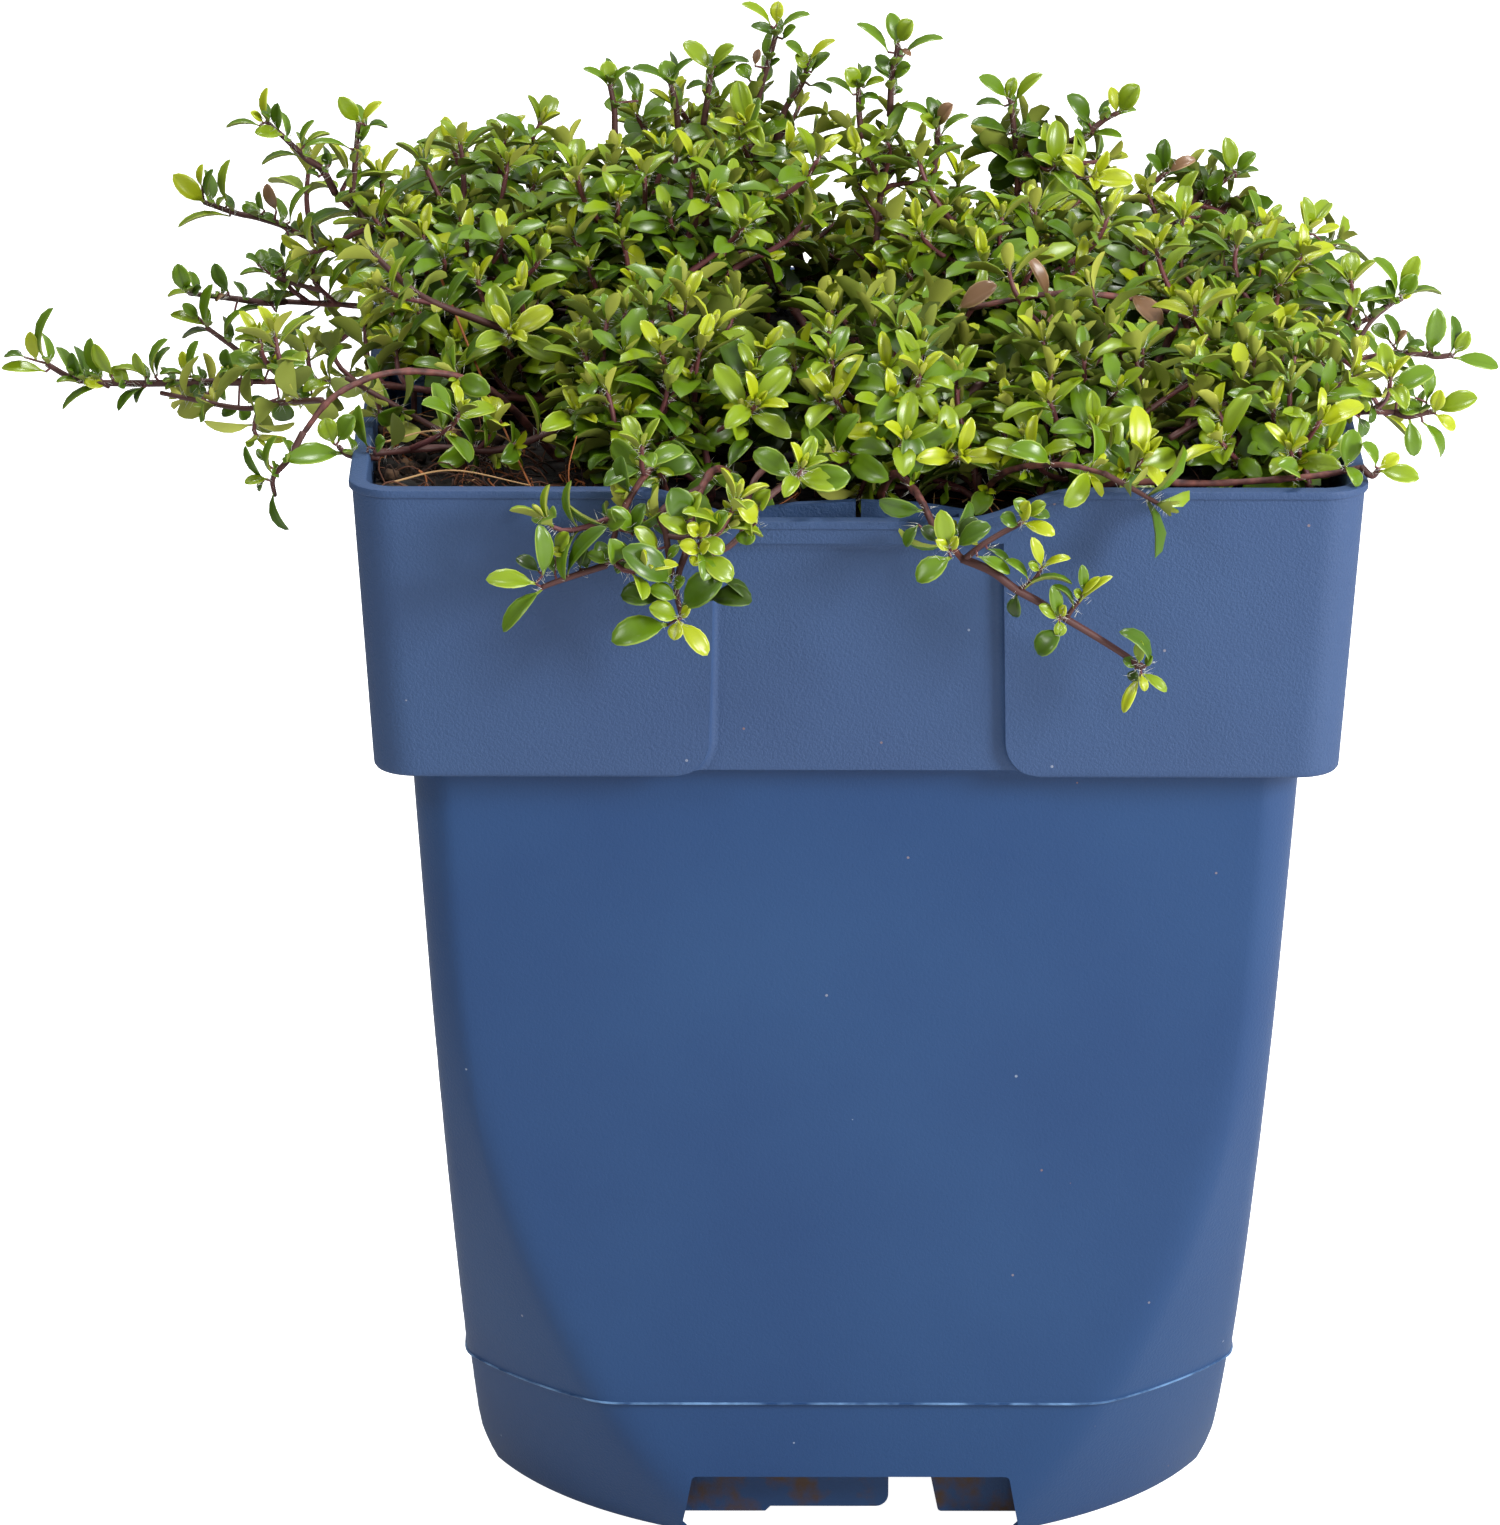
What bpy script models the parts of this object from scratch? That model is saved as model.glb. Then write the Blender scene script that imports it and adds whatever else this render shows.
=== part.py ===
# Potted creeping thyme: a square nursery pot with a round foot, its compost, and the plant as tapering limbs
# that each end where a mass of twigs and leaves begins. Sizes are in millimetres, turned to metres by MM.
# The pot stands on z = 0 with its axis on the origin; -Y is the front that the photograph shows.
import math
import random

import bmesh
import bpy
from mathutils import Matrix, Vector

MM = 0.001

# Pot
POT_HEIGHT = 149.4
LEDGE_Z = 111.0
SEAM_Z = 19.9
SEAM_HALF = 0.45
OVERLAP = 0.5
BODY_HALF_FOOT = 50.2
BODY_HALF_LEDGE = 57.5
BODY_FILLET = 5.1
FOOT_RADIUS = 52.8
FOOT_FLARE = 0.456
FOOT_CURVE = 0.002
FOOT_TOP = 113
FOOT_LEVELS = (8, 20, 34, 55, 85, FOOT_TOP)
BAND_STEP = 0.35
WALL = 1.4
FLOOR_TOP = 10.8
FLOOR_UNDER = 9.4
COLLAR_HALF_FOOT = 62.2
COLLAR_HALF_TOP = 64.6
COLLAR_FILLET = 5.6
COLLAR_WALL = 2.0
COLLAR_INNER_FILLET = 4.0
LIP_PROUD = 0.4
LIP_TALL = 1.1
TAB_HALF = 18.4
TAB_CORNER = 4.0
TAB_RECESS = 1.4
TAB_TOP = 142.3
TAB_FLARE = 0.6
DIP_DEPTH = 4.0
DIP_HALF_TOP = 28.0
DIP_HALF_FOOT = 13.0
DIP_STEPS = 6
POCKET_HALF = 14.0
POCKET_Y = -58.4
POCKET_WALL = 1.2
POCKET_FOOT = 132.0
POCKET_TOP = 146.2
NOTCH_HALF_TOP = 21.2
NOTCH_HALF_FOOT = 22.8
NOTCH_TALL = 9.0
NOTCH_Y = -46.4
RIB_Y = -42.1
RIB_HALF_FOOT = 31.1
RIB_HALF_TOP = 37.6
RIB_LOW = 0.7
RIB_MIDDLE_LOW = 1.4
SLOT_TOP = 8.0
PAD_RADIUS = 12.0
DRAIN_RADIUS = 3.2
DRAIN_RING = 33.0
DRAINS = 8

# Compost
SOIL_Z = 143.2
SOIL_GAP = 0.35
SOIL_BUMP = 0.45
SOIL_RISE = 2.4
SOIL_RISE_FROM = -28.0
SOIL_RISE_OVER = 34.0
SOIL_HOLLOW = 1.8
SOIL_HOLLOW_AT = (48.0, -48.0)
SOIL_HOLLOW_SPREAD = 500.0

# Plant
GAP = 0.35
LEAF_LONG = 8.4
LEAF_WIDE = 4.6
LEAF_ROOT = 0.2
LEAF_ROOM = 5.4
LEAF_TRIES = (1.0, 0.88, 0.76, 0.64)
SMALL_MASS = 10.5
SMALL_LEAF = 0.8
CUSHION_LEAF = 2.0
CUSHION_LEAF_SHARE = 6.0
CUSHION_LOW = 3.0
PAIR_STEP = 6.0
STEM_RADIUS = 0.71
TWIG_RADIUS = 0.62
TWIG_TIP = 0.5
SHORTEST_TWIG = 3.0
BASE_RADIUS = 2.0
STUB_RADII = (1.3, 1.15, 1.1)
FOOT_REACH = 54.0
CELL_MARGIN = 0.3
LIMB_MARGIN = 0.55
ROOM_OUTSIDE = 1.2
ROOM_INSIDE = 0.8
ROOM_AT_POCKET = 0.6
ROOM_OVER_RIM = 0.5
ROOM_OVER_SOIL = 1.4
GROWN_FROM = Vector((0, 0, 128))
FIRST_SEED = 101
GOLDEN_ANGLE = math.pi * (3 - math.sqrt(5))

# Limbs: points from foot to tip, then the two end radii.
LIMBS = {
    "limb_left_long": (
        [(-11, -4, 147), (-30, -13, 147), (-50, -19, 149.4), (-65, -21, 151.6), (-79, -22, 152)],
        0.95, 0.65,
    ),
    "limb_left_droop": (
        [(-38, -30, 144.6), (-48, -36, 155), (-59, -41, 158.5), (-67, -45, 156.5), (-71.5, -47, 151.5)],
        0.85, 0.6,
    ),
    "limb_left_mid": (
        [(-12, 3, 148), (-34, 8, 149), (-52, 10, 151.5), (-65, 9, 154), (-76, 8, 155)],
        0.9, 0.6,
    ),
    "limb_left_up": (
        [(-10, 8, 150), (-33, 17, 150.5), (-51, 22, 152), (-63, 22, 155.5), (-76, 20, 162)],
        0.9, 0.6,
    ),
    "limb_left_top": (
        [(-35, 3, 144.6), (-50, 7, 155), (-61, 6, 163), (-69, 4, 171)],
        0.85, 0.6,
    ),
    "limb_top_a": (
        [(-6, 6, 152), (-10.5, 11, 158), (-13.3, 15, 164), (-12.6, 17, 171)],
        0.95, 0.7,
    ),
    "limb_top_b": (
        [(3.5, 3, 152), (3, 5, 160), (3.8, 8, 170)],
        0.95, 0.7,
    ),
    "limb_right_top": (
        [(9, 8, 149.5), (16, 19, 152.5), (22, 25, 160), (22.8, 26, 168)],
        0.9, 0.65,
    ),
    "limb_right_up": (
        [(28, 14, 144.8), (33, 19, 154), (41, 23, 160), (46.5, 25, 164)],
        0.85, 0.6,
    ),
    "limb_right_mid": (
        [(22, 0, 144.8), (38, 2, 150), (53, 0, 152), (64, -2, 153.5), (69, -3, 156)],
        0.85, 0.6,
    ),
    "limb_right_far": (
        [(12, -3, 147), (30, -9, 147.5), (48, -13, 150), (60, -15, 152.5), (70, -16.5, 154.5)],
        0.9, 0.6,
    ),
    "limb_right_low": (
        [(22, -18, 144.8), (38, -27, 147), (54, -33, 149.5), (64, -35, 151.6), (70, -35.5, 151.8)],
        0.85, 0.6,
    ),
    "limb_rim_runner": (
        [(22, -52, 144.8), (32, -58, 148.4), (45, -59.6, 149), (58, -59.6, 150), (64, -59, 151)],
        0.85, 0.6,
    ),
    "limb_front_right": (
        [(2, -51, 145.4), (4.5, -57, 149.4), (7.5, -63.5, 148.4), (9.5, -67.5, 145.5), (13, -70.2, 142)],
        0.9, 0.7,
    ),
    "limb_front_hop": (
        [(15, -50, 144.8), (18.5, -57, 149.6), (25.5, -64.5, 152.8), (31, -68, 152.6)],
        0.8, 0.55,
    ),
    "limb_front_left": (
        [(-13, -50, 144.8), (-17.5, -57, 150), (-20, -63.6, 149.4), (-21.3, -68.3, 146), (-22, -70, 142.5)],
        0.9, 0.7,
    ),
    "limb_front_far_left": (
        [(-24, -52, 144.8), (-25.4, -59, 150.6), (-27, -64, 151.4), (-30, -69, 147.6), (-32, -71, 141.4)],
        0.8, 0.6,
    ),
    "limb_arch": (
        [(34, -15, 144.8), (42, -12, 156), (40, -12.5, 160.2), (27, -16, 162.6), (15, -20, 161.6)],
        0.85, 0.6,
    ),
    "limb_back_left": (
        [(-22, 45, 144.8), (-28, 56, 151), (-31, 64, 154), (-33, 70, 152)],
        0.85, 0.6,
    ),
    "limb_back_right": (
        [(18, 46, 144.8), (23, 56, 151), (27, 64, 154), (30, 70, 152)],
        0.85, 0.6,
    ),
}

# The limbs whose foot meets the woody base.
BASE_LIMBS = (
    "limb_left_long", "limb_left_mid", "limb_left_up",
    "limb_top_a", "limb_top_b", "limb_right_top", "limb_right_far",
)

# Masses: centre, radii, how many twigs and, for each that a limb feeds, the limb's name.
MASSES = {
    "mass_left_long": ((-96, -23, 151), (17, 9, 8), 2, "limb_left_long"),
    "mass_left_droop": ((-75.5, -48, 146), (6.5, 6, 9), 2, "limb_left_droop"),
    "mass_left_mid": ((-82, 5, 156), (10.5, 10, 8), 1, "limb_left_mid"),
    "mass_left_up": ((-84, 20, 166.5), (9, 9, 7.5), 1, "limb_left_up"),
    "mass_left_top": ((-73, 4, 178), (11, 11, 8.5), 2, "limb_left_top"),
    "mass_top_a": ((-10, 18, 183), (9.5, 10, 12), 2, "limb_top_a"),
    "mass_top_b": ((6.5, 10, 182.5), (9, 10, 13), 2, "limb_top_b"),
    "mass_right_top": ((28, 27, 175), (12, 11, 9), 2, "limb_right_top"),
    "mass_right_up": ((50, 26, 168), (9, 10, 8), 2, "limb_right_up"),
    "mass_right_back": ((63, 32, 155.5), (8, 10, 8), 1, ""),
    "mass_right_mid": ((73, -3, 158.5), (8, 9, 8), 2, "limb_right_mid"),
    "mass_right_far": ((78, -18, 156), (8.5, 8, 7), 2, "limb_right_far"),
    "mass_right_low": ((76, -36, 150), (8, 8, 7.5), 2, "limb_right_low"),
    "mass_right_rim": ((67.5, -59.5, 151.5), (7, 6, 6.5), 2, "limb_rim_runner"),
    "mass_front_right": ((24, -72, 136.5), (17, 5.5, 12), 2, "limb_front_right"),
    "mass_front_hop": ((36.5, -70.8, 151), (7.5, 6, 6.5), 1, "limb_front_hop"),
    "mass_front_left": ((-21, -74, 136.5), (10.5, 7, 10), 2, "limb_front_left"),
    "mass_front_far_left": ((-40, -73, 139.5), (9, 6, 7.5), 2, "limb_front_far_left"),
    "mass_back_left": ((-35, 77, 149), (13, 10, 13), 3, "limb_back_left"),
    "mass_back_right": ((32, 77, 149), (13, 10, 13), 2, "limb_back_right"),
    "mass_back_a": ((-47, 43, 157), (17, 19, 13), 3, ""),
    "mass_back_b": ((-19, 44, 158.5), (14.5, 18, 15.5), 4, ""),
    "mass_back_c": ((12, 45, 152), (16, 18, 9), 3, ""),
    "mass_back_d": ((43, 44, 151.5), (16, 17, 8.5), 4, ""),
    "mass_mid_a": ((-51, -2, 159), (14, 17, 14), 3, ""),
    "mass_mid_b": ((-25, 4, 165), (14, 18, 15), 3, ""),
    "mass_mid_c": ((18, -2, 160), (15, 17, 12), 3, ""),
    "mass_mid_d": ((48, 3, 157.5), (15, 17, 11.5), 3, ""),
    "mass_front_a": ((-24, -34, 157), (14, 19, 13), 4, ""),
    "mass_front_b": ((3, -36, 156), (13, 20, 13), 3, ""),
    "mass_front_c": ((28, -38, 155), (12, 19, 12), 4, ""),
    "mass_front_d": ((53, -36, 154), (11, 19, 11), 3, ""),
}


def clear_scene():
    for obj in list(bpy.data.objects):
        bpy.data.objects.remove(obj, do_unlink=True)


def new_collection(name, helper=False):
    made = bpy.data.collections.new(name)
    bpy.context.scene.collection.children.link(made)
    made.hide_render = helper
    return made


def material(name, colour, roughness):
    made = bpy.data.materials.new(name)
    made.use_nodes = True
    shader = made.node_tree.nodes["Principled BSDF"]
    shader.inputs["Base Color"].default_value = (*colour, 1.0)
    shader.inputs["Roughness"].default_value = roughness
    return made


def add_object(name, mesh, collection, helper=False):
    obj = bpy.data.objects.new(name, mesh)
    collection.objects.link(obj)
    if helper:
        obj.hide_render = True
        obj.display_type = "WIRE"
    return obj


def object_from(name, bm, collection=None, helper=True):
    bmesh.ops.recalc_face_normals(bm, faces=bm.faces)
    mesh = bpy.data.meshes.new(name)
    bm.to_mesh(mesh)
    bm.free()
    return add_object(name, mesh, collection or CUTTERS, helper)


def evaluated_mesh(obj, merged=1e-6):
    bpy.context.view_layer.update()
    graph = bpy.context.evaluated_depsgraph_get()
    mesh = bpy.data.meshes.new_from_object(obj.evaluated_get(graph))
    bm = bmesh.new()
    bm.from_mesh(mesh)
    bm.transform(obj.matrix_world)
    if merged:
        bmesh.ops.remove_doubles(bm, verts=bm.verts, dist=merged)
    bm.to_mesh(mesh)
    bm.free()
    return mesh


def join_all(base, others, operation, solver="EXACT"):
    # One Boolean with every other object at once; the others are removed once it is applied.
    group = bpy.data.collections.new("joined_once")
    bpy.context.scene.collection.children.link(group)
    for other in others:
        group.objects.link(other)
    modifier = base.modifiers.new("join", "BOOLEAN")
    modifier.operation = operation
    modifier.operand_type = "COLLECTION"
    modifier.collection = group
    modifier.solver = solver
    mesh = evaluated_mesh(base, 1e-6 if solver == "EXACT" else 0)
    base.modifiers.remove(modifier)
    base.data = mesh
    base.matrix_world = Matrix()
    for other in others:
        bpy.data.objects.remove(other, do_unlink=True)
    bpy.data.collections.remove(group)
    return base


def rounded_frustum(name, z0, half0, z1, half1, fillet, segments=3):
    # A square tapering block with rounded upright edges.
    bm = bmesh.new()
    bmesh.ops.create_cube(bm, size=2)
    for vert in bm.verts:
        top = vert.co.z > 0
        half = half1 if top else half0
        vert.co = Vector((vert.co.x * half, vert.co.y * half, z1 if top else z0)) * MM
    upright = [e for e in bm.edges if abs(e.verts[0].co.z - e.verts[1].co.z) > 0.5 * MM]
    bmesh.ops.bevel(bm, geom=upright, offset=fillet * MM, segments=segments, profile=0.5, affect="EDGES")
    return object_from(name, bm)


def turned(name, profile, steps=64):
    # profile: (radius, z) from the top down on the outer side, closed along the axis.
    bm = bmesh.new()
    rings = []
    for radius, z in profile:
        ring = bmesh.ops.create_circle(bm, segments=steps, radius=radius * MM)["verts"]
        bmesh.ops.translate(bm, verts=ring, vec=(0, 0, z * MM))
        rings.append([e for e in bm.edges if all(v in ring for v in e.verts)])
    for upper, lower in zip(rings, rings[1:]):
        bmesh.ops.bridge_loops(bm, edges=upper + lower)
    bmesh.ops.holes_fill(bm, edges=rings[0] + rings[-1], sides=0)
    return object_from(name, bm)


def foot_radius(z):
    return FOOT_RADIUS + FOOT_FLARE * z - FOOT_CURVE * z * z


def body_half(z):
    return BODY_HALF_FOOT + (BODY_HALF_LEDGE - BODY_HALF_FOOT) * z / LEDGE_Z


def body_block(name, z0, z1, inset, steps=40, fillet_steps=3, foot_levels=FOOT_LEVELS):
    # The pot's square body cut by the round foot, both moved in by inset.
    half0 = body_half(z0) - inset
    half1 = body_half(z1) - inset
    block = rounded_frustum(name, z0, half0, z1, half1, BODY_FILLET, fillet_steps)
    levels = [z for z in foot_levels if z0 + 1 < z < z1 - 1]
    levels = [z0 - 1] + levels + [z1 + 1]
    profile = [(foot_radius(min(max(z, 0), FOOT_TOP)) - inset, z) for z in reversed(levels)]
    return join_all(block, [turned(name + "_foot", profile, steps)], "INTERSECT")


def box(name, x0, x1, y0, y1, z0, z1):
    bm = bmesh.new()
    bmesh.ops.create_cube(bm, size=1)
    for vert in bm.verts:
        vert.co.x = (x1 if vert.co.x > 0 else x0) * MM
        vert.co.y = (y1 if vert.co.y > 0 else y0) * MM
        vert.co.z = (z1 if vert.co.z > 0 else z0) * MM
    return object_from(name, bm)


def prism(name, outline, y0, y1):
    # outline: (x, z) points; the block runs from y0 to y1.
    bm = bmesh.new()
    verts = [bm.verts.new((x * MM, y0 * MM, z * MM)) for x, z in outline]
    face = bm.faces.new(verts)
    moved = bmesh.ops.extrude_face_region(bm, geom=[face])["geom"]
    moved = [item for item in moved if isinstance(item, bmesh.types.BMVert)]
    bmesh.ops.translate(bm, verts=moved, vec=(0, (y1 - y0) * MM, 0))
    return object_from(name, bm)


def on_each_side(maker):
    # Calls maker(name) four times and turns each result to its own side of the pot.
    made = []
    for side in range(4):
        obj = maker(f"{maker.__name__}_{side}")
        obj.data.transform(Matrix.Rotation(side * math.pi / 2, 4, "Z"))
        made.append(obj)
    return made


def arc(cx, cz, radius, start, end, steps=4):
    # (x, z) points of an arc, angles in degrees.
    angles = [math.radians(start + (end - start) * i / steps) for i in range(steps + 1)]
    return [(cx + radius * math.cos(a), cz + radius * math.sin(a)) for a in angles]


def tab_recess(name):
    low = LEDGE_Z - 1
    corner = TAB_HALF + TAB_FLARE
    right = arc(corner + TAB_CORNER, LEDGE_Z + TAB_CORNER, TAB_CORNER, 270, 180)
    outline = [(-x, z) for x, z in right]
    outline += [(-TAB_HALF, TAB_TOP), (TAB_HALF, TAB_TOP)]
    outline += list(reversed(right))
    outline += [(corner + TAB_CORNER, low), (-corner - TAB_CORNER, low)]
    cutter = prism(name, outline, -70, 0)
    depth = COLLAR_HALF_FOOT - TAB_RECESS
    slope = math.atan((COLLAR_HALF_TOP - COLLAR_HALF_FOOT) / (POT_HEIGHT - LEDGE_Z))
    bm = bmesh.new()
    bm.from_mesh(cutter.data)
    for vert in bm.verts:
        if vert.co.y > -1 * MM:
            vert.co.y = -(depth * MM + math.tan(slope) * (vert.co.z - LEDGE_Z * MM))
    bm.to_mesh(cutter.data)
    bm.free()
    return cutter


def rim_dip(name):
    # The lowered rim over each label pocket: a smooth S at both ends.
    outline = [(-DIP_HALF_TOP, POT_HEIGHT + 2)]
    for i in range(DIP_STEPS + 1):
        share = i / DIP_STEPS
        drop = DIP_DEPTH * (1 - math.cos(math.pi * share)) / 2
        outline.append((-DIP_HALF_TOP + (DIP_HALF_TOP - DIP_HALF_FOOT) * share, POT_HEIGHT + 0.02 - drop))
    outline += [(-x, z) for x, z in reversed(outline)]
    return prism(name, outline, -70, -60.5)


def pocket(name):
    # The wall behind the lowered rim that holds a label.
    left = [(-POCKET_HALF, POCKET_TOP - 1.4), (-8, POCKET_TOP - 0.4)]
    top = left + [(0, POCKET_TOP)] + [(-x, z) for x, z in reversed(left)]
    outline = [(-POCKET_HALF, POCKET_FOOT)] + top + [(POCKET_HALF, POCKET_FOOT)]
    wall = prism(name, outline, POCKET_Y, POCKET_Y + POCKET_WALL)
    ends = []
    for sign in (-1, 1):
        x0, x1 = sorted((sign * POCKET_HALF, sign * (POCKET_HALF - POCKET_WALL)))
        ends.append(box(f"{name}_end", x0, x1, -63.2, POCKET_Y + 0.6, POCKET_FOOT, POCKET_TOP - 1.5))
    return join_all(wall, ends, "UNION")


def pocket_slit(name):
    return box(name, -0.35, 0.35, POCKET_Y - 1, POCKET_Y + 3, POCKET_TOP - 5, POCKET_TOP + 1)


def foot_notch(name):
    left = [(-NOTCH_HALF_FOOT, -1), (-NOTCH_HALF_TOP, NOTCH_TALL)]
    return prism(name, left + [(-x, z) for x, z in reversed(left)], -56, NOTCH_Y)


def foot_rib(name):
    # The inner wall seen through the notch, from wall to wall, with a raised middle piece and an open slot.
    high = FLOOR_UNDER + 0.5
    outline = [(-RIB_HALF_FOOT, RIB_LOW), (-RIB_HALF_TOP, high), (RIB_HALF_TOP, high), (RIB_HALF_FOOT, RIB_LOW)]
    outline += [(11.9, RIB_LOW), (10.4, SLOT_TOP), (5.2, SLOT_TOP), (5.2, 3.2)]
    outline += [(4.6, 2.1), (3.5, RIB_MIDDLE_LOW), (-10.6, RIB_MIDDLE_LOW), (-11.3, RIB_LOW)]
    return prism(name, outline, RIB_Y, RIB_Y + WALL)


def drains():
    made = []
    for i in range(DRAINS):
        angle = math.tau * (i + 0.5) / DRAINS
        bm = bmesh.new()
        radius = DRAIN_RADIUS * MM
        bmesh.ops.create_cone(bm, cap_ends=True, segments=8, radius1=radius, radius2=radius, depth=4 * MM)
        middle = (FLOOR_UNDER + FLOOR_TOP) / 2
        where = (DRAIN_RING * math.cos(angle) * MM, DRAIN_RING * math.sin(angle) * MM, middle * MM)
        bmesh.ops.translate(bm, verts=bm.verts, vec=where)
        made.append(object_from(f"drain_{i}", bm))
    return made


def build_pot():
    pot = body_block("pot", SEAM_Z - OVERLAP, LEDGE_Z + 2, 0)
    band = body_block("band", 0, SEAM_Z + OVERLAP, BAND_STEP)
    seam = body_block("seam", SEAM_Z - SEAM_HALF, SEAM_Z + SEAM_HALF, -SEAM_HALF)
    collar = rounded_frustum("collar", LEDGE_Z, COLLAR_HALF_FOOT, POT_HEIGHT, COLLAR_HALF_TOP, COLLAR_FILLET)
    half = COLLAR_HALF_TOP + LIP_PROUD
    lip = rounded_frustum("lip", POT_HEIGHT - LIP_TALL, half, POT_HEIGHT, half, COLLAR_FILLET + LIP_PROUD)
    join_all(pot, [band, seam, collar, lip], "UNION")
    inside = body_block("inside", FLOOR_TOP, LEDGE_Z + 3, WALL, 32, 2)
    top_half = COLLAR_HALF_TOP - COLLAR_WALL
    foot_half = COLLAR_HALF_FOOT - COLLAR_WALL
    upper = rounded_frustum("upper", LEDGE_Z + WALL, foot_half, POT_HEIGHT + 1, top_half, COLLAR_INNER_FILLET)
    under = body_block("under", -1, FLOOR_UNDER, BAND_STEP + WALL, 32, 2)
    join_all(pot, [inside, upper, under], "DIFFERENCE")
    pad = turned("pad", [(PAD_RADIUS, FLOOR_UNDER + 0.6), (PAD_RADIUS - 0.6, 0)], 24)
    join_all(pot, on_each_side(foot_rib) + on_each_side(pocket) + [pad], "UNION")
    cuts = drains()
    for cut in (tab_recess, rim_dip, foot_notch, pocket_slit):
        cuts += on_each_side(cut)
    join_all(pot, cuts, "DIFFERENCE")
    return pot


def soil_height(x, y):
    # Low waves, a rise along the left wall and a hollow at the front right, in millimetres.
    waves = math.sin(0.11 * x + 1.1) * math.cos(0.09 * y - 0.6) + 0.6 * math.sin(0.13 * x - 0.1 * y)
    share = max(0.0, min(1.0, (SOIL_RISE_FROM - x) / SOIL_RISE_OVER))
    left = SOIL_RISE * (1 - math.cos(math.pi * share)) / 2
    away = (x - SOIL_HOLLOW_AT[0]) ** 2 + (y - SOIL_HOLLOW_AT[1]) ** 2
    hollow = SOIL_HOLLOW * math.exp(-away / SOIL_HOLLOW_SPREAD)
    return SOIL_Z + SOIL_BUMP * waves + left - hollow


def build_compost():
    bm = bmesh.new()
    bmesh.ops.create_grid(bm, x_segments=9, y_segments=9, size=64 * MM)
    for vert in bm.verts:
        vert.co.z = soil_height(vert.co.x / MM, vert.co.y / MM) * MM
    moved = bmesh.ops.extrude_face_region(bm, geom=bm.faces[:])["geom"]
    moved = [item for item in moved if isinstance(item, bmesh.types.BMVert)]
    for vert in moved:
        vert.co.z = -20 * MM
    compost = object_from("compost", bm)
    levels = (20, 55, FOOT_TOP)
    lower = body_block("lower_soil", FLOOR_TOP + SOIL_GAP, LEDGE_Z + 4, WALL + SOIL_GAP, 24, 1, levels)
    half0 = COLLAR_HALF_FOOT - COLLAR_WALL - SOIL_GAP
    half1 = COLLAR_HALF_TOP - COLLAR_WALL - SOIL_GAP
    z0 = LEDGE_Z + WALL + SOIL_GAP
    upper = rounded_frustum("upper_soil", z0, half0, POT_HEIGHT + 1, half1, COLLAR_INNER_FILLET)
    join_all(lower, [upper], "UNION")
    join_all(compost, [lower], "INTERSECT")

    def pocket_clearance(name):
        reach = POCKET_HALF + SOIL_GAP
        return box(name, -reach, reach, -70, POCKET_Y + POCKET_WALL + SOIL_GAP, POCKET_FOOT - SOIL_GAP, 160)

    return join_all(compost, on_each_side(pocket_clearance), "DIFFERENCE")


def smooth_path(points, steps=3):
    # A Catmull-Rom curve through the points.
    pts = [Vector(p) for p in points]
    pts = [2 * pts[0] - pts[1]] + pts + [2 * pts[-1] - pts[-2]]
    path = []
    for a, b, c, d in zip(pts, pts[1:], pts[2:], pts[3:]):
        for i in range(steps):
            t = i / steps
            curve = (2 * a - 5 * b + 4 * c - d) * t ** 2 + (3 * b - 3 * c + d - a) * t ** 3
            path.append(0.5 * (2 * b + (c - a) * t + curve))
    return path + [pts[-2]]


def ring_profile(sides):
    # The closed outline, one millimetre in radius, that a swept limb or twig takes.
    name = f"ring_{sides}"
    if name in bpy.data.objects:
        return bpy.data.objects[name]
    data = bpy.data.curves.new(name, "CURVE")
    spline = data.splines.new("POLY")
    spline.points.add(sides - 1)
    for i, point in enumerate(spline.points):
        angle = math.tau * i / sides
        point.co = (math.cos(angle) * MM, math.sin(angle) * MM, 0, 1)
    spline.use_cyclic_u = True
    return add_object(name, data, CUTTERS, True)


def swept(name, points, radii, sides, collection=None):
    # A tapering limb or twig: a polyline in millimetres swept by a regular outline, with closed ends.
    data = bpy.data.curves.new(name, "CURVE")
    data.dimensions = "3D"
    data.bevel_mode = "OBJECT"
    data.bevel_object = ring_profile(sides)
    data.use_fill_caps = True
    spline = data.splines.new("POLY")
    spline.points.add(len(points) - 1)
    for point, co, radius in zip(spline.points, points, radii):
        point.co = (*(Vector(co) * MM), 1)
        point.radius = radius
    curve = add_object(name + "_curve", data, CUTTERS, True)
    mesh = evaluated_mesh(curve)
    bpy.data.objects.remove(curve, do_unlink=True)
    bm = bmesh.new()
    bm.from_mesh(mesh)
    return object_from(name, bm, collection, collection is None)


def taper(start, end, count):
    return [start + (end - start) * i / (count - 1) for i in range(count)]


def build_limbs():
    made = []
    for name, (points, start, end) in LIMBS.items():
        if name not in BASE_LIMBS:
            x, y, _ = points[0]
            points = [(x, y, soil_height(x, y) + GAP + 0.8 * start)] + points[1:]
        path = smooth_path(points, 1 if len(points) > 4 else 2)
        radii = taper(start, end, len(path))
        made.append(swept(name, path, radii, 5, PLANT))
        LIMB_PATHS[name] = (path, radii)
    return made


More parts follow.
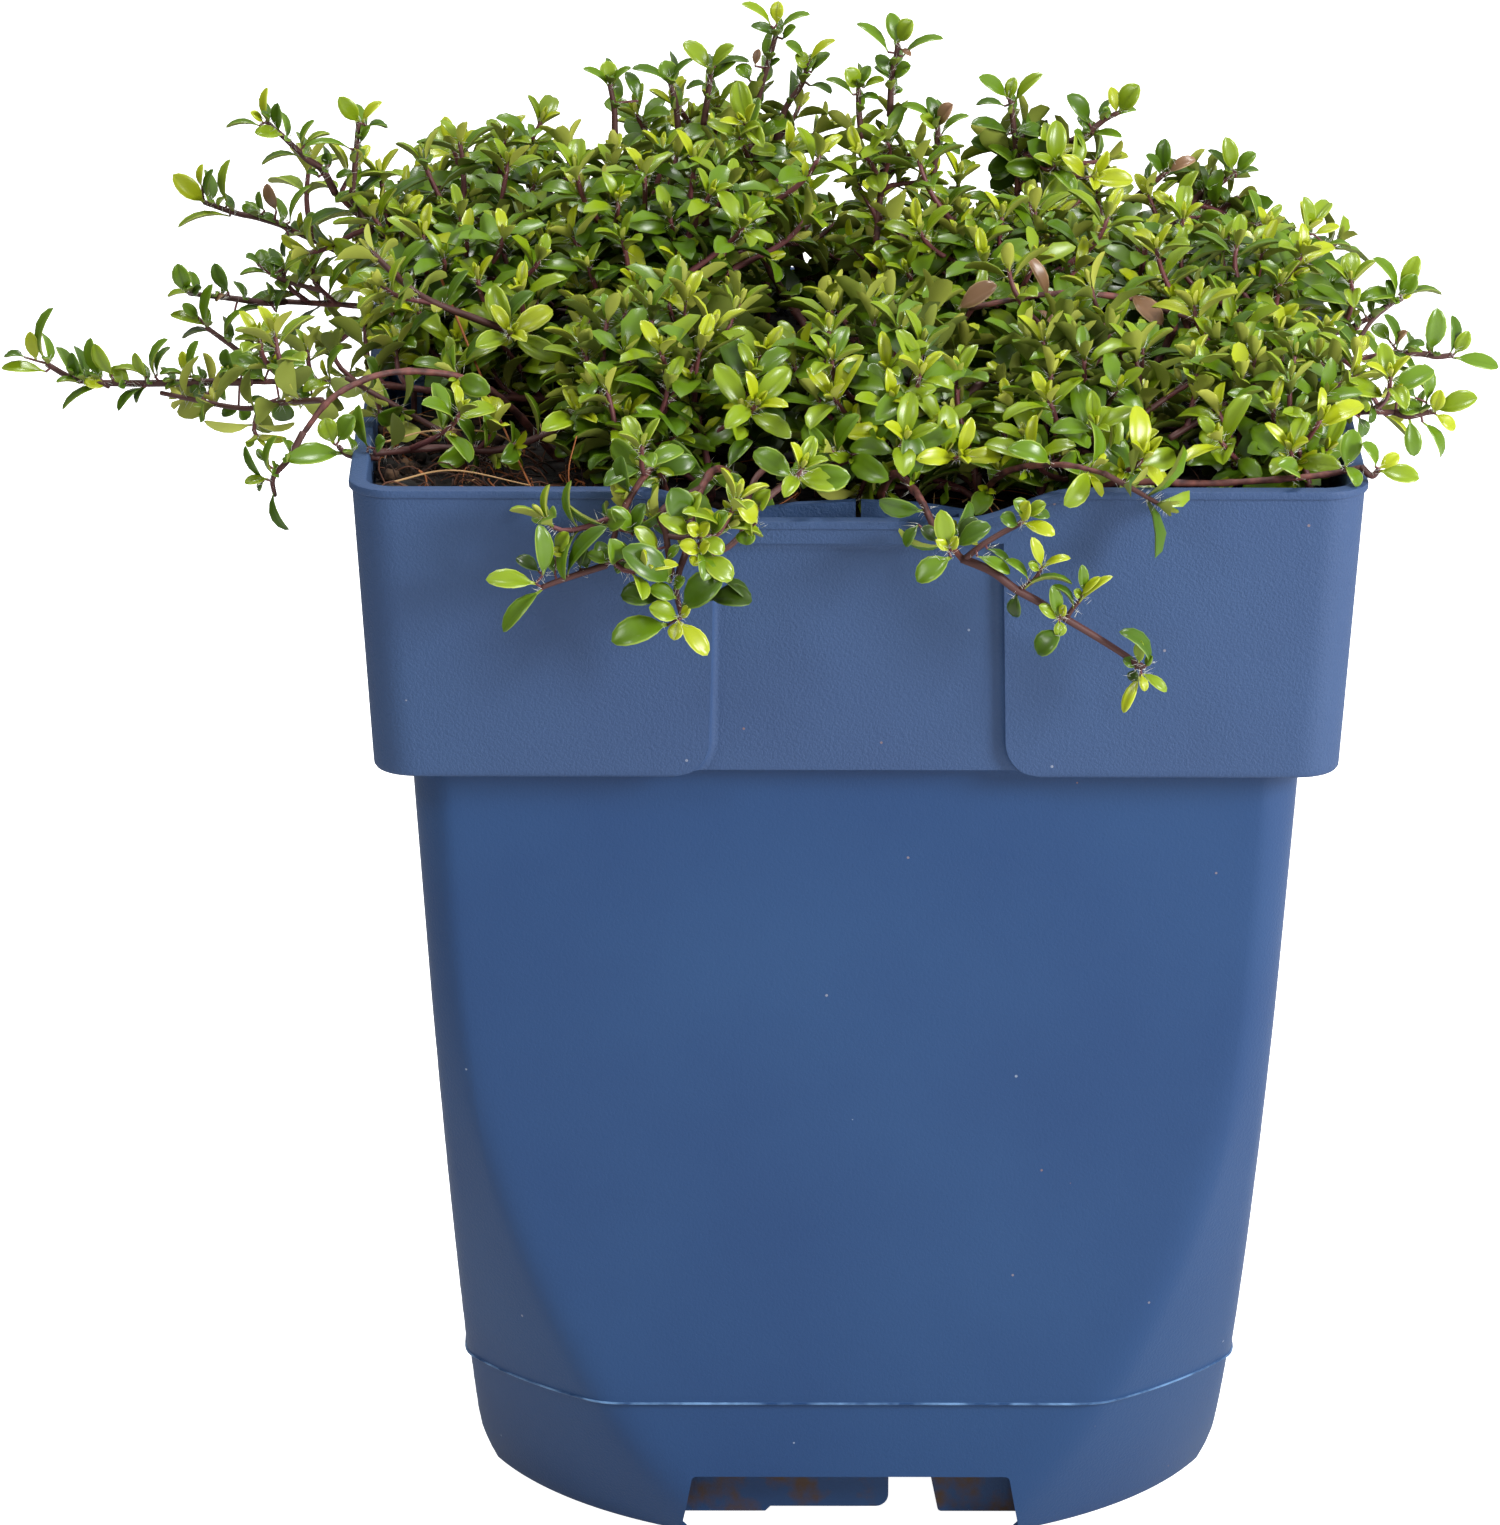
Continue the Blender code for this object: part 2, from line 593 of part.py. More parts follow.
def build_base():
    # Short woody stubs that reach from one foot in the compost towards each limb they carry.
    foot = Vector((0, 2, soil_height(0, 2) + BASE_RADIUS + GAP + 0.1))
    stubs = []
    for name in BASE_LIMBS:
        path, radii = LIMB_PATHS[name]
        ahead = (path[0] - path[1]).normalized()
        tip = path[0] + ahead * (GAP + 0.1)
        middle = foot.lerp(tip, 0.5) + Vector((0, 0, 0.8))
        points = [foot, middle, tip + ahead * 1.4, tip]
        stubs.append(swept(name + "_stub", points, [BASE_RADIUS, 1.5, radii[0] * 1.05, radii[0]], 5))
    base = join_all(stubs[0], stubs[1:], "UNION", "MANIFOLD")
    base.name = "woody_base"
    return base


def build_stub():
    foot = soil_height(-52, -38) + GAP + 0.3
    points = [(-52, -38, foot), (-51.6, -38.6, foot + 2.6), (-52.4, -39.6, foot + 4.6)]
    LIMB_PATHS["cut_stub"] = ([Vector(p) for p in points], STUB_RADII)
    return swept("cut_stub", points, STUB_RADII, 6, PLANT)


def cell_weight(name):
    radii = MASSES[name][1]
    return (sum(radii) / 3) ** 2


def in_cell(name, point):
    # Whether the point is in this mass's own space: its ellipsoid, and its side of every neighbour's.
    centre, radii = Vector(MASSES[name][0]), MASSES[name][1]
    off = point - centre
    if sum((off[k] / radii[k]) ** 2 for k in range(3)) > 1:
        return False
    own = off.length_squared - cell_weight(name)
    for other, (there, _, _, _) in MASSES.items():
        if other == name:
            continue
        there = Vector(there)
        apart = (there - centre).length
        if (point - there).length_squared - cell_weight(other) - own < 2 * CELL_MARGIN * apart:
            return False
    return True


def segment_distance(point, a, b):
    along = b - a
    share = max(0.0, min(1.0, (point - a).dot(along) / along.length_squared))
    return (point - a - along * share).length, share


def clear_of_limbs(point, margin):
    for path, radii in LIMB_PATHS.values():
        for i in range(len(path) - 1):
            distance, share = segment_distance(point, path[i], path[i + 1])
            if distance < radii[i] + margin:
                return False
    return True


def clear_of_pot(point):
    reach = max(abs(point.x), abs(point.y))
    if reach > COLLAR_HALF_TOP + ROOM_OUTSIDE:
        return True
    over_wall = reach > COLLAR_HALF_TOP - COLLAR_WALL - ROOM_INSIDE
    at_pocket = min(abs(point.x), abs(point.y)) < POCKET_HALF + ROOM_AT_POCKET
    over_pocket = at_pocket and reach > -POCKET_Y - POCKET_WALL - ROOM_AT_POCKET
    if over_wall or over_pocket:
        return point.z > POT_HEIGHT + ROOM_OVER_RIM
    return point.z > soil_height(point.x, point.y) + ROOM_OVER_SOIL


def allowed(name, point, margin):
    return in_cell(name, point) and clear_of_pot(point) and clear_of_limbs(point, margin)


def leaf_frame(axis, spin, tilt):
    # Directions along, across and up of a leaf that leaves the axis at a tilt.
    side = axis.orthogonal().normalized()
    side.rotate(Matrix.Rotation(spin, 3, axis))
    along = (axis * math.cos(tilt) + side * math.sin(tilt)).normalized()
    across = axis.cross(side).normalized()
    return along, across, along.cross(across).normalized()


def leaf_points(root, frame, size):
    # The root's upper and lower corner, the tip and the two sides: a folded blade of six faces with a keel.
    along, across, up = frame
    long, wide = LEAF_LONG * size, LEAF_WIDE * size
    start = root + along * 0.1
    tip = root + along * long - up * 0.5
    middle = root + along * long * 0.58 + up * 0.6
    flat = across * (wide / 2)
    return [start + up * LEAF_ROOT, start - up * LEAF_ROOT, tip, middle + flat, middle - flat]


def leaf_object(name, points):
    bm = bmesh.new()
    upper, lower, tip, left, right = [bm.verts.new(p * MM) for p in points]
    for corners in ((upper, left, tip), (upper, tip, right), (lower, tip, left), (lower, right, tip)):
        bm.faces.new(corners)
    bm.faces.new((upper, lower, left))
    bm.faces.new((upper, right, lower))
    return object_from(name, bm)


def samples(points):
    # Points all over a leaf, apart from its root.
    upper, lower, tip, left, right = points
    found = [tip, left, right]
    for share in (0.25, 0.5, 0.75):
        found += [corner.lerp(tip, share) for corner in (upper, lower, left, right)]
    found += [upper.lerp(left, 0.6), upper.lerp(right, 0.6)]
    return found


def start_of(name):
    centre, _, _, limb = MASSES[name]
    if limb:
        path, _ = LIMB_PATHS[limb]
        ahead = (path[-1] - path[-2]).normalized()
        return path[-1] + ahead * (GAP + 0.15), ahead
    foot = Vector([max(-FOOT_REACH, min(FOOT_REACH, value)) for value in centre])
    foot.z = soil_height(foot.x, foot.y) + GAP + 0.3
    for i in range(60):
        if all(clear_of_limbs(foot + Vector((0, 0, h)), LIMB_MARGIN + 0.4) for h in (0, 2, 4, 6, 8)):
            break
        angle = GOLDEN_ANGLE * i
        foot.x += 0.12 * i * math.cos(angle)
        foot.y += 0.12 * i * math.sin(angle)
    return foot, Vector((0, 0, 1))


def directions(count, rng, outward):
    # Evenly spread directions, leaning to the side that faces out of the plant.
    found = []
    for i in range(count * 3):
        z = 1 - 2 * (i + 0.5) / (count * 3)
        angle = GOLDEN_ANGLE * i + rng.random() * 0.3
        flat = math.sqrt(1 - z * z)
        found.append(Vector((flat * math.cos(angle), flat * math.sin(angle), z)))
    found.sort(key=lambda d: -d.dot(outward))
    outer = found[: count * 2]
    return outer[::2] + outer[1::2]


def shortened(name, root, target, margin):
    # The longest stretch of the twig that stays in its own space, or None.
    for share in (1.0, 0.85, 0.7, 0.55, 0.4):
        end = root.lerp(target, share)
        steps = [root.lerp(end, i / 8) for i in range(2, 9)]
        if all(allowed(name, p, margin) for p in steps):
            return end
    return None


def add_pair(name, point, axis, spin, tilt, scale, made, sides=2):
    # Opposite leaves. One that would leave its space is made smaller, or left out.
    before = len(made)
    for side in range(sides):
        for size in LEAF_TRIES:
            frame = leaf_frame(axis, spin + math.pi * side, math.radians(tilt))
            points = leaf_points(point, frame, size * scale)
            if all(allowed(name, p, LIMB_MARGIN) for p in samples(points)):
                made.append(leaf_object(f"{name}_leaf_{len(made)}", points))
                break
    return len(made) - before


def add_rosette(name, tip, axis, scale, rng, made, inner=2):
    # A spreading pair with an upright pair, or one upright leaf, crosswise inside it.
    spin = rng.uniform(0, math.pi)
    found = add_pair(name, tip - axis * 0.7, axis, spin, rng.uniform(44, 62), scale, made)
    return found + add_pair(name, tip, axis, spin + math.pi / 2, rng.uniform(14, 28), scale, made, inner)


def leaf_scale(name):
    # Small masses take small leaves, and the cushions that stand on the compost take few large ones.
    centre, radii, _, limb = MASSES[name]
    if not limb and centre[2] - radii[2] < SOIL_Z + CUSHION_LOW:
        return min(CUSHION_LEAF, radii[2] / CUSHION_LEAF_SHARE)
    return SMALL_LEAF if sum(radii) / 3 < SMALL_MASS else 1.0


def stem_of(name, scale):
    # The mass's stem, from its limb or the compost to its crest, its lean and the room for its twigs.
    centre, radii, _, limb = MASSES[name]
    centre = Vector(centre)
    start, ahead = start_of(name)
    outward = (centre - GROWN_FROM).normalized()
    if limb:
        outward = (outward + ahead).normalized()
    room = [max(0.6, r - LEAF_ROOM * scale) for r in radii]
    crest = centre + Vector([outward[k] * room[k] for k in range(3)])
    bend = start.lerp(crest, 0.5) + ahead * 1.5
    return smooth_path([start, bend, crest], 2), outward, room


def leaves_along(name, stem, scale, rng, made):
    # A rosette on the stem's tip and a crossed pair of leaves every few millimetres below it.
    axis = (stem[-1] - stem[-2]).normalized()
    add_rosette(name, stem[-1] - axis * 0.3, axis, scale, rng, made)
    long = sum((b - a).length for a, b in zip(stem, stem[1:]))
    spin = rng.uniform(0, math.pi)
    for i in range(1, int(long / PAIR_STEP)):
        along = i * PAIR_STEP / long * (len(stem) - 1)
        k = int(along)
        point = stem[k].lerp(stem[k + 1], along - k)
        spin += math.pi / 2
        add_pair(name, point, (stem[k + 1] - stem[k]).normalized(), spin, rng.uniform(55, 72), scale, made)


def side_twigs(name, stem, outward, room, scale, rng, made):
    # Twigs from the stem towards the outside of the mass, each with a rosette on its tip.
    centre, _, count, _ = MASSES[name]
    grown = 0
    for direction in directions(count, rng, outward):
        if grown >= count:
            break
        target = Vector(centre) + Vector([direction[k] * room[k] for k in range(3)])
        root = min(stem[1:-1], key=lambda p: (p - target).length + 1.2 * max(0.0, p.z - target.z))
        end = shortened(name, root, target, LIMB_MARGIN + TWIG_RADIUS)
        if end is None or (end - root).length < SHORTEST_TWIG:
            continue
        axis = (end - root).normalized()
        leaning = (axis + Vector((0, 0, 0.4))).normalized()
        leaves = []
        if not add_rosette(name, end, leaning, scale, rng, leaves, 1):
            continue
        made += leaves
        made.append(swept(f"{name}_twig_{grown}", [root, end + axis * 0.2], [TWIG_RADIUS, TWIG_TIP], 3))
        grown += 1


def build_mass(name, seed):
    # One stem with leaves along it and side twigs, all fused into one solid.
    rng = random.Random(seed)
    scale = leaf_scale(name)
    stem, outward, room = stem_of(name, scale)
    mass = swept(name + "_stem", stem, taper(STEM_RADIUS, TWIG_TIP, len(stem)), 3)
    parts = []
    leaves_along(name, stem, scale, rng, parts)
    side_twigs(name, stem, outward, room, scale, rng, parts)
    if parts:
        join_all(mass, parts, "UNION", "MANIFOLD")
    keep_main_body(mass)
    mass.name = name
    return mass


def keep_main_body(obj):
    # Drops loose scraps, and the skins of sealed hollows, which fills them.
    bm = bmesh.new()
    bm.from_mesh(obj.data)
    left = set(bm.faces)
    islands = []
    while left:
        todo = [left.pop()]
        island = set(todo)
        while todo:
            for edge in todo.pop().edges:
                for face in edge.link_faces:
                    if face in left:
                        left.remove(face)
                        island.add(face)
                        todo.append(face)
        islands.append(island)
    islands.sort(key=len)
    for island in islands[:-1]:
        bmesh.ops.delete(bm, geom=list(island), context="FACES")
    bmesh.ops.triangulate(bm, faces=bm.faces)
    bm.to_mesh(obj.data)
    bm.free()


def finish(obj, made_of):
    # The finished solid goes to the plant's collection, with its own material.
    obj.data.materials.clear()
    obj.data.materials.append(made_of)
    if obj.name not in PLANT.objects:
        CUTTERS.objects.unlink(obj)
        PLANT.objects.link(obj)
    obj.hide_render = False
    obj.display_type = "TEXTURED"


clear_scene()
PLANT = new_collection("potted creeping thyme")
CUTTERS = new_collection("cutters", True)
LIMB_PATHS = {}

PLASTIC = material("blue plastic", (0.055, 0.105, 0.235), 0.45)
SOIL = material("compost", (0.035, 0.02, 0.012), 0.95)
WOOD = material("thyme stem", (0.12, 0.045, 0.035), 0.7)
LEAF = material("thyme leaf", (0.10, 0.26, 0.03), 0.4)

finish(build_pot(), PLASTIC)
finish(build_compost(), SOIL)
for limb in build_limbs() + [build_stub()]:
    finish(limb, WOOD)
finish(build_base(), WOOD)
for number, mass_name in enumerate(MASSES):
    finish(build_mass(mass_name, FIRST_SEED + number), LEAF)
for helper in list(CUTTERS.objects):
    bpy.data.objects.remove(helper, do_unlink=True)
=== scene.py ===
# %% [markdown]
# A creeping thyme in a square nursery pot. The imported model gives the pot, the compost, the bare limbs and one
# plain solid for each mass of foliage. This file gives them their looks. The limbs get bark in relief, and each
# mass is grown again with real sized leaves, from the same limbs and in the same space, so that every shoot
# still hangs on what carries it. Lengths are in millimetres and are turned to metres when a mesh is made.

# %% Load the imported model
import math

import bmesh
import bpy
import numpy as np
from mathutils import Matrix, Vector


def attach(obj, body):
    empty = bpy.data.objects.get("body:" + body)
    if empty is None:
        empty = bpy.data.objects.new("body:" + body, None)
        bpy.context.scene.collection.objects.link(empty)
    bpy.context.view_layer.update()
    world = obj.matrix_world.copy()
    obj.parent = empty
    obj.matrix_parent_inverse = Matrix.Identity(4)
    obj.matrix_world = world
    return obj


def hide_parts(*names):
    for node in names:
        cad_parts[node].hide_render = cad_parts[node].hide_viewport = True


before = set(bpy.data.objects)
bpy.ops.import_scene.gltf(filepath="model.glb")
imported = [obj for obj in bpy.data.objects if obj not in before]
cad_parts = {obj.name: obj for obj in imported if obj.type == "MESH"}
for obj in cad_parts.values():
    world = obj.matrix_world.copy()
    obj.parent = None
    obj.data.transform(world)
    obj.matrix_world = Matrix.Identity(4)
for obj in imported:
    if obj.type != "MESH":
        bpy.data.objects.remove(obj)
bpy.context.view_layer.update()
MM = 0.001

# %% [markdown]
# The photograph was taken from a little above, by a camera about 1.2 metres away. Its place was worked out from
# the rim's four corners, the ledge and the foot, with the rim taken as 130 mm wide.

# %% Camera
IMAGE_WIDTH = 1500
CAMERA_AIM = Vector((-13.46, 0.06, 92.68)) * MM
CAMERA_AWAY = 1200 * MM
CAMERA_UP, CAMERA_TURN, CAMERA_ROLL = (math.radians(a) for a in (17.61, -0.26, 0.175))
FOCAL_PIXELS = 8848
SENSOR = 36.0

back = Vector((
    math.sin(CAMERA_TURN) * math.cos(CAMERA_UP),
    -math.cos(CAMERA_TURN) * math.cos(CAMERA_UP),
    math.sin(CAMERA_UP),
))
camera = bpy.data.objects.new("camera", bpy.data.cameras.new("camera"))
bpy.context.scene.collection.objects.link(camera)
camera.data.sensor_fit = "HORIZONTAL"
camera.data.sensor_width = SENSOR
camera.data.lens = FOCAL_PIXELS / IMAGE_WIDTH * SENSOR
camera.data.clip_end = 10
turned_camera = back.to_track_quat("Z", "Y").to_matrix().to_4x4() @ Matrix.Rotation(CAMERA_ROLL, 4, "Z")
camera.matrix_world = Matrix.Translation(CAMERA_AIM + back * CAMERA_AWAY) @ turned_camera
bpy.context.scene.camera = camera
print("camera at", [round(v, 3) for v in camera.location], "lens", round(camera.data.lens, 1))

# %% [markdown]
# Colours are written as the sRGB hex values that a painter would pick, and the shader wants linear light, so one
# function turns them. A second one adds a node, sets its values and links its inputs.

# %% Colour and node helpers
def linear(hex_colour):
    parts = [int(hex_colour[i:i + 2], 16) / 255 for i in (1, 3, 5)]
    return tuple(c / 12.92 if c <= 0.04045 else ((c + 0.055) / 1.055) ** 2.4 for c in parts) + (1.0,)


def add_node(tree, kind, settings=None, **inputs):
    node = tree.nodes.new(kind)
    for name, value in (settings or {}).items():
        setattr(node, name, value)
    for name, value in inputs.items():
        key = int(name[1:]) if name[0] == "_" and name[1:].isdigit() else name.replace("_", " ")
        if isinstance(value, bpy.types.NodeSocket):
            tree.links.new(value, node.inputs[key])
        else:
            node.inputs[key].default_value = value
    return node


def new_material(name, **values):
    made = bpy.data.materials.new(name)
    made.use_nodes = True
    shader = made.node_tree.nodes["Principled BSDF"]
    for key, value in values.items():
        shader.inputs[key.replace("_", " ")].default_value = value
    return made, made.node_tree, shader


print("helpers ready")

# %% [markdown]
# The light is a soft studio: one large lamp at the right, a broad one above, which puts the small white glints on
# the waxy leaves, and a weak one at the left. The photograph's ground is clean white, but the pot's left edge is
# dark, so the room is darker on the left than the camera sees it. Floor and room are white for the camera, and
# for every other ray they go from dark at the left to pale at the right. There is no film curve.

# %% Floor and light
bpy.context.scene.view_settings.view_transform = "Standard"
bpy.ops.object.select_all(action="DESELECT")
bpy.ops.mesh.primitive_plane_add(size=6, location=(0, 0, 0))
floor = bpy.context.object
floor.name = "floor"
floor_look, floor_tree, floor_shader = new_material("pale floor", Roughness=0.9)
FLOOR_WHITE = "#F9F9F8"
ROOM_LEFT = 0.16
ROOM_RIGHT = 0.62
ROOM_ABOVE = 0.3


def from_left_to_right(tree, along, left, right):
    """A number that goes from one value at the left to another at the right."""
    return add_node(tree, "ShaderNodeMapRange", _0=along, _1=-0.8, _2=0.7, _3=left, _4=right).outputs[0]


def seen_or_lit(tree, seen, lit):
    """The first number for the camera, the second one for every other ray."""
    ray = add_node(tree, "ShaderNodeLightPath").outputs["Is Camera Ray"]
    return add_node(tree, "ShaderNodeMix", _0=ray, _2=lit, _3=seen).outputs[0]


floor_place = add_node(floor_tree, "ShaderNodeTexCoord").outputs["Object"]
floor_x = add_node(floor_tree, "ShaderNodeSeparateXYZ", Vector=floor_place).outputs["X"]
floor_grey = from_left_to_right(floor_tree, floor_x, 0.2, 1.0)
floor_seen = seen_or_lit(floor_tree, linear(FLOOR_WHITE)[0], floor_grey)
floor_colour = add_node(floor_tree, "ShaderNodeCombineColor", Red=floor_seen, Green=floor_seen, Blue=floor_seen)
floor_tree.links.new(floor_colour.outputs["Color"], floor_shader.inputs["Base Color"])
floor_shader.inputs["Emission Color"].default_value = linear("#FFFFFF")
floor_glow = seen_or_lit(floor_tree, 1.0, from_left_to_right(floor_tree, floor_x, 0.0, 0.3))
floor_tree.links.new(floor_glow, floor_shader.inputs["Emission Strength"])
floor.data.materials.append(floor_look)

world = bpy.data.worlds.new("studio")
bpy.context.scene.world = world
world.use_nodes = True
room = world.node_tree
room_way = add_node(room, "ShaderNodeTexCoord").outputs["Generated"]
room_parts = add_node(room, "ShaderNodeSeparateXYZ", Vector=room_way)
room_side = from_left_to_right(room, room_parts.outputs["X"], ROOM_LEFT, ROOM_RIGHT)
room_top = add_node(room, "ShaderNodeMapRange", _0=room_parts.outputs["Z"], _1=0.0, _2=1.0, _3=0.0, _4=ROOM_ABOVE)
room_both = add_node(room, "ShaderNodeMath", {"operation": "ADD"}, _0=room_side, _1=room_top.outputs[0])
room.nodes["Background"].inputs["Color"].default_value = linear("#FCFDFF")
room.links.new(seen_or_lit(room, 1.0, room_both.outputs[0]), room.nodes["Background"].inputs["Strength"])


def soft_lamp(name, place, aim, size, watts, colour="#FFFFFF"):
    lamp = bpy.data.objects.new(name, bpy.data.lights.new(name, "AREA"))
    bpy.context.scene.collection.objects.link(lamp)
    lamp.data.shape = "DISK"
    lamp.data.size = size
    lamp.data.energy = watts
    lamp.data.color = linear(colour)[:3]
    lamp.location = place
    lamp.rotation_euler = (Vector(place) - Vector(aim)).to_track_quat("Z", "Y").to_euler()
    return lamp


soft_lamp("key lamp", (0.5, -0.42, 0.36), (0, 0, 0.11), 0.24, 4.6)
soft_lamp("side lamp", (-0.65, -0.8, 0.95), (0, 0, 0.15), 0.3, 3.4)
soft_lamp("top lamp", (-0.1, 0.15, 1.2), (0, 0, 0.15), 0.3, 6)

# %% [markdown]
# The plant is kept as a small table, the same one that the solids were made from: each limb as a few points from
# its foot to its tip with two radii, and each mass as a centre, three radii and the limb that feeds it. A mass
# with no limb stands on the compost.

# %% Limbs and masses
LIMBS = {
    "limb_left_long": (
        [(-11, -4, 147), (-30, -13, 147), (-50, -19, 149.4), (-65, -21, 151.6), (-79, -22, 152)],
        0.95, 0.65,
    ),
    "limb_left_droop": (
        [(-38, -30, 144.6), (-48, -36, 155), (-59, -41, 158.5), (-67, -45, 156.5), (-71.5, -47, 151.5)],
        0.85, 0.6,
    ),
    "limb_left_mid": (
        [(-12, 3, 148), (-34, 8, 149), (-52, 10, 151.5), (-65, 9, 154), (-76, 8, 155)],
        0.9, 0.6,
    ),
    "limb_left_up": (
        [(-10, 8, 150), (-33, 17, 150.5), (-51, 22, 152), (-63, 22, 155.5), (-76, 20, 162)],
        0.9, 0.6,
    ),
    "limb_left_top": (
        [(-35, 3, 144.6), (-50, 7, 155), (-61, 6, 163), (-69, 4, 171)],
        0.85, 0.6,
    ),
    "limb_top_a": (
        [(-6, 6, 152), (-10.5, 11, 158), (-13.3, 15, 164), (-12.6, 17, 171)],
        0.95, 0.7,
    ),
    "limb_top_b": (
        [(3.5, 3, 152), (3, 5, 160), (3.8, 8, 170)],
        0.95, 0.7,
    ),
    "limb_right_top": (
        [(9, 8, 149.5), (16, 19, 152.5), (22, 25, 160), (22.8, 26, 168)],
        0.9, 0.65,
    ),
    "limb_right_up": (
        [(28, 14, 144.8), (33, 19, 154), (41, 23, 160), (46.5, 25, 164)],
        0.85, 0.6,
    ),
    "limb_right_mid": (
        [(22, 0, 144.8), (38, 2, 150), (53, 0, 152), (64, -2, 153.5), (69, -3, 156)],
        0.85, 0.6,
    ),
    "limb_right_far": (
        [(12, -3, 147), (30, -9, 147.5), (48, -13, 150), (60, -15, 152.5), (70, -16.5, 154.5)],
        0.9, 0.6,
    ),
    "limb_right_low": (
        [(22, -18, 144.8), (38, -27, 147), (54, -33, 149.5), (64, -35, 151.6), (70, -35.5, 151.8)],
        0.85, 0.6,
    ),
    "limb_rim_runner": (
        [(22, -52, 144.8), (32, -58, 148.4), (45, -59.6, 149), (58, -59.6, 150), (64, -59, 151)],
        0.85, 0.6,
    ),
    "limb_front_right": (
        [(2, -51, 145.4), (4.5, -57, 149.4), (7.5, -63.5, 148.4), (9.5, -67.5, 145.5), (13, -70.2, 142)],
        0.9, 0.7,
    ),
    "limb_front_hop": (
        [(15, -50, 144.8), (18.5, -57, 149.6), (25.5, -64.5, 152.8), (31, -68, 152.6)],
        0.8, 0.55,
    ),
    "limb_front_left": (
        [(-13, -50, 144.8), (-17.5, -57, 150), (-20, -63.6, 149.4), (-21.3, -68.3, 146), (-22, -70, 142.5)],
        0.9, 0.7,
    ),
    "limb_front_far_left": (
        [(-24, -52, 144.8), (-25.4, -59, 150.6), (-27, -64, 151.4), (-30, -69, 147.6), (-32, -71, 141.4)],
        0.8, 0.6,
    ),
    "limb_arch": (
        [(34, -15, 144.8), (42, -12, 156), (40, -12.5, 160.2), (27, -16, 162.6), (15, -20, 161.6)],
        0.85, 0.6,
    ),
    "limb_back_left": (
        [(-22, 45, 144.8), (-28, 56, 151), (-31, 64, 154), (-33, 70, 152)],
        0.85, 0.6,
    ),
    "limb_back_right": (
        [(18, 46, 144.8), (23, 56, 151), (27, 64, 154), (30, 70, 152)],
        0.85, 0.6,
    ),
}
BASE_LIMBS = (
    "limb_left_long", "limb_left_mid", "limb_left_up",
    "limb_top_a", "limb_top_b", "limb_right_top", "limb_right_far",
)
MASSES = {
    "mass_left_long": ((-96, -23, 151), (17, 9, 8), "limb_left_long"),
    "mass_left_droop": ((-75.5, -48, 146), (6.5, 6, 9), "limb_left_droop"),
    "mass_left_mid": ((-82, 5, 156), (10.5, 10, 8), "limb_left_mid"),
    "mass_left_up": ((-84, 20, 166.5), (9, 9, 7.5), "limb_left_up"),
    "mass_left_top": ((-73, 4, 178), (11, 11, 8.5), "limb_left_top"),
    "mass_top_a": ((-10, 18, 183), (9.5, 10, 12), "limb_top_a"),
    "mass_top_b": ((6.5, 10, 182.5), (9, 10, 13), "limb_top_b"),
    "mass_right_top": ((28, 27, 175), (12, 11, 9), "limb_right_top"),
    "mass_right_up": ((50, 26, 168), (9, 10, 8), "limb_right_up"),
    "mass_right_back": ((63, 32, 155.5), (8, 10, 8), ""),
    "mass_right_mid": ((73, -3, 158.5), (8, 9, 8), "limb_right_mid"),
    "mass_right_far": ((78, -18, 156), (8.5, 8, 7), "limb_right_far"),
    "mass_right_low": ((76, -36, 150), (8, 8, 7.5), "limb_right_low"),
    "mass_right_rim": ((67.5, -59.5, 151.5), (7, 6, 6.5), "limb_rim_runner"),
    "mass_front_right": ((24, -72, 136.5), (17, 5.5, 12), "limb_front_right"),
    "mass_front_hop": ((36.5, -70.8, 151), (7.5, 6, 6.5), "limb_front_hop"),
    "mass_front_left": ((-21, -74, 136.5), (10.5, 7, 10), "limb_front_left"),
    "mass_front_far_left": ((-40, -73, 139.5), (9, 6, 7.5), "limb_front_far_left"),
    "mass_back_left": ((-35, 77, 149), (13, 10, 13), "limb_back_left"),
    "mass_back_right": ((32, 77, 149), (13, 10, 13), "limb_back_right"),
    "mass_back_a": ((-47, 43, 157), (17, 19, 13), ""),
    "mass_back_b": ((-19, 44, 158.5), (14.5, 18, 15.5), ""),
    "mass_back_c": ((12, 45, 152), (16, 18, 9), ""),
    "mass_back_d": ((43, 44, 151.5), (16, 17, 8.5), ""),
    "mass_mid_a": ((-51, -2, 159), (14, 17, 14), ""),
    "mass_mid_b": ((-25, 4, 165), (14, 18, 15), ""),
    "mass_mid_c": ((18, -2, 160), (15, 17, 12), ""),
    "mass_mid_d": ((48, 3, 157.5), (15, 17, 11.5), ""),
    "mass_front_a": ((-24, -34, 157), (14, 19, 13), ""),
    "mass_front_b": ((3, -36, 156), (13, 20, 13), ""),
    "mass_front_c": ((28, -38, 155), (12, 19, 12), ""),
    "mass_front_d": ((53, -36, 154), (11, 19, 11), ""),
}
print(len(LIMBS), "limbs and", len(MASSES), "masses")

# %% [markdown]
# Growth needs to know where it may go. A mass owns an ellipsoid, cut off where a neighbour is nearer, and nothing
# may enter the pot's wall, the compost or a limb. Each test takes a whole array of points at once.

# %% Where a leaf may be
POT_HEIGHT = 149.4
RIM_HALF = 65.0
WALL_HALF = 62.6
POCKET_HALF = 14.0
POCKET_BACK = 56.8
SOIL_Z = 143.2
LEAF_SPILL = 2.6
REACH = 1.05
CUSHION_SPREAD = np.array((1.24, 1.2, 1.06))
CUSHION_SQUARE = 3.2


def unit(vectors):
    return vectors / np.maximum(np.linalg.norm(vectors, axis=-1, keepdims=True), 1e-9)


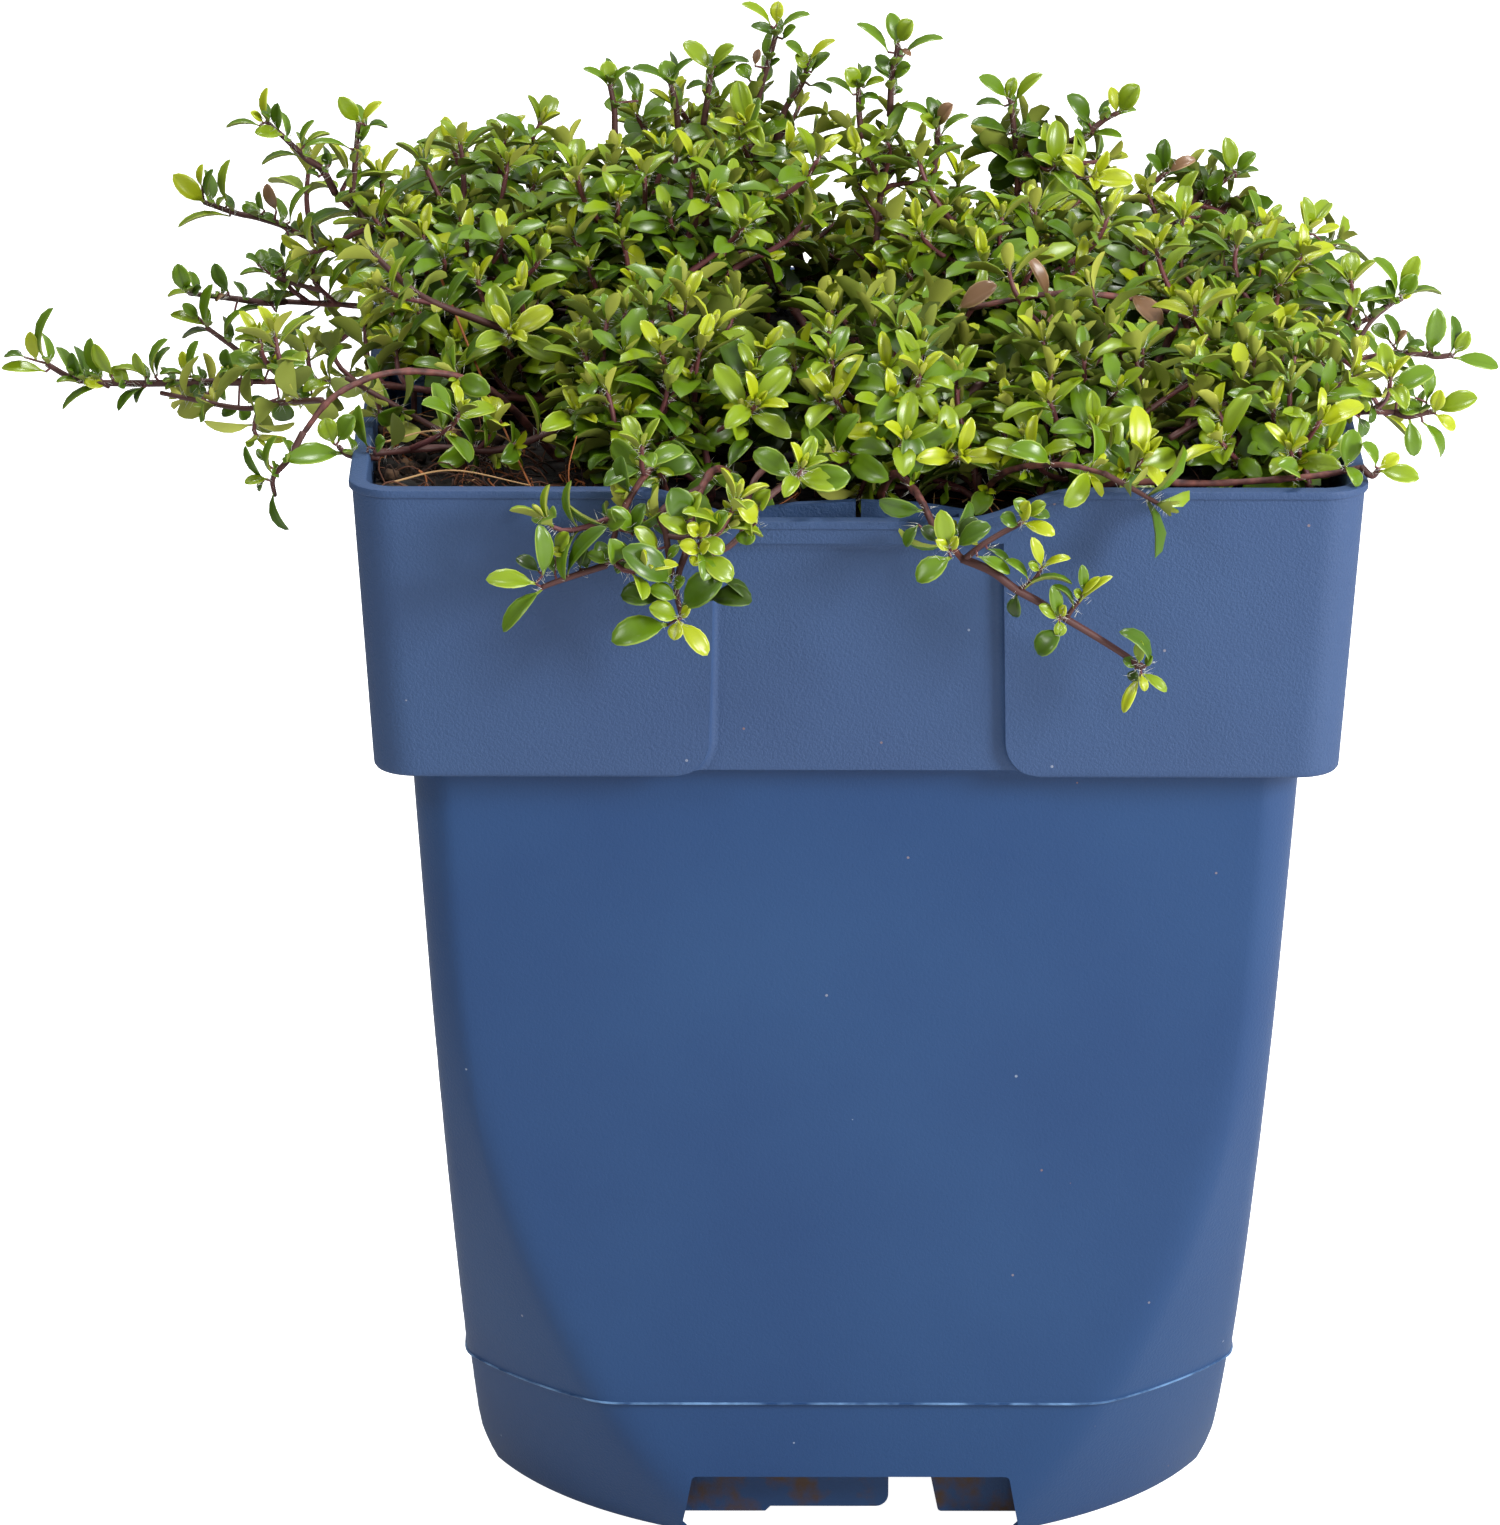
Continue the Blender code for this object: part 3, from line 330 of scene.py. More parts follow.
def soil_height(x, y):
    waves = np.sin(0.11 * x + 1.1) * np.cos(0.09 * y - 0.6) + 0.6 * np.sin(0.13 * x - 0.1 * y)
    left = 2.4 * (1 - np.cos(np.pi * np.clip((-x - 28) / 34, 0, 1))) / 2
    hollow = 1.8 * np.exp(-((x - 48) ** 2 + (y + 48) ** 2) / 500)
    return SOIL_Z + 0.45 * waves + left - hollow


def smooth_path(points, steps):
    pts = np.array(points, float)
    pts = np.vstack([2 * pts[0] - pts[1], pts, 2 * pts[-1] - pts[-2]])
    t = (np.arange(steps) / steps)[:, None]
    runs = []
    for a, b, c, d in zip(pts, pts[1:], pts[2:], pts[3:]):
        bend = (2 * a - 5 * b + 4 * c - d) * t ** 2 + (3 * b - 3 * c + d - a) * t ** 3
        runs.append(0.5 * (2 * b + (c - a) * t + bend))
    return np.vstack(runs + [pts[-2:-1]])


def length_of(path):
    return np.linalg.norm(np.diff(path, axis=0), axis=1).sum()


LIMB_PATHS = {}
for name, (points, start, end) in LIMBS.items():
    if name not in BASE_LIMBS:
        x, y = points[0][:2]
        points = [(x, y, soil_height(x, y) - 0.5)] + points[1:]
    path = smooth_path(points, 9)
    LIMB_PATHS[name] = (path, np.linspace(start, end, len(path)))

NAMES = list(MASSES)
CENTRES = np.array([MASSES[n][0] for n in NAMES], float)
RADII = np.array([MASSES[n][1] for n in NAMES], float)
WEIGHTS = RADII.mean(1) ** 2
SQUARE = np.array([2.0 if MASSES[n][2] else CUSHION_SQUARE for n in NAMES])
RADII = np.array([r if MASSES[n][2] else r * CUSHION_SPREAD for n, r in zip(NAMES, RADII)])
SEG_A = np.vstack([path[:-1:3] for path, _ in LIMB_PATHS.values()])
SEG_B = np.vstack([path[3::3] for path, _ in LIMB_PATHS.values()])
SEG_R = np.hstack([radii[:-1:3] for _, radii in LIMB_PATHS.values()])


def depth_in(k, points):
    """0 at the middle of a mass, 1 on its outside."""
    return (abs((points - CENTRES[k]) / RADII[k]) ** SQUARE[k]).sum(-1) ** (1 / SQUARE[k])


def in_own_space(k, points):
    inside = depth_in(k, points) < REACH
    power = ((points[:, None] - CENTRES) ** 2).sum(2) - WEIGHTS
    apart = np.linalg.norm(CENTRES - CENTRES[k], axis=1)
    beyond = power - power[:, k:k + 1] + 2 * LEAF_SPILL * apart
    return inside & (beyond >= 0).all(1)


def clear_of_pot(points, room=0.0):
    x, y, z = points.T
    reach = np.maximum(abs(x), abs(y))
    over_rim = z > POT_HEIGHT + 0.3 + room
    pocket = (reach > POCKET_BACK) & (np.minimum(abs(x), abs(y)) < POCKET_HALF + 0.6)
    inner = np.where((reach > WALL_HALF - 0.4) | pocket, over_rim, z > soil_height(x, y) + 0.3 + room)
    return np.where(reach > RIM_HALF + 0.4 + room, True, inner)


def clear_of_limbs(points, margin):
    along = SEG_B - SEG_A
    share = np.clip(((points[:, None] - SEG_A) * along).sum(2) / (along ** 2).sum(1), 0, 1)
    near = SEG_A + share[..., None] * along
    return (np.linalg.norm(points[:, None] - near, axis=2) - SEG_R).min(1) > margin


print("own spaces for", len(NAMES), "masses and", len(SEG_A), "stretches of limb")

# %% [markdown]
# A thyme leaf is a small oval blade on a short stalk, folded a little along its midrib and curved back at its
# tip. Each half of the blade bulges, so the midrib lies in a groove. It has a thin pale margin, whose pale colour
# is also a painted highlight for the light that the rim catches, and a paler underside. It is one closed
# template, worked out for all leaves at once: rows across the blade, each with its points on top and one under
# the midrib. Leaves that stand singly use the best template, the crown's outer leaves a lighter one, and those
# deep inside, which hardly show, the lightest.

# %% Leaf templates
LEAF_THICK = 0.26
BEST_ROWS = ((0, 0.13), (0.12, 0.2), (0.26, 0.62), (0.44, 0.94), (0.62, 1), (0.79, 0.84), (0.93, 0.48))
FINE_ROWS = ((0, 0.13), (0.12, 0.2), (0.32, 0.74), (0.56, 1), (0.79, 0.84), (0.94, 0.44))
PLAIN_ROWS = ((0, 0.13), (0.3, 0.68), (0.6, 1), (0.88, 0.64))
HALF_ACROSS = {
    "best": ((1, 0.94, 0), (0.88, 0.97, 0.2), (0.5, 0.5, 1.5)),
    "fine": ((1, 0.94, 0), (0.52, 0.5, 1.5)),
    "plain": ((1, 1, 0),),
}
BLADE, MARGIN_AND_RIM_HIGHLIGHT, UNDERSIDE = 0, 1, 2


def leaf_template(rows, half_across):
    """Each corner's share along, half width, place across, lift and drop, with the triangles and their part."""
    corners, triangles, parts = [], [], []
    left = [(-u, lift, puff) for u, lift, puff in half_across]
    across = left + [(0, 0, 0)] + list(half_across)[::-1]
    wide = len(across)
    for share, half in rows:
        corners += [(share, half, u, lift, -puff * half) for u, lift, puff in across]
        corners.append((share, half, 0, 0, 0.35 + 0.65 * half))
    tip = len(corners)
    corners.append((1.0, 0.0, 0, 0, 0.0))
    row = wide + 1
    for k in range(len(rows)):
        last = k == len(rows) - 1
        for j in range(wide - 1):
            a, b = k * row + j, k * row + j + 1
            # Edge strips and the stalk row take the pale margin finish, which is partly a painted rim highlight.
            part = MARGIN_AND_RIM_HIGHLIGHT if wide > 5 and (k == 0 or j in (0, wide - 2)) else BLADE
            if last:
                triangles.append((a, tip, b))
                parts.append(part)
            else:
                triangles += [(a, a + row, b + row), (a, b + row, b)]
                parts += [part, part]
        under = k * row + wide
        for a, b in ((k * row, under), (under, k * row + wide - 1)):
            if last:
                triangles.append((a, b, tip))
                parts.append(UNDERSIDE)
            else:
                triangles += [(a, b, b + row), (a, b + row, a + row)]
                parts += [UNDERSIDE, UNDERSIDE]
    for j in range(wide - 1):
        triangles.append((wide, j, j + 1))
        parts.append(UNDERSIDE)
    rim = [k * row + j for k in range(len(rows)) for j in (0, wide - 1)] + [tip]
    return np.array(corners), np.array(triangles), np.array(parts), rim


TEMPLATES = {
    "best": leaf_template(BEST_ROWS, HALF_ACROSS["best"]),
    "fine": leaf_template(FINE_ROWS, HALF_ACROSS["fine"]),
    "plain": leaf_template(PLAIN_ROWS, HALF_ACROSS["plain"]),
}


def leaf_corners(leaves, kind):
    """Corners of all the leaves: one row of leaves is root, along, across, up, length, width, bend, fold, sway."""
    share, half, u, lift, drop = TEMPLATES[kind][0].T[:, None, :, None]
    root, along, across, up = (leaves[:, i:i + 3][:, None] for i in (0, 3, 6, 9))
    long, wide, bend, fold, sway = (leaves[:, i][:, None, None] for i in range(12, 17))
    bend = np.where(abs(bend) < 0.02, 0.02, bend)
    angle = bend * share
    normal = up * np.cos(angle) + along * np.sin(angle)
    spot = root + along * long * np.sin(angle) / bend + up * long * (np.cos(angle) - 1) / bend
    spot = spot + across * (u * half * wide / 2 * np.cos(fold) + long * sway * share ** 2)
    return spot + normal * (lift * half * wide / 2 * np.sin(fold) - drop * LEAF_THICK)


print("triangles a leaf:", {kind: len(template[1]) for kind, template in TEMPLATES.items()})

# %% [markdown]
# Everything thin and green or brown is collected in heaps of corners and triangles, and one heap becomes one
# mesh. A stem is a row of rings with a blunt point at each end.

# %% Heaps and stems
class Heap:
    """Corners, triangles and materials that will be one joined mesh."""

    def __init__(self):
        self.corners, self.triangles, self.looks, self.sharp, self.count = [], [], [], [], 0

    def add(self, corners, triangles, looks, rim=None):
        self.corners.append(corners)
        self.triangles.append(triangles + self.count)
        self.looks.append(np.broadcast_to(looks, len(triangles)))
        rims = np.zeros(len(corners), bool)
        if rim is not None:
            rims[rim] = True
        self.sharp.append(rims)
        self.count += len(corners)


def joined(name, heap, materials, node_names):
    """One object from a heap: smooth, with sharp edges where both corners lie on a rim."""
    corners = np.vstack(heap.corners) * MM
    triangles = np.vstack(heap.triangles)
    mesh = bpy.data.meshes.new(name)
    mesh.vertices.add(len(corners))
    mesh.vertices.foreach_set("co", corners.ravel())
    mesh.loops.add(triangles.size)
    mesh.loops.foreach_set("vertex_index", triangles.ravel().astype(np.int32))
    mesh.polygons.add(len(triangles))
    mesh.polygons.foreach_set("loop_start", np.arange(0, triangles.size, 3, dtype=np.int32))
    mesh.polygons.foreach_set("material_index", np.hstack(heap.looks).astype(np.int32))
    mesh.update(calc_edges=True)
    rims = np.hstack(heap.sharp)
    if rims.any():
        ends = np.empty(len(mesh.edges) * 2, np.int32)
        mesh.edges.foreach_get("vertices", ends)
        hard = rims[ends.reshape(-1, 2)].all(1)
        mesh.attributes.new("sharp_edge", "BOOLEAN", "EDGE").data.foreach_set("value", hard)
    for material in materials:
        mesh.materials.append(material)
    piece = bpy.data.objects.new(name, mesh)
    bpy.context.scene.collection.objects.link(piece)
    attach(piece, "root")
    if node_names:
        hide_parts(*node_names)
    PIECES[name] = len(triangles)
    return piece


def stem_rings(path, radii, sides, relief=None):
    ahead = unit(np.gradient(path, axis=0))
    across = np.zeros_like(ahead)
    across[0] = unit(np.cross(ahead[0], (0.31, 0.52, 0.79)))
    for i in range(1, len(path)):
        across[i] = unit(across[i - 1] - ahead[i] * (across[i - 1] @ ahead[i]))
    other = np.cross(ahead, across)
    turn = np.arange(sides) * 2 * np.pi / sides
    out = np.cos(turn)[:, None] * across[:, None] + np.sin(turn)[:, None] * other[:, None]
    reach = np.repeat(np.asarray(radii, float)[:, None], sides, 1)
    if relief is not None:
        reach = reach * relief
    rings = (path[:, None] + out * reach[..., None]).reshape(-1, 3)
    ends = [path[0] - ahead[0] * radii[0] * 0.4, path[-1] + ahead[-1] * radii[-1] * 0.6]
    i, j = np.meshgrid(np.arange(len(path) - 1), np.arange(sides), indexing="ij")
    a = (i * sides + j).ravel()
    b = (i * sides + (j + 1) % sides).ravel()
    quads = np.vstack([np.c_[a, b, b + sides], np.c_[a, b + sides, a + sides]])
    foot, tip, top = len(rings), len(rings) + 1, len(rings) - sides
    j = np.arange(sides)
    k = (j + 1) % sides
    caps = np.vstack([np.c_[np.full(sides, foot), k, j], np.c_[np.full(sides, tip), top + j, top + k]])
    return np.vstack([rings, ends]), np.vstack([quads, caps])


PIECES = {}
print("heaps ready")

# %% [markdown]
# The shoots that stand clear of the crown are placed one by one, because they make its outline: for each mass
# that a limb feeds, the points that its main stem runs through, and then the tips of its side shoots. The other
# shoots come by rule.

# %% Shoots that make the outline
SHOOTS = {
    "mass_top_a": (
        [(-12.6, 17.4, 175), (-13, 20, 180)],
        [(-14.4, 11, 179), (-15.6, 22, 177), (-7, 23, 178.4), (-8.6, 12, 175), (-4, 20, 176)],
    ),
    "mass_top_b": (
        [(4.2, 9, 174), (5.6, 14, 179)],
        [(4.4, 5.6, 178), (1, 5, 176.4), (8.4, 12, 175), (0, 15, 177), (10, 8, 172)],
    ),
    "mass_right_top": (
        [(22.8, 26.6, 171), (24, 30, 174)],
        [(30.6, 31, 171), (27.7, 20, 171), (32.7, 19, 169.6), (20, 32, 171), (35, 28, 170)],
    ),
    "mass_right_up": (
        [(48.4, 26, 166), (49, 29, 167.6)],
        [(46, 31, 167), (56.2, 21, 163), (44, 20, 165), (53, 30, 164)],
    ),
    "mass_front_hop": (
        [(34.9, -69, 150.6), (38, -70, 149)],
        [],
    ),
}
EXTRA_TIPS = {
    "mass_front_a": [(-13.5, -35, 159), (-21.3, -27, 161.6), (-27.8, -22, 163), (-30.2, -37, 157.6), (-13, -55, 158)],
    "mass_front_b": [(7.8, -55, 162), (5.8, -61, 155), (12.9, -60, 152.6), (-3.7, -59, 153), (9.3, -35, 162)],
    "mass_front_c": [(22, -60, 153), (30, -58, 156), (36, -61, 152.6), (30.7, -26, 166), (20, -24, 168)],
    "mass_front_d": [(46, -57, 154), (55, -58, 153), (44, -28, 164)],
    "mass_back_a": [(-54, 26, 172), (-47, 30, 172), (-42, 28, 175)],
    "mass_back_b": [(-29, 24, 177), (-23.6, 26, 178), (-18, 25, 178)],
    "mass_back_c": [(14.9, 26, 168), (4, 30, 164)],
    "mass_back_d": [(52, 28, 160), (34, 34, 164)],
    "mass_right_back": [(62.2, 24, 161.4)],
    "mass_mid_a": [(-63.8, 0, 168.8), (-63, 5, 173.4), (-57.5, 10, 174.2), (-52.6, 14, 175.6), (-46, 8, 174)],
    "mass_mid_b": [
        (-38.2, 12, 175.9), (-36.7, -6, 176.6), (-21, 0, 176.4), (-24.4, -8, 171), (-14.6, -10, 170),
        (-4.4, 4, 176.3), (-6.1, 2, 168.4), (-5, 12, 166), (-2, 20, 163),
    ],
    "mass_mid_c": [
        (8.8, 2, 176), (5.4, 0, 168.4), (8.6, -10, 169.6), (0.1, 5, 163.5), (24.2, 0, 170), (33.7, -4, 170),
        (19.8, -3, 169.6), (14, 12, 166), (24, 12, 168),
    ],
    "mass_mid_d": [(44.2, 5, 167.4), (50.9, -5, 166.4), (59.7, -4, 165), (39.8, -12, 167.6), (56, 12, 164)],
}
PLACED_ONLY = ("left", "right", "top")
print("hand placed shoots:", sum(len(tips) + 1 for _, tips in SHOOTS.values()))

# %% [markdown]
# Leaves stand in crossed pairs. Counted from the tip of a shoot, the first pair is tiny and shut, the next is
# upright and lime green, the third spreads, and the older ones lie back and grow darker. Leaves deep inside a
# mass are dealt darker shades as well, which is painted shade. Each pair has its tilt from the stem, length,
# width, backward curve and fold, and the pairs lie further apart down the stem. A leaf that has no room is made
# smaller, or left out.

# %% Pairs of leaves
PAIR_FORMS = (
    (12, 2.3, 0.42, 0.15, 36),
    (30, 4.5, 0.44, 0.5, 32),
    (52, 6.2, 0.47, 0.8, 26),
    (64, 6.7, 0.48, 0.95, 20),
    (72, 6.5, 0.50, 1.0, 16),
    (80, 6.1, 0.51, 1.0, 13),
)
PAIR_GAPS = (0.0, 0.5, 1.2, 3.2, 4.2, 4.9, 5.4)
LIGHT_FROM = unit(np.array((-0.35, -0.45, 0.82)))
LIGHT_PULL = 0.18
LIFT = 0.22
HANGING_LIFT = 0.55
LEAF_TRIES = (1.0, 0.84, 0.68)
LIME, FRESH, MID, DEEP, DARK, PINKISH = range(6)
TUFT_CHANCE = {"left": 0.3, "right": 0.3, "top": 0.3, "front_hanging": 0.35}
TUFT_IN_CROWN = 0.42


def leaf_row(root, axis, side, tilt, long, wide, bend, fold, sway):
    along = axis * math.cos(tilt) + side * math.sin(tilt)
    along = unit(along + np.array((0, 0, LIFT + HANGING_LIFT * max(0.0, -along[2]))))
    up = np.cross(along, np.cross(axis, side))
    up = up + LIGHT_FROM * LIGHT_PULL
    up = unit(up - along * (along @ up))
    return np.hstack([root, along, np.cross(up, along), up, long, wide, bend, fold, sway])


def leaf_probes(rows, size):
    """Four points of each leaf: the middle, the tip and both sides."""
    root, along, across, up = (rows[:, i:i + 3] for i in (0, 3, 6, 9))
    long, wide, bend = (rows[:, i:i + 1] for i in (12, 13, 14))
    long, wide = long * size, wide * size
    tip = root + long * (along * np.sin(bend) / bend + up * (np.cos(bend) - 1) / bend)
    half = root + long * (along * np.sin(bend / 2) / bend + up * (np.cos(bend / 2) - 1) / bend)
    return np.stack([half, tip, half + across * wide * 0.45, half - across * wide * 0.45], 1)


def has_room(k, points):
    free = clear_of_pot(points) & clear_of_limbs(points, 0.1)
    return free if k is None else free & in_own_space(k, points)


def fitted(k, rows):
    """The rows that have room, at the largest size that has."""
    left, kept = np.ones(len(rows), bool), np.zeros(len(rows))
    for size in LEAF_TRIES:
        probes = leaf_probes(rows, size).reshape(-1, 3)
        free = has_room(k, probes).reshape(-1, 4).all(1)
        kept[left & free] = size
        left &= ~free
    rows = rows.copy()
    rows[:, 12:14] *= kept[:, None]
    return rows, kept > 0


def point_on(path, arc, distance):
    place = np.array([np.interp(distance, arc, path[:, i]) for i in range(3)])
    ahead = np.array([np.interp(distance + 0.4, arc, path[:, i]) for i in range(3)])
    behind = np.array([np.interp(distance - 0.4, arc, path[:, i]) for i in range(3)])
    return place, unit(ahead - behind)


class Shoot:
    """Leaves and leaf nodes of one shoot, collected before they are tested for room."""

    def __init__(self, k, rng, scale=1.0, free=False, tufts=TUFT_IN_CROWN):
        self.k, self.rng, self.scale, self.free, self.tufts = k, rng, scale, free, tufts
        self.rows, self.shades, self.fine, self.nodes = [], [], [], []
        self.tone = rng.normal(0, 0.42)
        self.in_view = k is None or not NAMES[k].startswith("mass_back")

    def depth(self, point):
        return 1.0 if self.k is None else float(depth_in(self.k, point))

    def leaf(self, root, axis, side, form, order, scale, fine, shade=None):
        rng = self.rng
        tilt, long, slim, bend, fold = form
        long = long * scale * self.scale * rng.uniform(0.84, 1.13)
        wide = long * slim * rng.uniform(0.9, 1.12)
        tilt = math.radians(tilt + rng.normal(0, 6))
        bend = bend + rng.normal(0, 0.16)
        bend = math.copysign(max(abs(bend), 0.05), bend)
        fold = math.radians(fold + rng.normal(0, 5))
        self.rows.append(leaf_row(root, axis, side, tilt, long, wide, bend, fold, rng.normal(0, 0.05)))
        if shade is None:
            # Leaves deep inside the mass are pushed to darker shades: this is painted shade for the crown's hollows.
            inside = max(0.0, 0.78 - self.depth(root)) * 3.2
            age = (0.0, 0.3, 1.05, 1.75, 2.2, 2.6)[min(order, 5)]
            shade = int(round(min(4, max(0, age + self.tone + inside + rng.normal(0, 0.3)))))
        self.shades.append(shade)
        self.fine.append(fine)

    def pair(self, place, axis, spin, order, radius, scale=1.0, shade=None):
        rng = self.rng
        first = unit(np.cross(axis, (0.31, 0.52, 0.79)))
        second = np.cross(axis, first)
        for half in (0, 1):
            turn = spin + math.pi * half + rng.normal(0, 0.12)
            side = first * math.cos(turn) + second * math.sin(turn)
            root = place + side * radius * 0.7
            fine = self.depth(place) > (0.62 if self.in_view else 0.85)
            self.leaf(root, axis, side, PAIR_FORMS[min(order, 5)], order, scale, fine, shade)
            if order >= 3 and rng.random() < self.tufts:
                self.tuft(root, unit(axis * 0.75 + side * 0.7), order)
            self.nodes.append((place, axis, side, radius))

    def tuft(self, root, axis, order):
        rng = self.rng
        first = unit(np.cross(axis, rng.normal(size=3)))
        for turn, form, scale in ((0, PAIR_FORMS[1], 0.62), (1, PAIR_FORMS[1], 0.62), (2, PAIR_FORMS[0], 0.8)):
            side = first if turn == 0 else -first if turn == 1 else np.cross(axis, first)
            shift = root + axis * 0.3 * turn
            self.leaf(shift, axis, side, form, 1 + (order > 4), scale * rng.uniform(0.8, 1.25), False)

    def done(self, zone):
        if not self.rows:
            return
        rows, kept = fitted(None if self.free else self.k, np.array(self.rows))
        for row, shade, fine, ok in zip(rows, self.shades, self.fine, kept):
            if ok:
                zone["fine" if fine else "plain"].append(np.append(row, shade))
        zone["nodes"] += self.nodes


def dress_shoot(k, path, radii, rng, zone, whole=True, sparse=0.0, shade=None, scale=1.0, free=False,
                tufts=TUFT_IN_CROWN):
    """Pairs of leaves from the tip of a stem back to its foot."""
    arc = np.hstack([0, np.cumsum(np.linalg.norm(np.diff(path, axis=0), axis=1))])
    shoot = Shoot(k, rng, scale, free, tufts)
    spin = rng.uniform(0, math.pi)
    behind, order = 0.0, 0 if whole else 4
    if not whole:
        behind = rng.uniform(2, 5)
    while behind < arc[-1] - 1.2:
        at = arc[-1] - behind
        place, axis = point_on(path, arc, at)
        radius = float(np.interp(at, arc, radii))
        if order < 3 or rng.random() > sparse:
            shoot.pair(place, axis, spin, order, radius, shade=shade)
        spin += math.pi / 2
        order += 1
        loose = 1.2 if k is None or SQUARE[k] == 2 else 1.0
        behind += PAIR_GAPS[min(order, 6)] * rng.uniform(0.66, 1.02) * loose * scale
    shoot.done(zone)


print("pair forms:", len(PAIR_FORMS))

# %% [markdown]
# One mass grows like this. Its stem goes on from the tip of its limb, or rises from the compost. Tips are spread
# over the outside of its space, a few millimetres apart, with some more inside. Then, from the nearest tip to the
# furthest, each is joined to the nearest twig by a curve that leaves along it and arrives outward and upward.

# %% Growth of one mass
LEAF_ROOM = 4.6
TIP_SPACING = {"front": 5.4, "middle": 5.4, "back": 5.8, "top": 8.5, "back_hanging": 7.0}
LOOSE_SPACING = 10.0
LEAF_SCALE = {"front": 1.1, "front_hanging": 1.16, "left": 0.9, "right": 0.98, "back": 0.95, "top": 0.95}
INNER_LAYERS = ((0.74, 6.4), (0.48, 7.4))
FEET_SPACING = 10.0
OUTSIDE = 0.98
TWIG_TIP = 0.3
TWIG_GAIN = 0.016
TWIG_MAX = 0.6
MIN_SHOOT = 15.0


def spread_points(k, rng, depth, spacing, taken, outward, lean):
    """Points on the mass's outside, no nearer to each other than the spacing."""
    heads = unit(rng.normal(size=(1600, 3)))
    heads = heads[heads @ outward > lean]
    heads = heads / ((abs(heads) ** SQUARE[k]).sum(1) ** (1 / SQUARE[k]))[:, None]
    uneven = depth * rng.uniform(0.84, 1.03, (len(heads), 1))
    places = CENTRES[k] + heads * np.maximum(RADII[k] - LEAF_ROOM, 1.2) * uneven
    room = in_own_space(k, places) & clear_of_pot(places, 2.0) & clear_of_limbs(places, 1.2)
    found = []
    for place in places[room]:
        near = taken + found
        if not near or np.linalg.norm(np.array(near) - place, axis=1).min() > spacing * rng.uniform(0.88, 1.25):
            found.append(place)
    return found


def feet_of(k, rng, start):
    """Where further stems of a cushion rise from the compost."""
    found = [start]
    for _ in range(60):
        spot = CENTRES[k, :2] + rng.uniform(-0.8, 0.8, 2) * RADII[k, :2]
        spot = np.clip(spot, -58, 58)
        foot = np.array([*spot, soil_height(*spot) - 0.4])
        over = foot + (0, 0, 6)
        if np.linalg.norm(np.array(found) - foot, axis=1).min() < FEET_SPACING or not has_room(k, over[None])[0]:
            continue
        found.append(foot)
    return found[1:]


def curve_between(place, leave, tip, arrive):
    far = np.linalg.norm(tip - place)
    a, b = place + leave * far * 0.36, tip - arrive * far * 0.4
    t = np.linspace(0, 1, max(5, int(far / 1.2)))[:, None]
    return place * (1 - t) ** 3 + 3 * a * t * (1 - t) ** 2 + 3 * b * t ** 2 * (1 - t) + tip * t ** 3


def twig_radii(path, thickest):
    arc = np.hstack([0, np.cumsum(np.linalg.norm(np.diff(path, axis=0), axis=1))])
    return np.minimum(thickest, TWIG_TIP + TWIG_GAIN * (arc[-1] - arc))


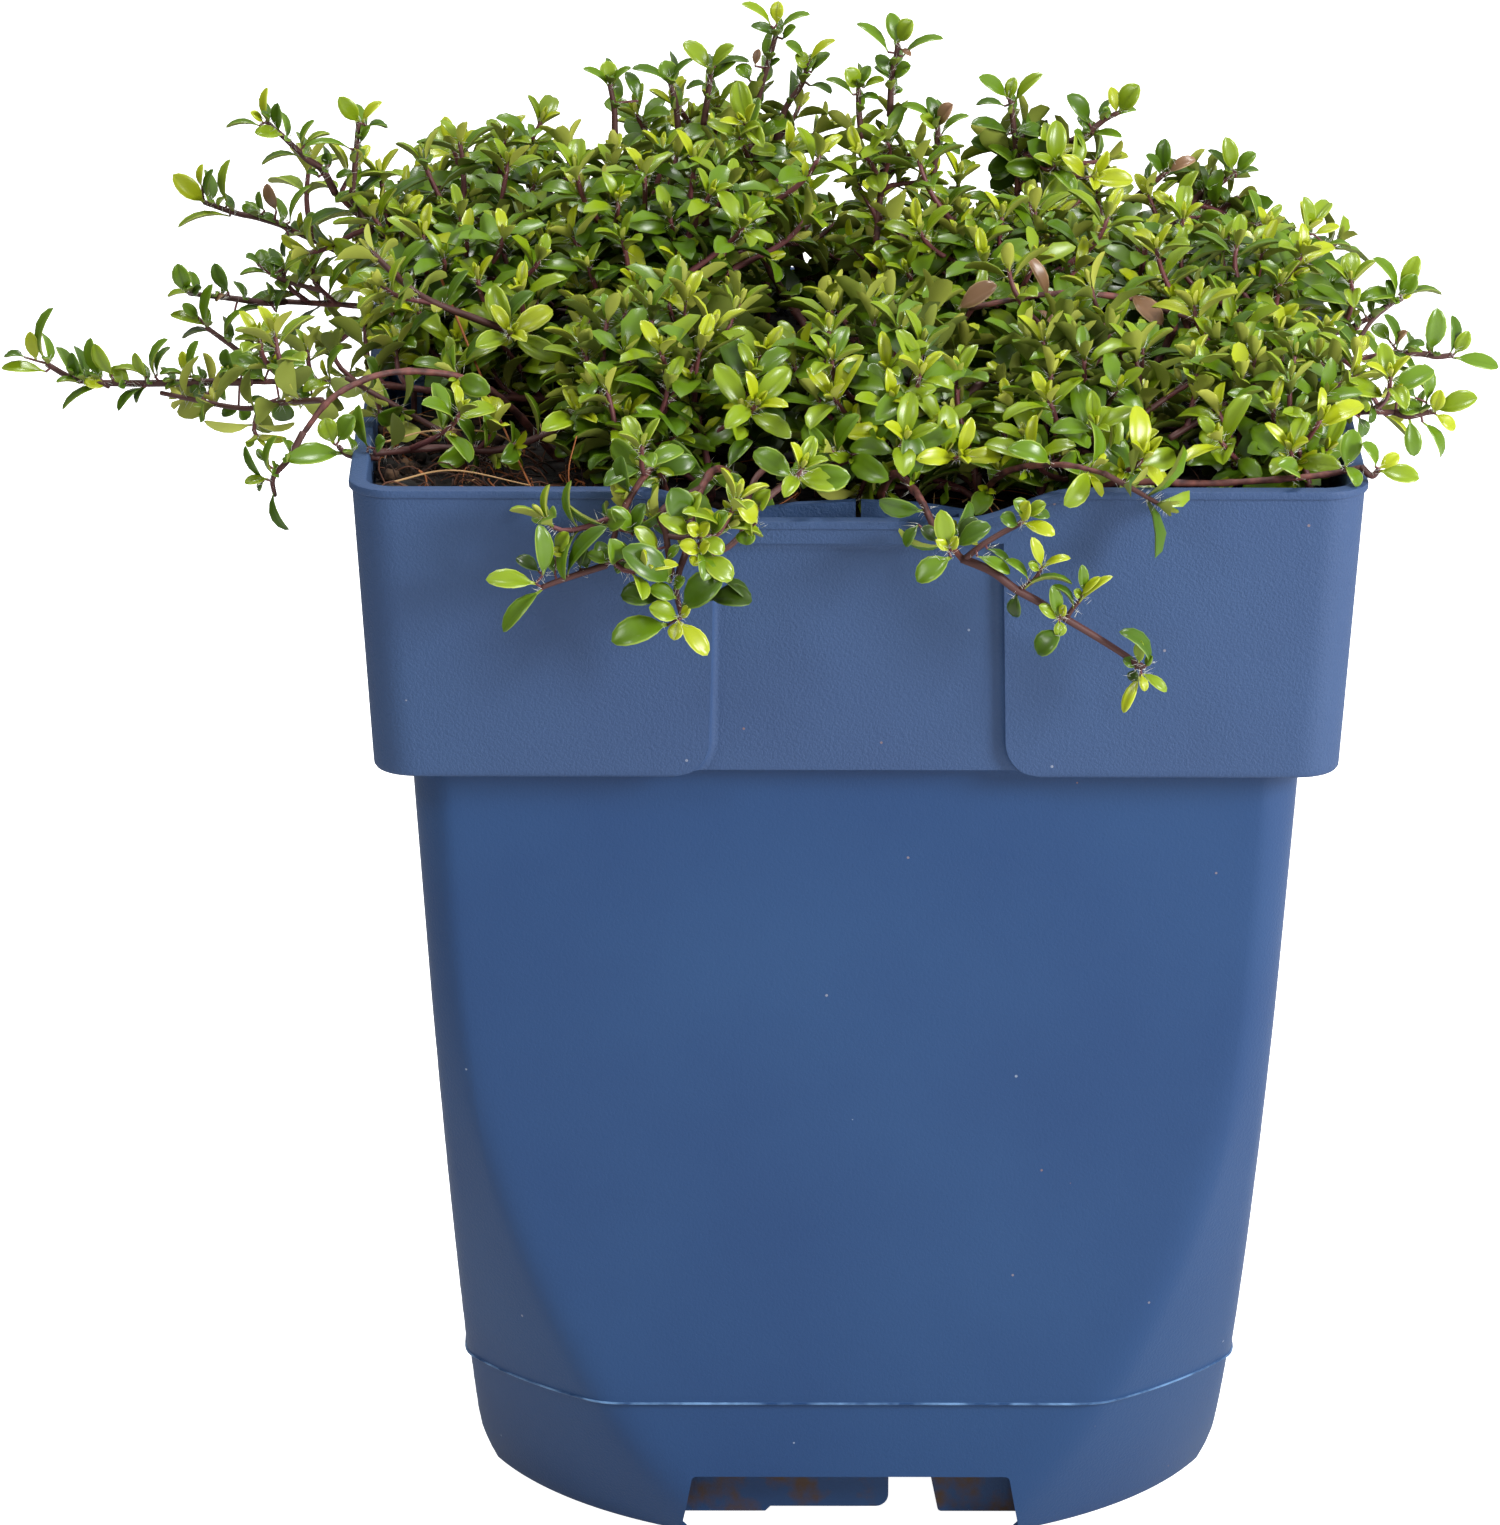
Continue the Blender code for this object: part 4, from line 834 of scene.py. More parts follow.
def grow_mass(k, zone, spacing, scale, tufts):
    rng = np.random.default_rng(700 + k)
    centre, size, limb = MASSES[NAMES[k]]
    centre = np.array(centre, float)
    outward = unit(centre - (0, 0, 128))
    if limb:
        path = LIMB_PATHS[limb][0]
        ahead = unit(path[-1] - path[-3])
        start = path[-1] - ahead * 0.3
        outward = unit(outward + ahead)
    else:
        ahead = np.array((0, 0, 1.0))
        start = np.array([*np.clip(centre[:2], -54, 54), 0])
        start[2] = soil_height(*start[:2]) - 0.4
    main, tips = SHOOTS.get(NAMES[k], (None, []))
    placed_stem = main is not None
    if main is None:
        crest = centre + outward * np.maximum(RADII[k] - LEAF_ROOM, 1) * OUTSIDE
        main = [(start + crest) / 2 + ahead * 1.5, crest]
    stem = smooth_path([start] + [np.array(p, float) for p in main], 6)
    taken = [stem[-1]]
    stems = [stem]
    if not limb:
        stems += [np.linspace(foot, foot + (0, 0, 5.0), 5) for foot in feet_of(k, rng, start)]
    tips = [np.array(p, float) for p in list(tips) + EXTRA_TIPS.get(NAMES[k], [])]
    placed = len(tips)
    lean = -0.45 if limb else -0.3
    if spacing:
        tips += spread_points(k, rng, OUTSIDE, spacing, taken + tips, outward, lean)
    if not limb and spacing:
        for depth, apart in INNER_LAYERS:
            tips += spread_points(k, rng, depth, apart, taken + tips, outward, -1.0)
    order = sorted(range(len(tips)), key=lambda i: min(np.linalg.norm(s[-1] - tips[i]) for s in stems))
    places = np.vstack([s[1:] for s in stems])
    heads = np.vstack([unit(np.gradient(s, axis=0))[1:] for s in stems])
    for number, path in enumerate(stems):
        radii = np.maximum(twig_radii(path, TWIG_MAX), 0.42 if number else TWIG_TIP)
        zone["stems"].append((path, radii, 1))
        if number == 0:
            dress_shoot(k, path, radii, rng, zone, scale=scale, free=placed_stem, tufts=tufts)
    for index in order:
        tip = tips[index]
        free = index < placed
        off = tip - places
        far = np.linalg.norm(off, axis=1)
        cost = far + 0.6 * np.maximum(0, -off[:, 2]) + 2.6 * (1 - (off * heads).sum(1) / np.maximum(far, 1e-6))
        cost += 1.8 * np.maximum(0, MIN_SHOOT - far) + 50 * (far < 2.2)
        best = int(cost.argmin())
        place, along = places[best], heads[best]
        normal = unit((tip - centre) / RADII[k] ** 2)
        arrive = unit(normal * 0.45 + np.array((0, 0, 0.65)) + unit(tip - place) * 0.45 + rng.normal(0, 0.25, 3))
        leave = unit(along * 0.6 + unit(tip - place))
        path = curve_between(place, leave, tip, arrive)
        check = path[len(path) // 3:]
        if not (clear_of_pot(check, 0.3) & clear_of_limbs(check, 0.3)).all():
            path = curve_between(place, unit(leave + (0, 0, 0.7)), tip, arrive)
            check = path[len(path) // 3:]
            if not (clear_of_pot(check, 0.2) & clear_of_limbs(check, 0.2)).all():
                continue
        radii = twig_radii(path, 0.5)
        zone["stems"].append((path, radii, int(length_of(path) > 16)))
        dress_shoot(k, path, radii, rng, zone, scale=scale, free=free, tufts=tufts)
        places = np.vstack([places, path[2:]])
        heads = np.vstack([heads, unit(np.gradient(path, axis=0))[2:]])


ZONES = {
    "left": ("mass_left_long", "mass_left_droop", "mass_left_mid", "mass_left_up", "mass_left_top"),
    "top": ("mass_top_a", "mass_top_b", "mass_right_top", "mass_right_up"),
    "right": ("mass_right_back", "mass_right_mid", "mass_right_far", "mass_right_low", "mass_right_rim"),
    "front_hanging": ("mass_front_right", "mass_front_hop", "mass_front_left", "mass_front_far_left"),
    "back_hanging": ("mass_back_left", "mass_back_right"),
    "back": ("mass_back_a", "mass_back_b", "mass_back_c", "mass_back_d"),
    "middle": ("mass_mid_a", "mass_mid_b", "mass_mid_c", "mass_mid_d"),
    "front": ("mass_front_a", "mass_front_b", "mass_front_c", "mass_front_d"),
}
SET_ONE_BY_ONE = (
    "mass_front_right", "mass_front_left", "mass_front_far_left", "mass_left_long", "mass_left_mid", "mass_left_up",
    "mass_left_top", "mass_left_droop", "mass_right_mid", "mass_right_far", "mass_right_low", "mass_right_rim",
)
grown = {}
for zone_name, members in ZONES.items():
    grown[zone_name] = {"fine": [], "plain": [], "nodes": [], "stems": []}
    for member in members:
        if member in SET_ONE_BY_ONE:
            continue
        placed_only = zone_name in PLACED_ONLY and member in SHOOTS
        spacing = 0 if placed_only else TIP_SPACING.get(zone_name, LOOSE_SPACING)
        tufts = TUFT_CHANCE.get(zone_name, TUFT_IN_CROWN)
        grow_mass(NAMES.index(member), grown[zone_name], spacing, LEAF_SCALE.get(zone_name, 1.0), tufts)
    zone = grown[zone_name]
    print(zone_name, "shoots", len(zone["stems"]), "leaves", len(zone["fine"]), "+", len(zone["plain"]))

# %% [markdown]
# The shoots that hang over the front of the pot stand clear against the blue, where every leaf shows, so they
# aren't grown by rule. Each leaf is set from its root to its tip, with its width, its roll about its own length,
# its backward curve and its shade. The arching stem's few old leaves are set in the same way: they have gone
# pinkish brown.

# %% Leaves set one by one
FRONT_STEMS = (
    ([(-32, -71, 141.4), (-33.3, -71.6, 141.1), (-35.8, -71.8, 140.3), (-38.2, -72, 139.5), (-40.1, -72.2, 138.8)], 0.5, 0.36),
    ([(-20, -63.6, 149.4), (-25, -70, 148.2), (-24.5, -71, 145.5), (-24.2, -71.6, 143.1), (-23.7, -72, 140.4)], 0.5, 0.42),
    ([(-22, -70, 142.5), (-22.8, -71.6, 140.6), (-23.1, -72.2, 138.1), (-22.5, -72.4, 135.1)], 0.5, 0.34),
    ([(-15, -67, 144.1), (-16.8, -69, 143), (-18.6, -71, 142.9), (-20, -72, 143), (-20.9, -72.6, 143.4)], 0.42, 0.3),
    ([(-15, -67, 144.1), (-13.4, -62.5, 150), (-10, -56, 151)], 0.42, 0.42),
    ([(-24.4, -71, 145.2), (-22.2, -72, 145.2), (-20.2, -72.6, 145.6)], 0.4, 0.3),
    ([
        (13, -70.2, 142), (16.7, -71.8, 140.8), (19.6, -72, 138.6), (22.6, -72, 136.9), (26.1, -71.8, 134.6),
        (29.9, -71.6, 132.2), (33.7, -71.6, 129.7), (35.8, -71.8, 128.1),
    ], 0.62, 0.42),
    ([(13.4, -71, 142.4), (15.3, -71, 144), (17.9, -70.4, 145.5), (20.2, -70.4, 146.8), (21.2, -70.6, 148.1)], 0.44, 0.34),
    ([(20.2, -72, 138.6), (21.9, -72.6, 139.9), (22.9, -73, 141.7)], 0.34, 0.26),
    ([(26.1, -71.8, 134.7), (27, -72.6, 136.3), (28, -73, 137.7)], 0.34, 0.26),
)
FRONT_LEAVES = (
    ((-40.9, -72.4, 139.3), (-47.2, -73.2, 140.2), 2.9, 8, 0.5, FRESH),
    ((-40.1, -72.4, 138.5), (-45.1, -73.0, 133.2), 2.8, 20, 0.7, MID),
    ((-40.0, -72.2, 140.4), (-40.4, -73.6, 147.5), 2.7, 35, 0.9, MID),
    ((-40.5, -71.4, 140.6), (-43.4, -71.0, 142.3), 2.2, 20, 0.8, DARK),
    ((-38.5, -71.4, 140.2), (-40.1, -70.6, 143.4), 1.6, 20, 0.8, DEEP),
    ((-36.9, -72.2, 140.4), (-31.8, -74.0, 147.1), 3.1, 30, 1.0, DEEP),
    ((-38.3, -71.2, 142.9), (-36.7, -72.0, 145.9), 2.4, 10, 0.4, FRESH),
    ((-35.3, -71.0, 140.8), (-34.2, -70.4, 145.7), 2.6, 30, 0.9, DARK),
    ((-34.4, -70.8, 140.7), (-35.3, -70.0, 143.3), 2.0, 10, 0.6, DEEP),
    ((-32.2, -71.2, 141.5), (-33.1, -71.0, 144.5), 2.2, 20, 0.8, DEEP),
    ((-31.7, -71.6, 141.9), (-34.4, -72.2, 143.2), 2.0, 10, 0.6, MID),
    ((-37.1, -71.4, 143.0), (-38.9, -72.0, 143.4), 1.8, 10, 0.4, LIME),
    ((-28.9, -72.0, 145.9), (-31.3, -73.4, 149.7), 2.5, 15, 0.8, MID),
    ((-28.6, -71.6, 145.4), (-27.0, -72.4, 149.8), 2.4, 20, 0.8, DEEP),
    ((-25.7, -72.6, 143.9), (-28.4, -73.8, 147.2), 2.3, 10, 0.5, FRESH),
    ((-29.0, -71.4, 142.3), (-31.3, -71.4, 144.2), 2.2, 10, 0.7, MID),
    ((-29.5, -71.2, 141.8), (-30.8, -71.0, 140.5), 2.0, 20, 0.8, DEEP),
    ((-23.9, -73.0, 139.7), (-29.9, -75.4, 144.9), 4.5, 4, 0.8, DEEP),
    ((-25.2, -72.0, 137.1), (-30.2, -72.4, 137.9), 3.9, 12, 0.8, DARK),
    ((-23.1, -72.8, 137.5), (-26.6, -73.6, 139.1), 2.6, 10, 0.6, MID),
    ((-22.4, -73.0, 136.3), (-17.2, -74.8, 140.7), 4.7, 6, 0.9, DEEP),
    ((-18.9, -71.4, 136.9), (-13.6, -72.6, 137.0), 3.9, 18, 1.2, DARK),
    ((-17.7, -71.0, 139.6), (-14.1, -71.6, 137.0), 2.6, 40, 1.0, DARK),
    ((-22.9, -73.6, 135.1), (-26.6, -74.8, 137.0), 3.0, 8, 0.5, FRESH),
    ((-24.2, -73.0, 134.1), (-31.4, -74.6, 132.5), 4.1, 4, 0.9, MID),
    ((-22.8, -73.6, 134.7), (-19.3, -75.0, 130.6), 2.7, 14, 0.6, LIME),
    ((-22.9, -73.8, 135.0), (-23.5, -74.8, 132.6), 2.2, 10, -0.5, LIME),
    ((-22.5, -73.4, 135.1), (-21.3, -74.4, 136.9), 1.6, 10, 0.3, LIME),
    ((-21.3, -72.8, 145.9), (-25.4, -74.4, 148.8), 2.7, 8, 0.7, FRESH),
    ((-20.2, -73.4, 145.9), (-21.8, -74.6, 147.8), 2.0, 6, 0.4, LIME),
    ((-20.2, -73.4, 145.8), (-18.9, -74.6, 147.9), 2.0, 6, 0.4, LIME),
    ((-20.0, -73.0, 145.5), (-17.3, -74.0, 143.7), 2.6, 14, 0.8, FRESH),
    ((-20.1, -73.2, 143.7), (-22.8, -74.4, 145.1), 2.4, 8, 0.6, LIME),
    ((-20.1, -73.6, 143.4), (-21.1, -74.8, 142.4), 2.0, 4, 0.2, LIME),
    ((-20.0, -73.0, 143.0), (-16.2, -74.4, 140.3), 3.3, 10, 0.9, FRESH),
    ((-20.2, -73.4, 143.6), (-18.9, -74.8, 145.4), 1.8, 6, 0.3, LIME),
    ((-18.6, -72.0, 145.7), (-16.6, -73.0, 148.9), 2.6, 16, 0.8, MID),
    ((-14.1, -70.0, 145.9), (-14.4, -71.0, 144.0), 2.8, 12, 0.7, MID),
    ((-13.0, -71.0, 147.0), (-15.5, -73.0, 150.2), 3.0, 8, 0.8, LIME),
    ((-22.0, -72.0, 147.5), (-23.7, -74.0, 152.4), 4.0, 6, 0.8, DEEP),
    ((-21.8, -72.0, 147.6), (-20.0, -73.4, 151.5), 2.8, 14, 0.8, FRESH),
    ((-24.3, -72.2, 142.5), (-22.7, -73.0, 144.4), 1.6, 12, 0.5, MID),
    ((-23.8, -72.2, 140.2), (-25.2, -72.8, 142.2), 1.8, 12, 0.5, FRESH),
    ((-23.5, -72.4, 138.6), (-22.0, -73.2, 140.3), 1.8, 12, 0.5, MID),
    ((11.0, -72.2, 143.9), (10.2, -73.6, 149.5), 2.8, 10, 0.4, FRESH),
    ((12.2, -72.2, 144.3), (16.5, -73.8, 147.2), 3.3, 14, 0.7, DEEP),
    ((12.3, -71.4, 145.0), (14.9, -71.8, 147.7), 2.4, 20, 0.7, DARK),
    ((11.5, -72.4, 142.9), (7.1, -73.6, 140.1), 3.5, 8, 0.5, MID),
    ((9.6, -71.2, 144.6), (7.7, -71.4, 146.5), 2.2, 20, 0.6, DARK),
    ((7.4, -70.2, 146.5), (5.8, -71.0, 143.8), 2.2, 30, 0.7, DEEP),
    ((11.2, -72.6, 143.8), (9.5, -73.6, 145.6), 1.6, 8, 0.3, LIME),
    ((11.6, -72.8, 143.9), (12.3, -73.8, 146.0), 1.5, 8, 0.3, LIME),
    ((14.8, -72.4, 143.0), (18.9, -73.0, 140.8), 2.1, 24, 0.7, MID),
    ((16.1, -71.4, 143.7), (18.8, -71.6, 141.9), 1.7, 40, 0.8, DEEP),
    ((21.2, -72.6, 140.1), (18.3, -73.0, 142.7), 2.0, 40, 1.0, MID),
    ((22.9, -73.2, 141.9), (21.6, -74.2, 146.1), 1.7, 20, 0.5, LIME),
    ((23.0, -73.2, 141.7), (26.5, -74.2, 143.2), 1.9, 35, 0.9, LIME),
    ((22.6, -73.0, 141.3), (21.2, -73.8, 142.6), 1.5, 10, 0.4, FRESH),
    ((20.8, -72.6, 138.8), (26.8, -73.4, 139.6), 2.2, 62, 1.5, MID),
    ((19.9, -71.8, 137.9), (19.7, -71.2, 134.7), 2.2, 20, 0.8, DARK),
    ((25.1, -72.4, 135.0), (24.3, -73.6, 139.6), 1.9, 20, 0.5, MID),
    ((25.0, -72.6, 134.8), (22.6, -73.6, 137.0), 1.8, 12, 0.4, FRESH),
    ((25.5, -72.8, 135.2), (26.0, -73.8, 137.0), 1.4, 10, 0.3, LIME),
    ((25.2, -72.4, 134.7), (25.3, -72.8, 132.6), 1.8, 20, 0.5, FRESH),
    ((25.6, -72.6, 133.3), (22.5, -73.2, 130.4), 3.4, 8, 0.9, DEEP),
    ((27.0, -72.8, 136.3), (24.2, -73.2, 139.4), 1.8, 60, 1.4, DEEP),
    ((27.7, -73.2, 137.2), (31.9, -74.4, 140.9), 1.9, 35, 0.6, LIME),
    ((28.2, -73.2, 138.6), (28.0, -74.2, 142.5), 1.5, 24, 0.4, MID),
    ((28.0, -73.4, 138.2), (30.3, -74.6, 140.9), 1.4, 20, 0.4, LIME),
    ((27.9, -73.0, 137.7), (27.0, -73.6, 139.0), 1.4, 20, 0.4, FRESH),
    ((36.4, -72.4, 128.6), (32.8, -73.4, 133.5), 2.8, 40, 2.0, DEEP),
    ((35.4, -72.8, 129.1), (35.7, -74.0, 132.4), 1.8, 20, 0.4, FRESH),
    ((35.0, -71.8, 128.2), (33.4, -72.0, 129.4), 1.9, 20, 0.6, DEEP),
    ((35.1, -71.8, 128.0), (34.7, -72.2, 126.4), 2.0, 30, 0.6, DARK),
    ((35.6, -72.4, 127.3), (33.4, -73.4, 122.7), 1.7, 10, 0.5, LIME),
    ((35.8, -72.6, 127.7), (38.9, -73.4, 125.4), 1.7, 20, 0.6, FRESH),
    ((35.7, -73.0, 127.7), (36.1, -74.0, 125.7), 1.3, 20, 0.4, LIME),
    ((36.3, -72.4, 128.6), (37.1, -73.4, 130.2), 1.4, 10, 0.4, MID),
    ((19.9, -71.0, 146.7), (17.6, -72.0, 148.1), 2.4, 10, 0.6, DEEP),
    ((20.5, -71.4, 147.1), (24.5, -73.0, 145.9), 2.2, 14, 0.7, LIME),
    ((20.5, -71.4, 147.3), (21.3, -73.0, 150.4), 2.2, 10, 0.5, LIME),
    ((21.0, -71.2, 148.0), (23.4, -72.8, 149.9), 2.2, 10, 0.5, FRESH),
    ((21.1, -71.0, 148.1), (19.3, -72.0, 150.3), 2.2, 14, 0.6, MID),
    ((21.0, -70.8, 148.2), (23.9, -71.6, 147.9), 2.0, 20, 0.7, DEEP),
)
ARCH_LEAVES = (
    ((25.3, -16.6, 162.2), (22.7, -17.5, 168.2), 1.9, 20, 1.2, PINKISH),
    ((26, -17.2, 161.4), (29.4, -20.5, 157.0), 4.1, 10, 0.5, PINKISH),
    ((36.4, -13, 161.8), (40.4, -16, 158.2), 3.1, 16, 0.6, PINKISH),
    ((13.5, -20.6, 161.6), (18.6, -22.4, 165.2), 3.5, 14, 0.4, PINKISH),
    ((24, -17, 160.6), (26.6, -19.6, 158.2), 1.4, 30, 1.2, PINKISH),
    ((31.6, -14.4, 156.6), (28.8, -17, 155.4), 1.4, 30, 1.2, PINKISH),
)
SIDE_LEAVES = {
    ("left", -22.8): (
        (-105.8, 154.7, -104.6, 162.5, 2.9, 52, 1.4, MID),
        (-106, 153.5, -111.9, 153.9, 2.5, 28, 0.4, FRESH), (-107.2, 155, -107.8, 159.2, 2, 12, 0.4, LIME),
        (-108.8, 155.5, -111.4, 155.1, 2, 40, 1, DEEP), (-101.6, 151.9, -104.6, 152.5, 1.4, 52, 1, MID),
        (-98.1, 151.6, -104, 148.2, 2.3, 40, 1, MID), (-100.9, 152.2, -102.4, 156.4, 2.2, 40, 1, DEEP),
        (-98.7, 152.6, -100.1, 157.8, 2.5, 40, 1, MID), (-97.4, 153.1, -99.3, 157.8, 2.3, 28, 0.8, FRESH),
        (-99.6, 152.4, -102.1, 153.2, 1.9, 12, 0.5, MID), (-98.1, 151.6, -101, 152.3, 2.1, 12, 0.4, LIME),
        (-94.9, 151.8, -97.6, 153.7, 2.4, 12, 0.4, FRESH), (-93.3, 151.4, -96.5, 148.6, 2.5, 40, 1, DEEP),
        (-93, 151.4, -94.2, 149.2, 1.9, 40, 1, DEEP), (-91.7, 152.9, -89.8, 158.1, 2.7, 52, 1.5, MID),
        (-91.4, 153.1, -89.6, 156.5, 1.8, 52, 1.4, DEEP), (-93, 152.7, -94.1, 156.6, 1.7, 28, 0.5, FRESH),
        (-92.8, 152.9, -97.1, 153.7, 2.1, 52, 1, FRESH), (-86.6, 152.8, -85.8, 157.9, 2.9, 52, 1, MID),
        (-86.9, 152.8, -88.2, 156, 1.8, 28, 0.5, LIME), (-87.6, 152.9, -91.1, 153.6, 1.5, 52, 1, MID),
        (-86, 152.9, -85.9, 149.7, 2.6, 12, 0.5, DEEP), (-87.4, 151.8, -90.4, 151.3, 2, 52, 1, MID),
        (-77.3, 152.5, -80.9, 155.2, 3.2, 12, 0.6, MID), (-80.3, 153.1, -83.2, 153.8, 2, 52, 1, MID),
        (-80.3, 153.1, -83.2, 154, 1.4, 28, 0.4, LIME), (-81.5, 153.4, -82.2, 156.9, 2.4, 40, 1, DEEP),
        (-75.8, 156.4, -78.9, 155, 2.5, 52, 1, DEEP), (-75.5, 156.4, -75.3, 153.2, 2, 28, 0.6, MID),
        (-75.5, 150, -74.6, 146.7, 3.2, 12, 0.5, DEEP), (-76.8, 149.5, -79.6, 149.5, 2.2, 52, 1, DEEP),
        (-80.8, 148.8, -79.7, 146.8, 1.9, 12, 0.4, MID), (-80.8, 148.8, -82.9, 147.9, 1.9, 12, 0.4, DEEP),
        (-82.5, 151.9, -82.6, 149.6, 1.8, 40, 1, MID), (-71.2, 150.3, -73.5, 151, 2.2, 12, 0.5, DEEP),
        (-70.5, 152.1, -73.5, 153.4, 2.6, 12, 0.6, MID), (-68.8, 152, -72.3, 151.3, 2.4, 28, 0.8, FRESH),
        (-84.7, 152.1, -83.3, 150.6, 1.5, 52, 1, MID),
    ),
    ("left", 3.7): (
        (-86.2, 152.3, -85.3, 158.9, 2.5, 40, 1, MID), (-86.4, 152.7, -91.3, 154.2, 2.3, 28, 0.6, FRESH),
        (-87.4, 153.9, -89.5, 156.1, 1.6, 12, 0.4, MID), (-85.8, 152, -89.7, 150.6, 2.4, 52, 1, DARK),
        (-83.6, 150.3, -81.2, 155.3, 2.1, 52, 1.5, MID), (-82.9, 153.7, -79.4, 155, 1.8, 52, 1.1, DEEP),
        (-88.9, 157.3, -90, 161.6, 2.6, 12, 0.5, MID), (-88.6, 157.2, -91.6, 156.4, 1.4, 40, 1, FRESH),
        (-88.2, 156.9, -86.9, 158.5, 1.7, 12, 0.4, DARK), (-83.4, 157.4, -85.2, 161.3, 2.3, 28, 0.5, DEEP),
        (-83.7, 157.1, -85.1, 156.3, 1.1, 40, 1, PINKISH), (-77.6, 159.9, -79.3, 163, 2.4, 12, 0.5, MID),
        (-79.4, 161.2, -81, 162.7, 2, 40, 1, DEEP), (-78.1, 160, -81.9, 159.6, 1.5, 52, 1, MID),
        (-75.8, 160.6, -78.3, 162, 2, 40, 1, DEEP), (-77, 154.7, -75.5, 157.3, 2.4, 52, 1, DEEP),
        (-78.7, 150, -82.7, 151.2, 2.2, 52, 1, FRESH), (-77.4, 150, -78.5, 153.4, 1.9, 28, 0.5, FRESH),
    ),
    ("left", 16.7): (
        (-87.2, 166.5, -91.2, 170.9, 2.8, 12, 0.5, LIME), (-87.5, 168.6, -87.3, 171.7, 1.6, 40, 1, LIME),
        (-86.6, 166.7, -85.8, 171.3, 2.2, 52, 1, DEEP), (-84.1, 166.4, -83.6, 172.2, 2.8, 52, 1.1, FRESH),
        (-83.8, 164.6, -90.8, 163.4, 2.4, 52, 1, FRESH), (-77.2, 163.4, -80.1, 164.5, 2.3, 40, 1, DEEP),
        (-77.5, 165.4, -78.6, 169.4, 2, 28, 0.6, PINKISH), (-79.6, 164.7, -82.2, 165.8, 1.6, 12, 0.4, MID),
        (-79.1, 165.4, -79.6, 168.5, 1.4, 40, 1, MID), (-75.7, 163.8, -72.7, 168.7, 2.1, 52, 1.1, MID),
        (-75.9, 162, -76.4, 159.1, 1.4, 52, 1, DARK), (-85.4, 165.8, -84.6, 166.8, 1.4, 40, 1, FRESH),
    ),
    ("left", 2.7): (
        (-75.8, 179.2, -79.5, 180, 2.3, 12, 0.5, FRESH), (-77.9, 181.1, -77.7, 185.6, 1.8, 40, 1, LIME),
        (-76.3, 179.8, -76.3, 183.8, 2.1, 28, 0.5, DEEP), (-78.9, 180.5, -83.4, 179.9, 1.7, 52, 1, MID),
        (-78.4, 181, -80, 182.8, 1.4, 12, 0.3, LIME), (-73.7, 176.4, -78.7, 175, 2.5, 52, 1.1, MID),
        (-73.3, 177.4, -71.5, 181.4, 2.1, 52, 1, MID), (-72.9, 177.9, -69.5, 179, 2.1, 52, 1, FRESH),
        (-71.2, 173.5, -72.5, 174.5, 1.4, 40, 1, DEEP), (-69.6, 175.2, -70, 176.7, 1.9, 40, 1, DEEP),
    ),
    ("right", -3.8): (
        (72, 158.9, 68.9, 164.8, 2.9, 52, 1.3, MID), (72.8, 159.5, 75.2, 164.5, 2.5, 12, 0.5, FRESH),
        (72.6, 159.3, 74.9, 162.3, 2.5, 28, 0.4, MID), (73, 158.6, 78.5, 158.9, 2.8, 52, 1.4, MID),
        (71.4, 158.8, 70.7, 161.8, 2, 40, 1, DEEP), (71.6, 157.9, 68.4, 159.5, 2.5, 12, 0.8, DEEP),
        (68.2, 156.5, 65.3, 158.1, 2.2, 52, 1.3, DEEP), (67.4, 154.7, 66.1, 156.7, 1.9, 40, 1, MID),
        (66.9, 154.5, 62.3, 156.4, 2.4, 52, 1, DEEP), (73.1, 158.5, 74.2, 160, 1.4, 12, 0.4, LIME),
    ),
    ("right", -18.3): (
        (75.7, 155.5, 76.5, 161.8, 3, 28, 0.8, MID), (78.4, 155.2, 78.6, 160.2, 2.4, 52, 1, DEEP),
        (79, 155.1, 80.8, 158.4, 2.1, 28, 0.5, FRESH), (78.8, 154.5, 85, 152.8, 2.6, 12, 0.5, MID),
        (72.1, 155.4, 74.9, 156.6, 2.5, 40, 1, DEEP), (72.4, 155.1, 75, 154.9, 1.5, 52, 1, MID),
        (71.3, 155.6, 69.5, 160.7, 2.4, 52, 1.1, DEEP), (70.4, 156.8, 68.2, 158.6, 2.3, 12, 0.8, MID),
        (71, 156.2, 72.6, 158.5, 1.7, 28, 0.4, PINKISH), (70.4, 153.3, 75.3, 149.9, 2.4, 52, 1.1, MID),
        (70.7, 155.5, 73.6, 152.6, 2.5, 52, 1, DEEP), (68.7, 152.7, 70.5, 152.1, 1.4, 28, 0.4, LIME),
    ),
    ("right", -36.3): (
        (75.1, 152.3, 80.5, 154.3, 3.4, 12, 0.4, FRESH), (75.1, 151.8, 77.8, 149.5, 2.1, 12, 0.4, LIME),
        (74.9, 152, 75.8, 155.3, 2.1, 12, 0.4, LIME), (73.9, 153.4, 73.7, 158.2, 2.4, 40, 1, MID),
        (72.5, 154, 69.3, 156.8, 2.8, 28, 0.7, DEEP), (73.8, 152.3, 70.4, 152.5, 2.9, 12, 0.5, MID),
        (71.8, 151.1, 72.4, 146.3, 2.5, 12, 0.5, MID), (73.5, 150.7, 76, 145.6, 2.4, 40, 1.3, MID),
        (70.1, 153.5, 68.1, 155.2, 1.9, 28, 0.5, DEEP), (66.9, 153.1, 63.7, 156, 2.8, 28, 1, MID),
        (66.9, 152.9, 66.5, 150.8, 1.5, 52, 1, DEEP), (65.2, 151.4, 66, 148.4, 2.3, 28, 0.5, DEEP),
        (64.1, 152.3, 63.9, 155.2, 2.1, 28, 0.5, MID),
    ),
    ("right", -60.8): (
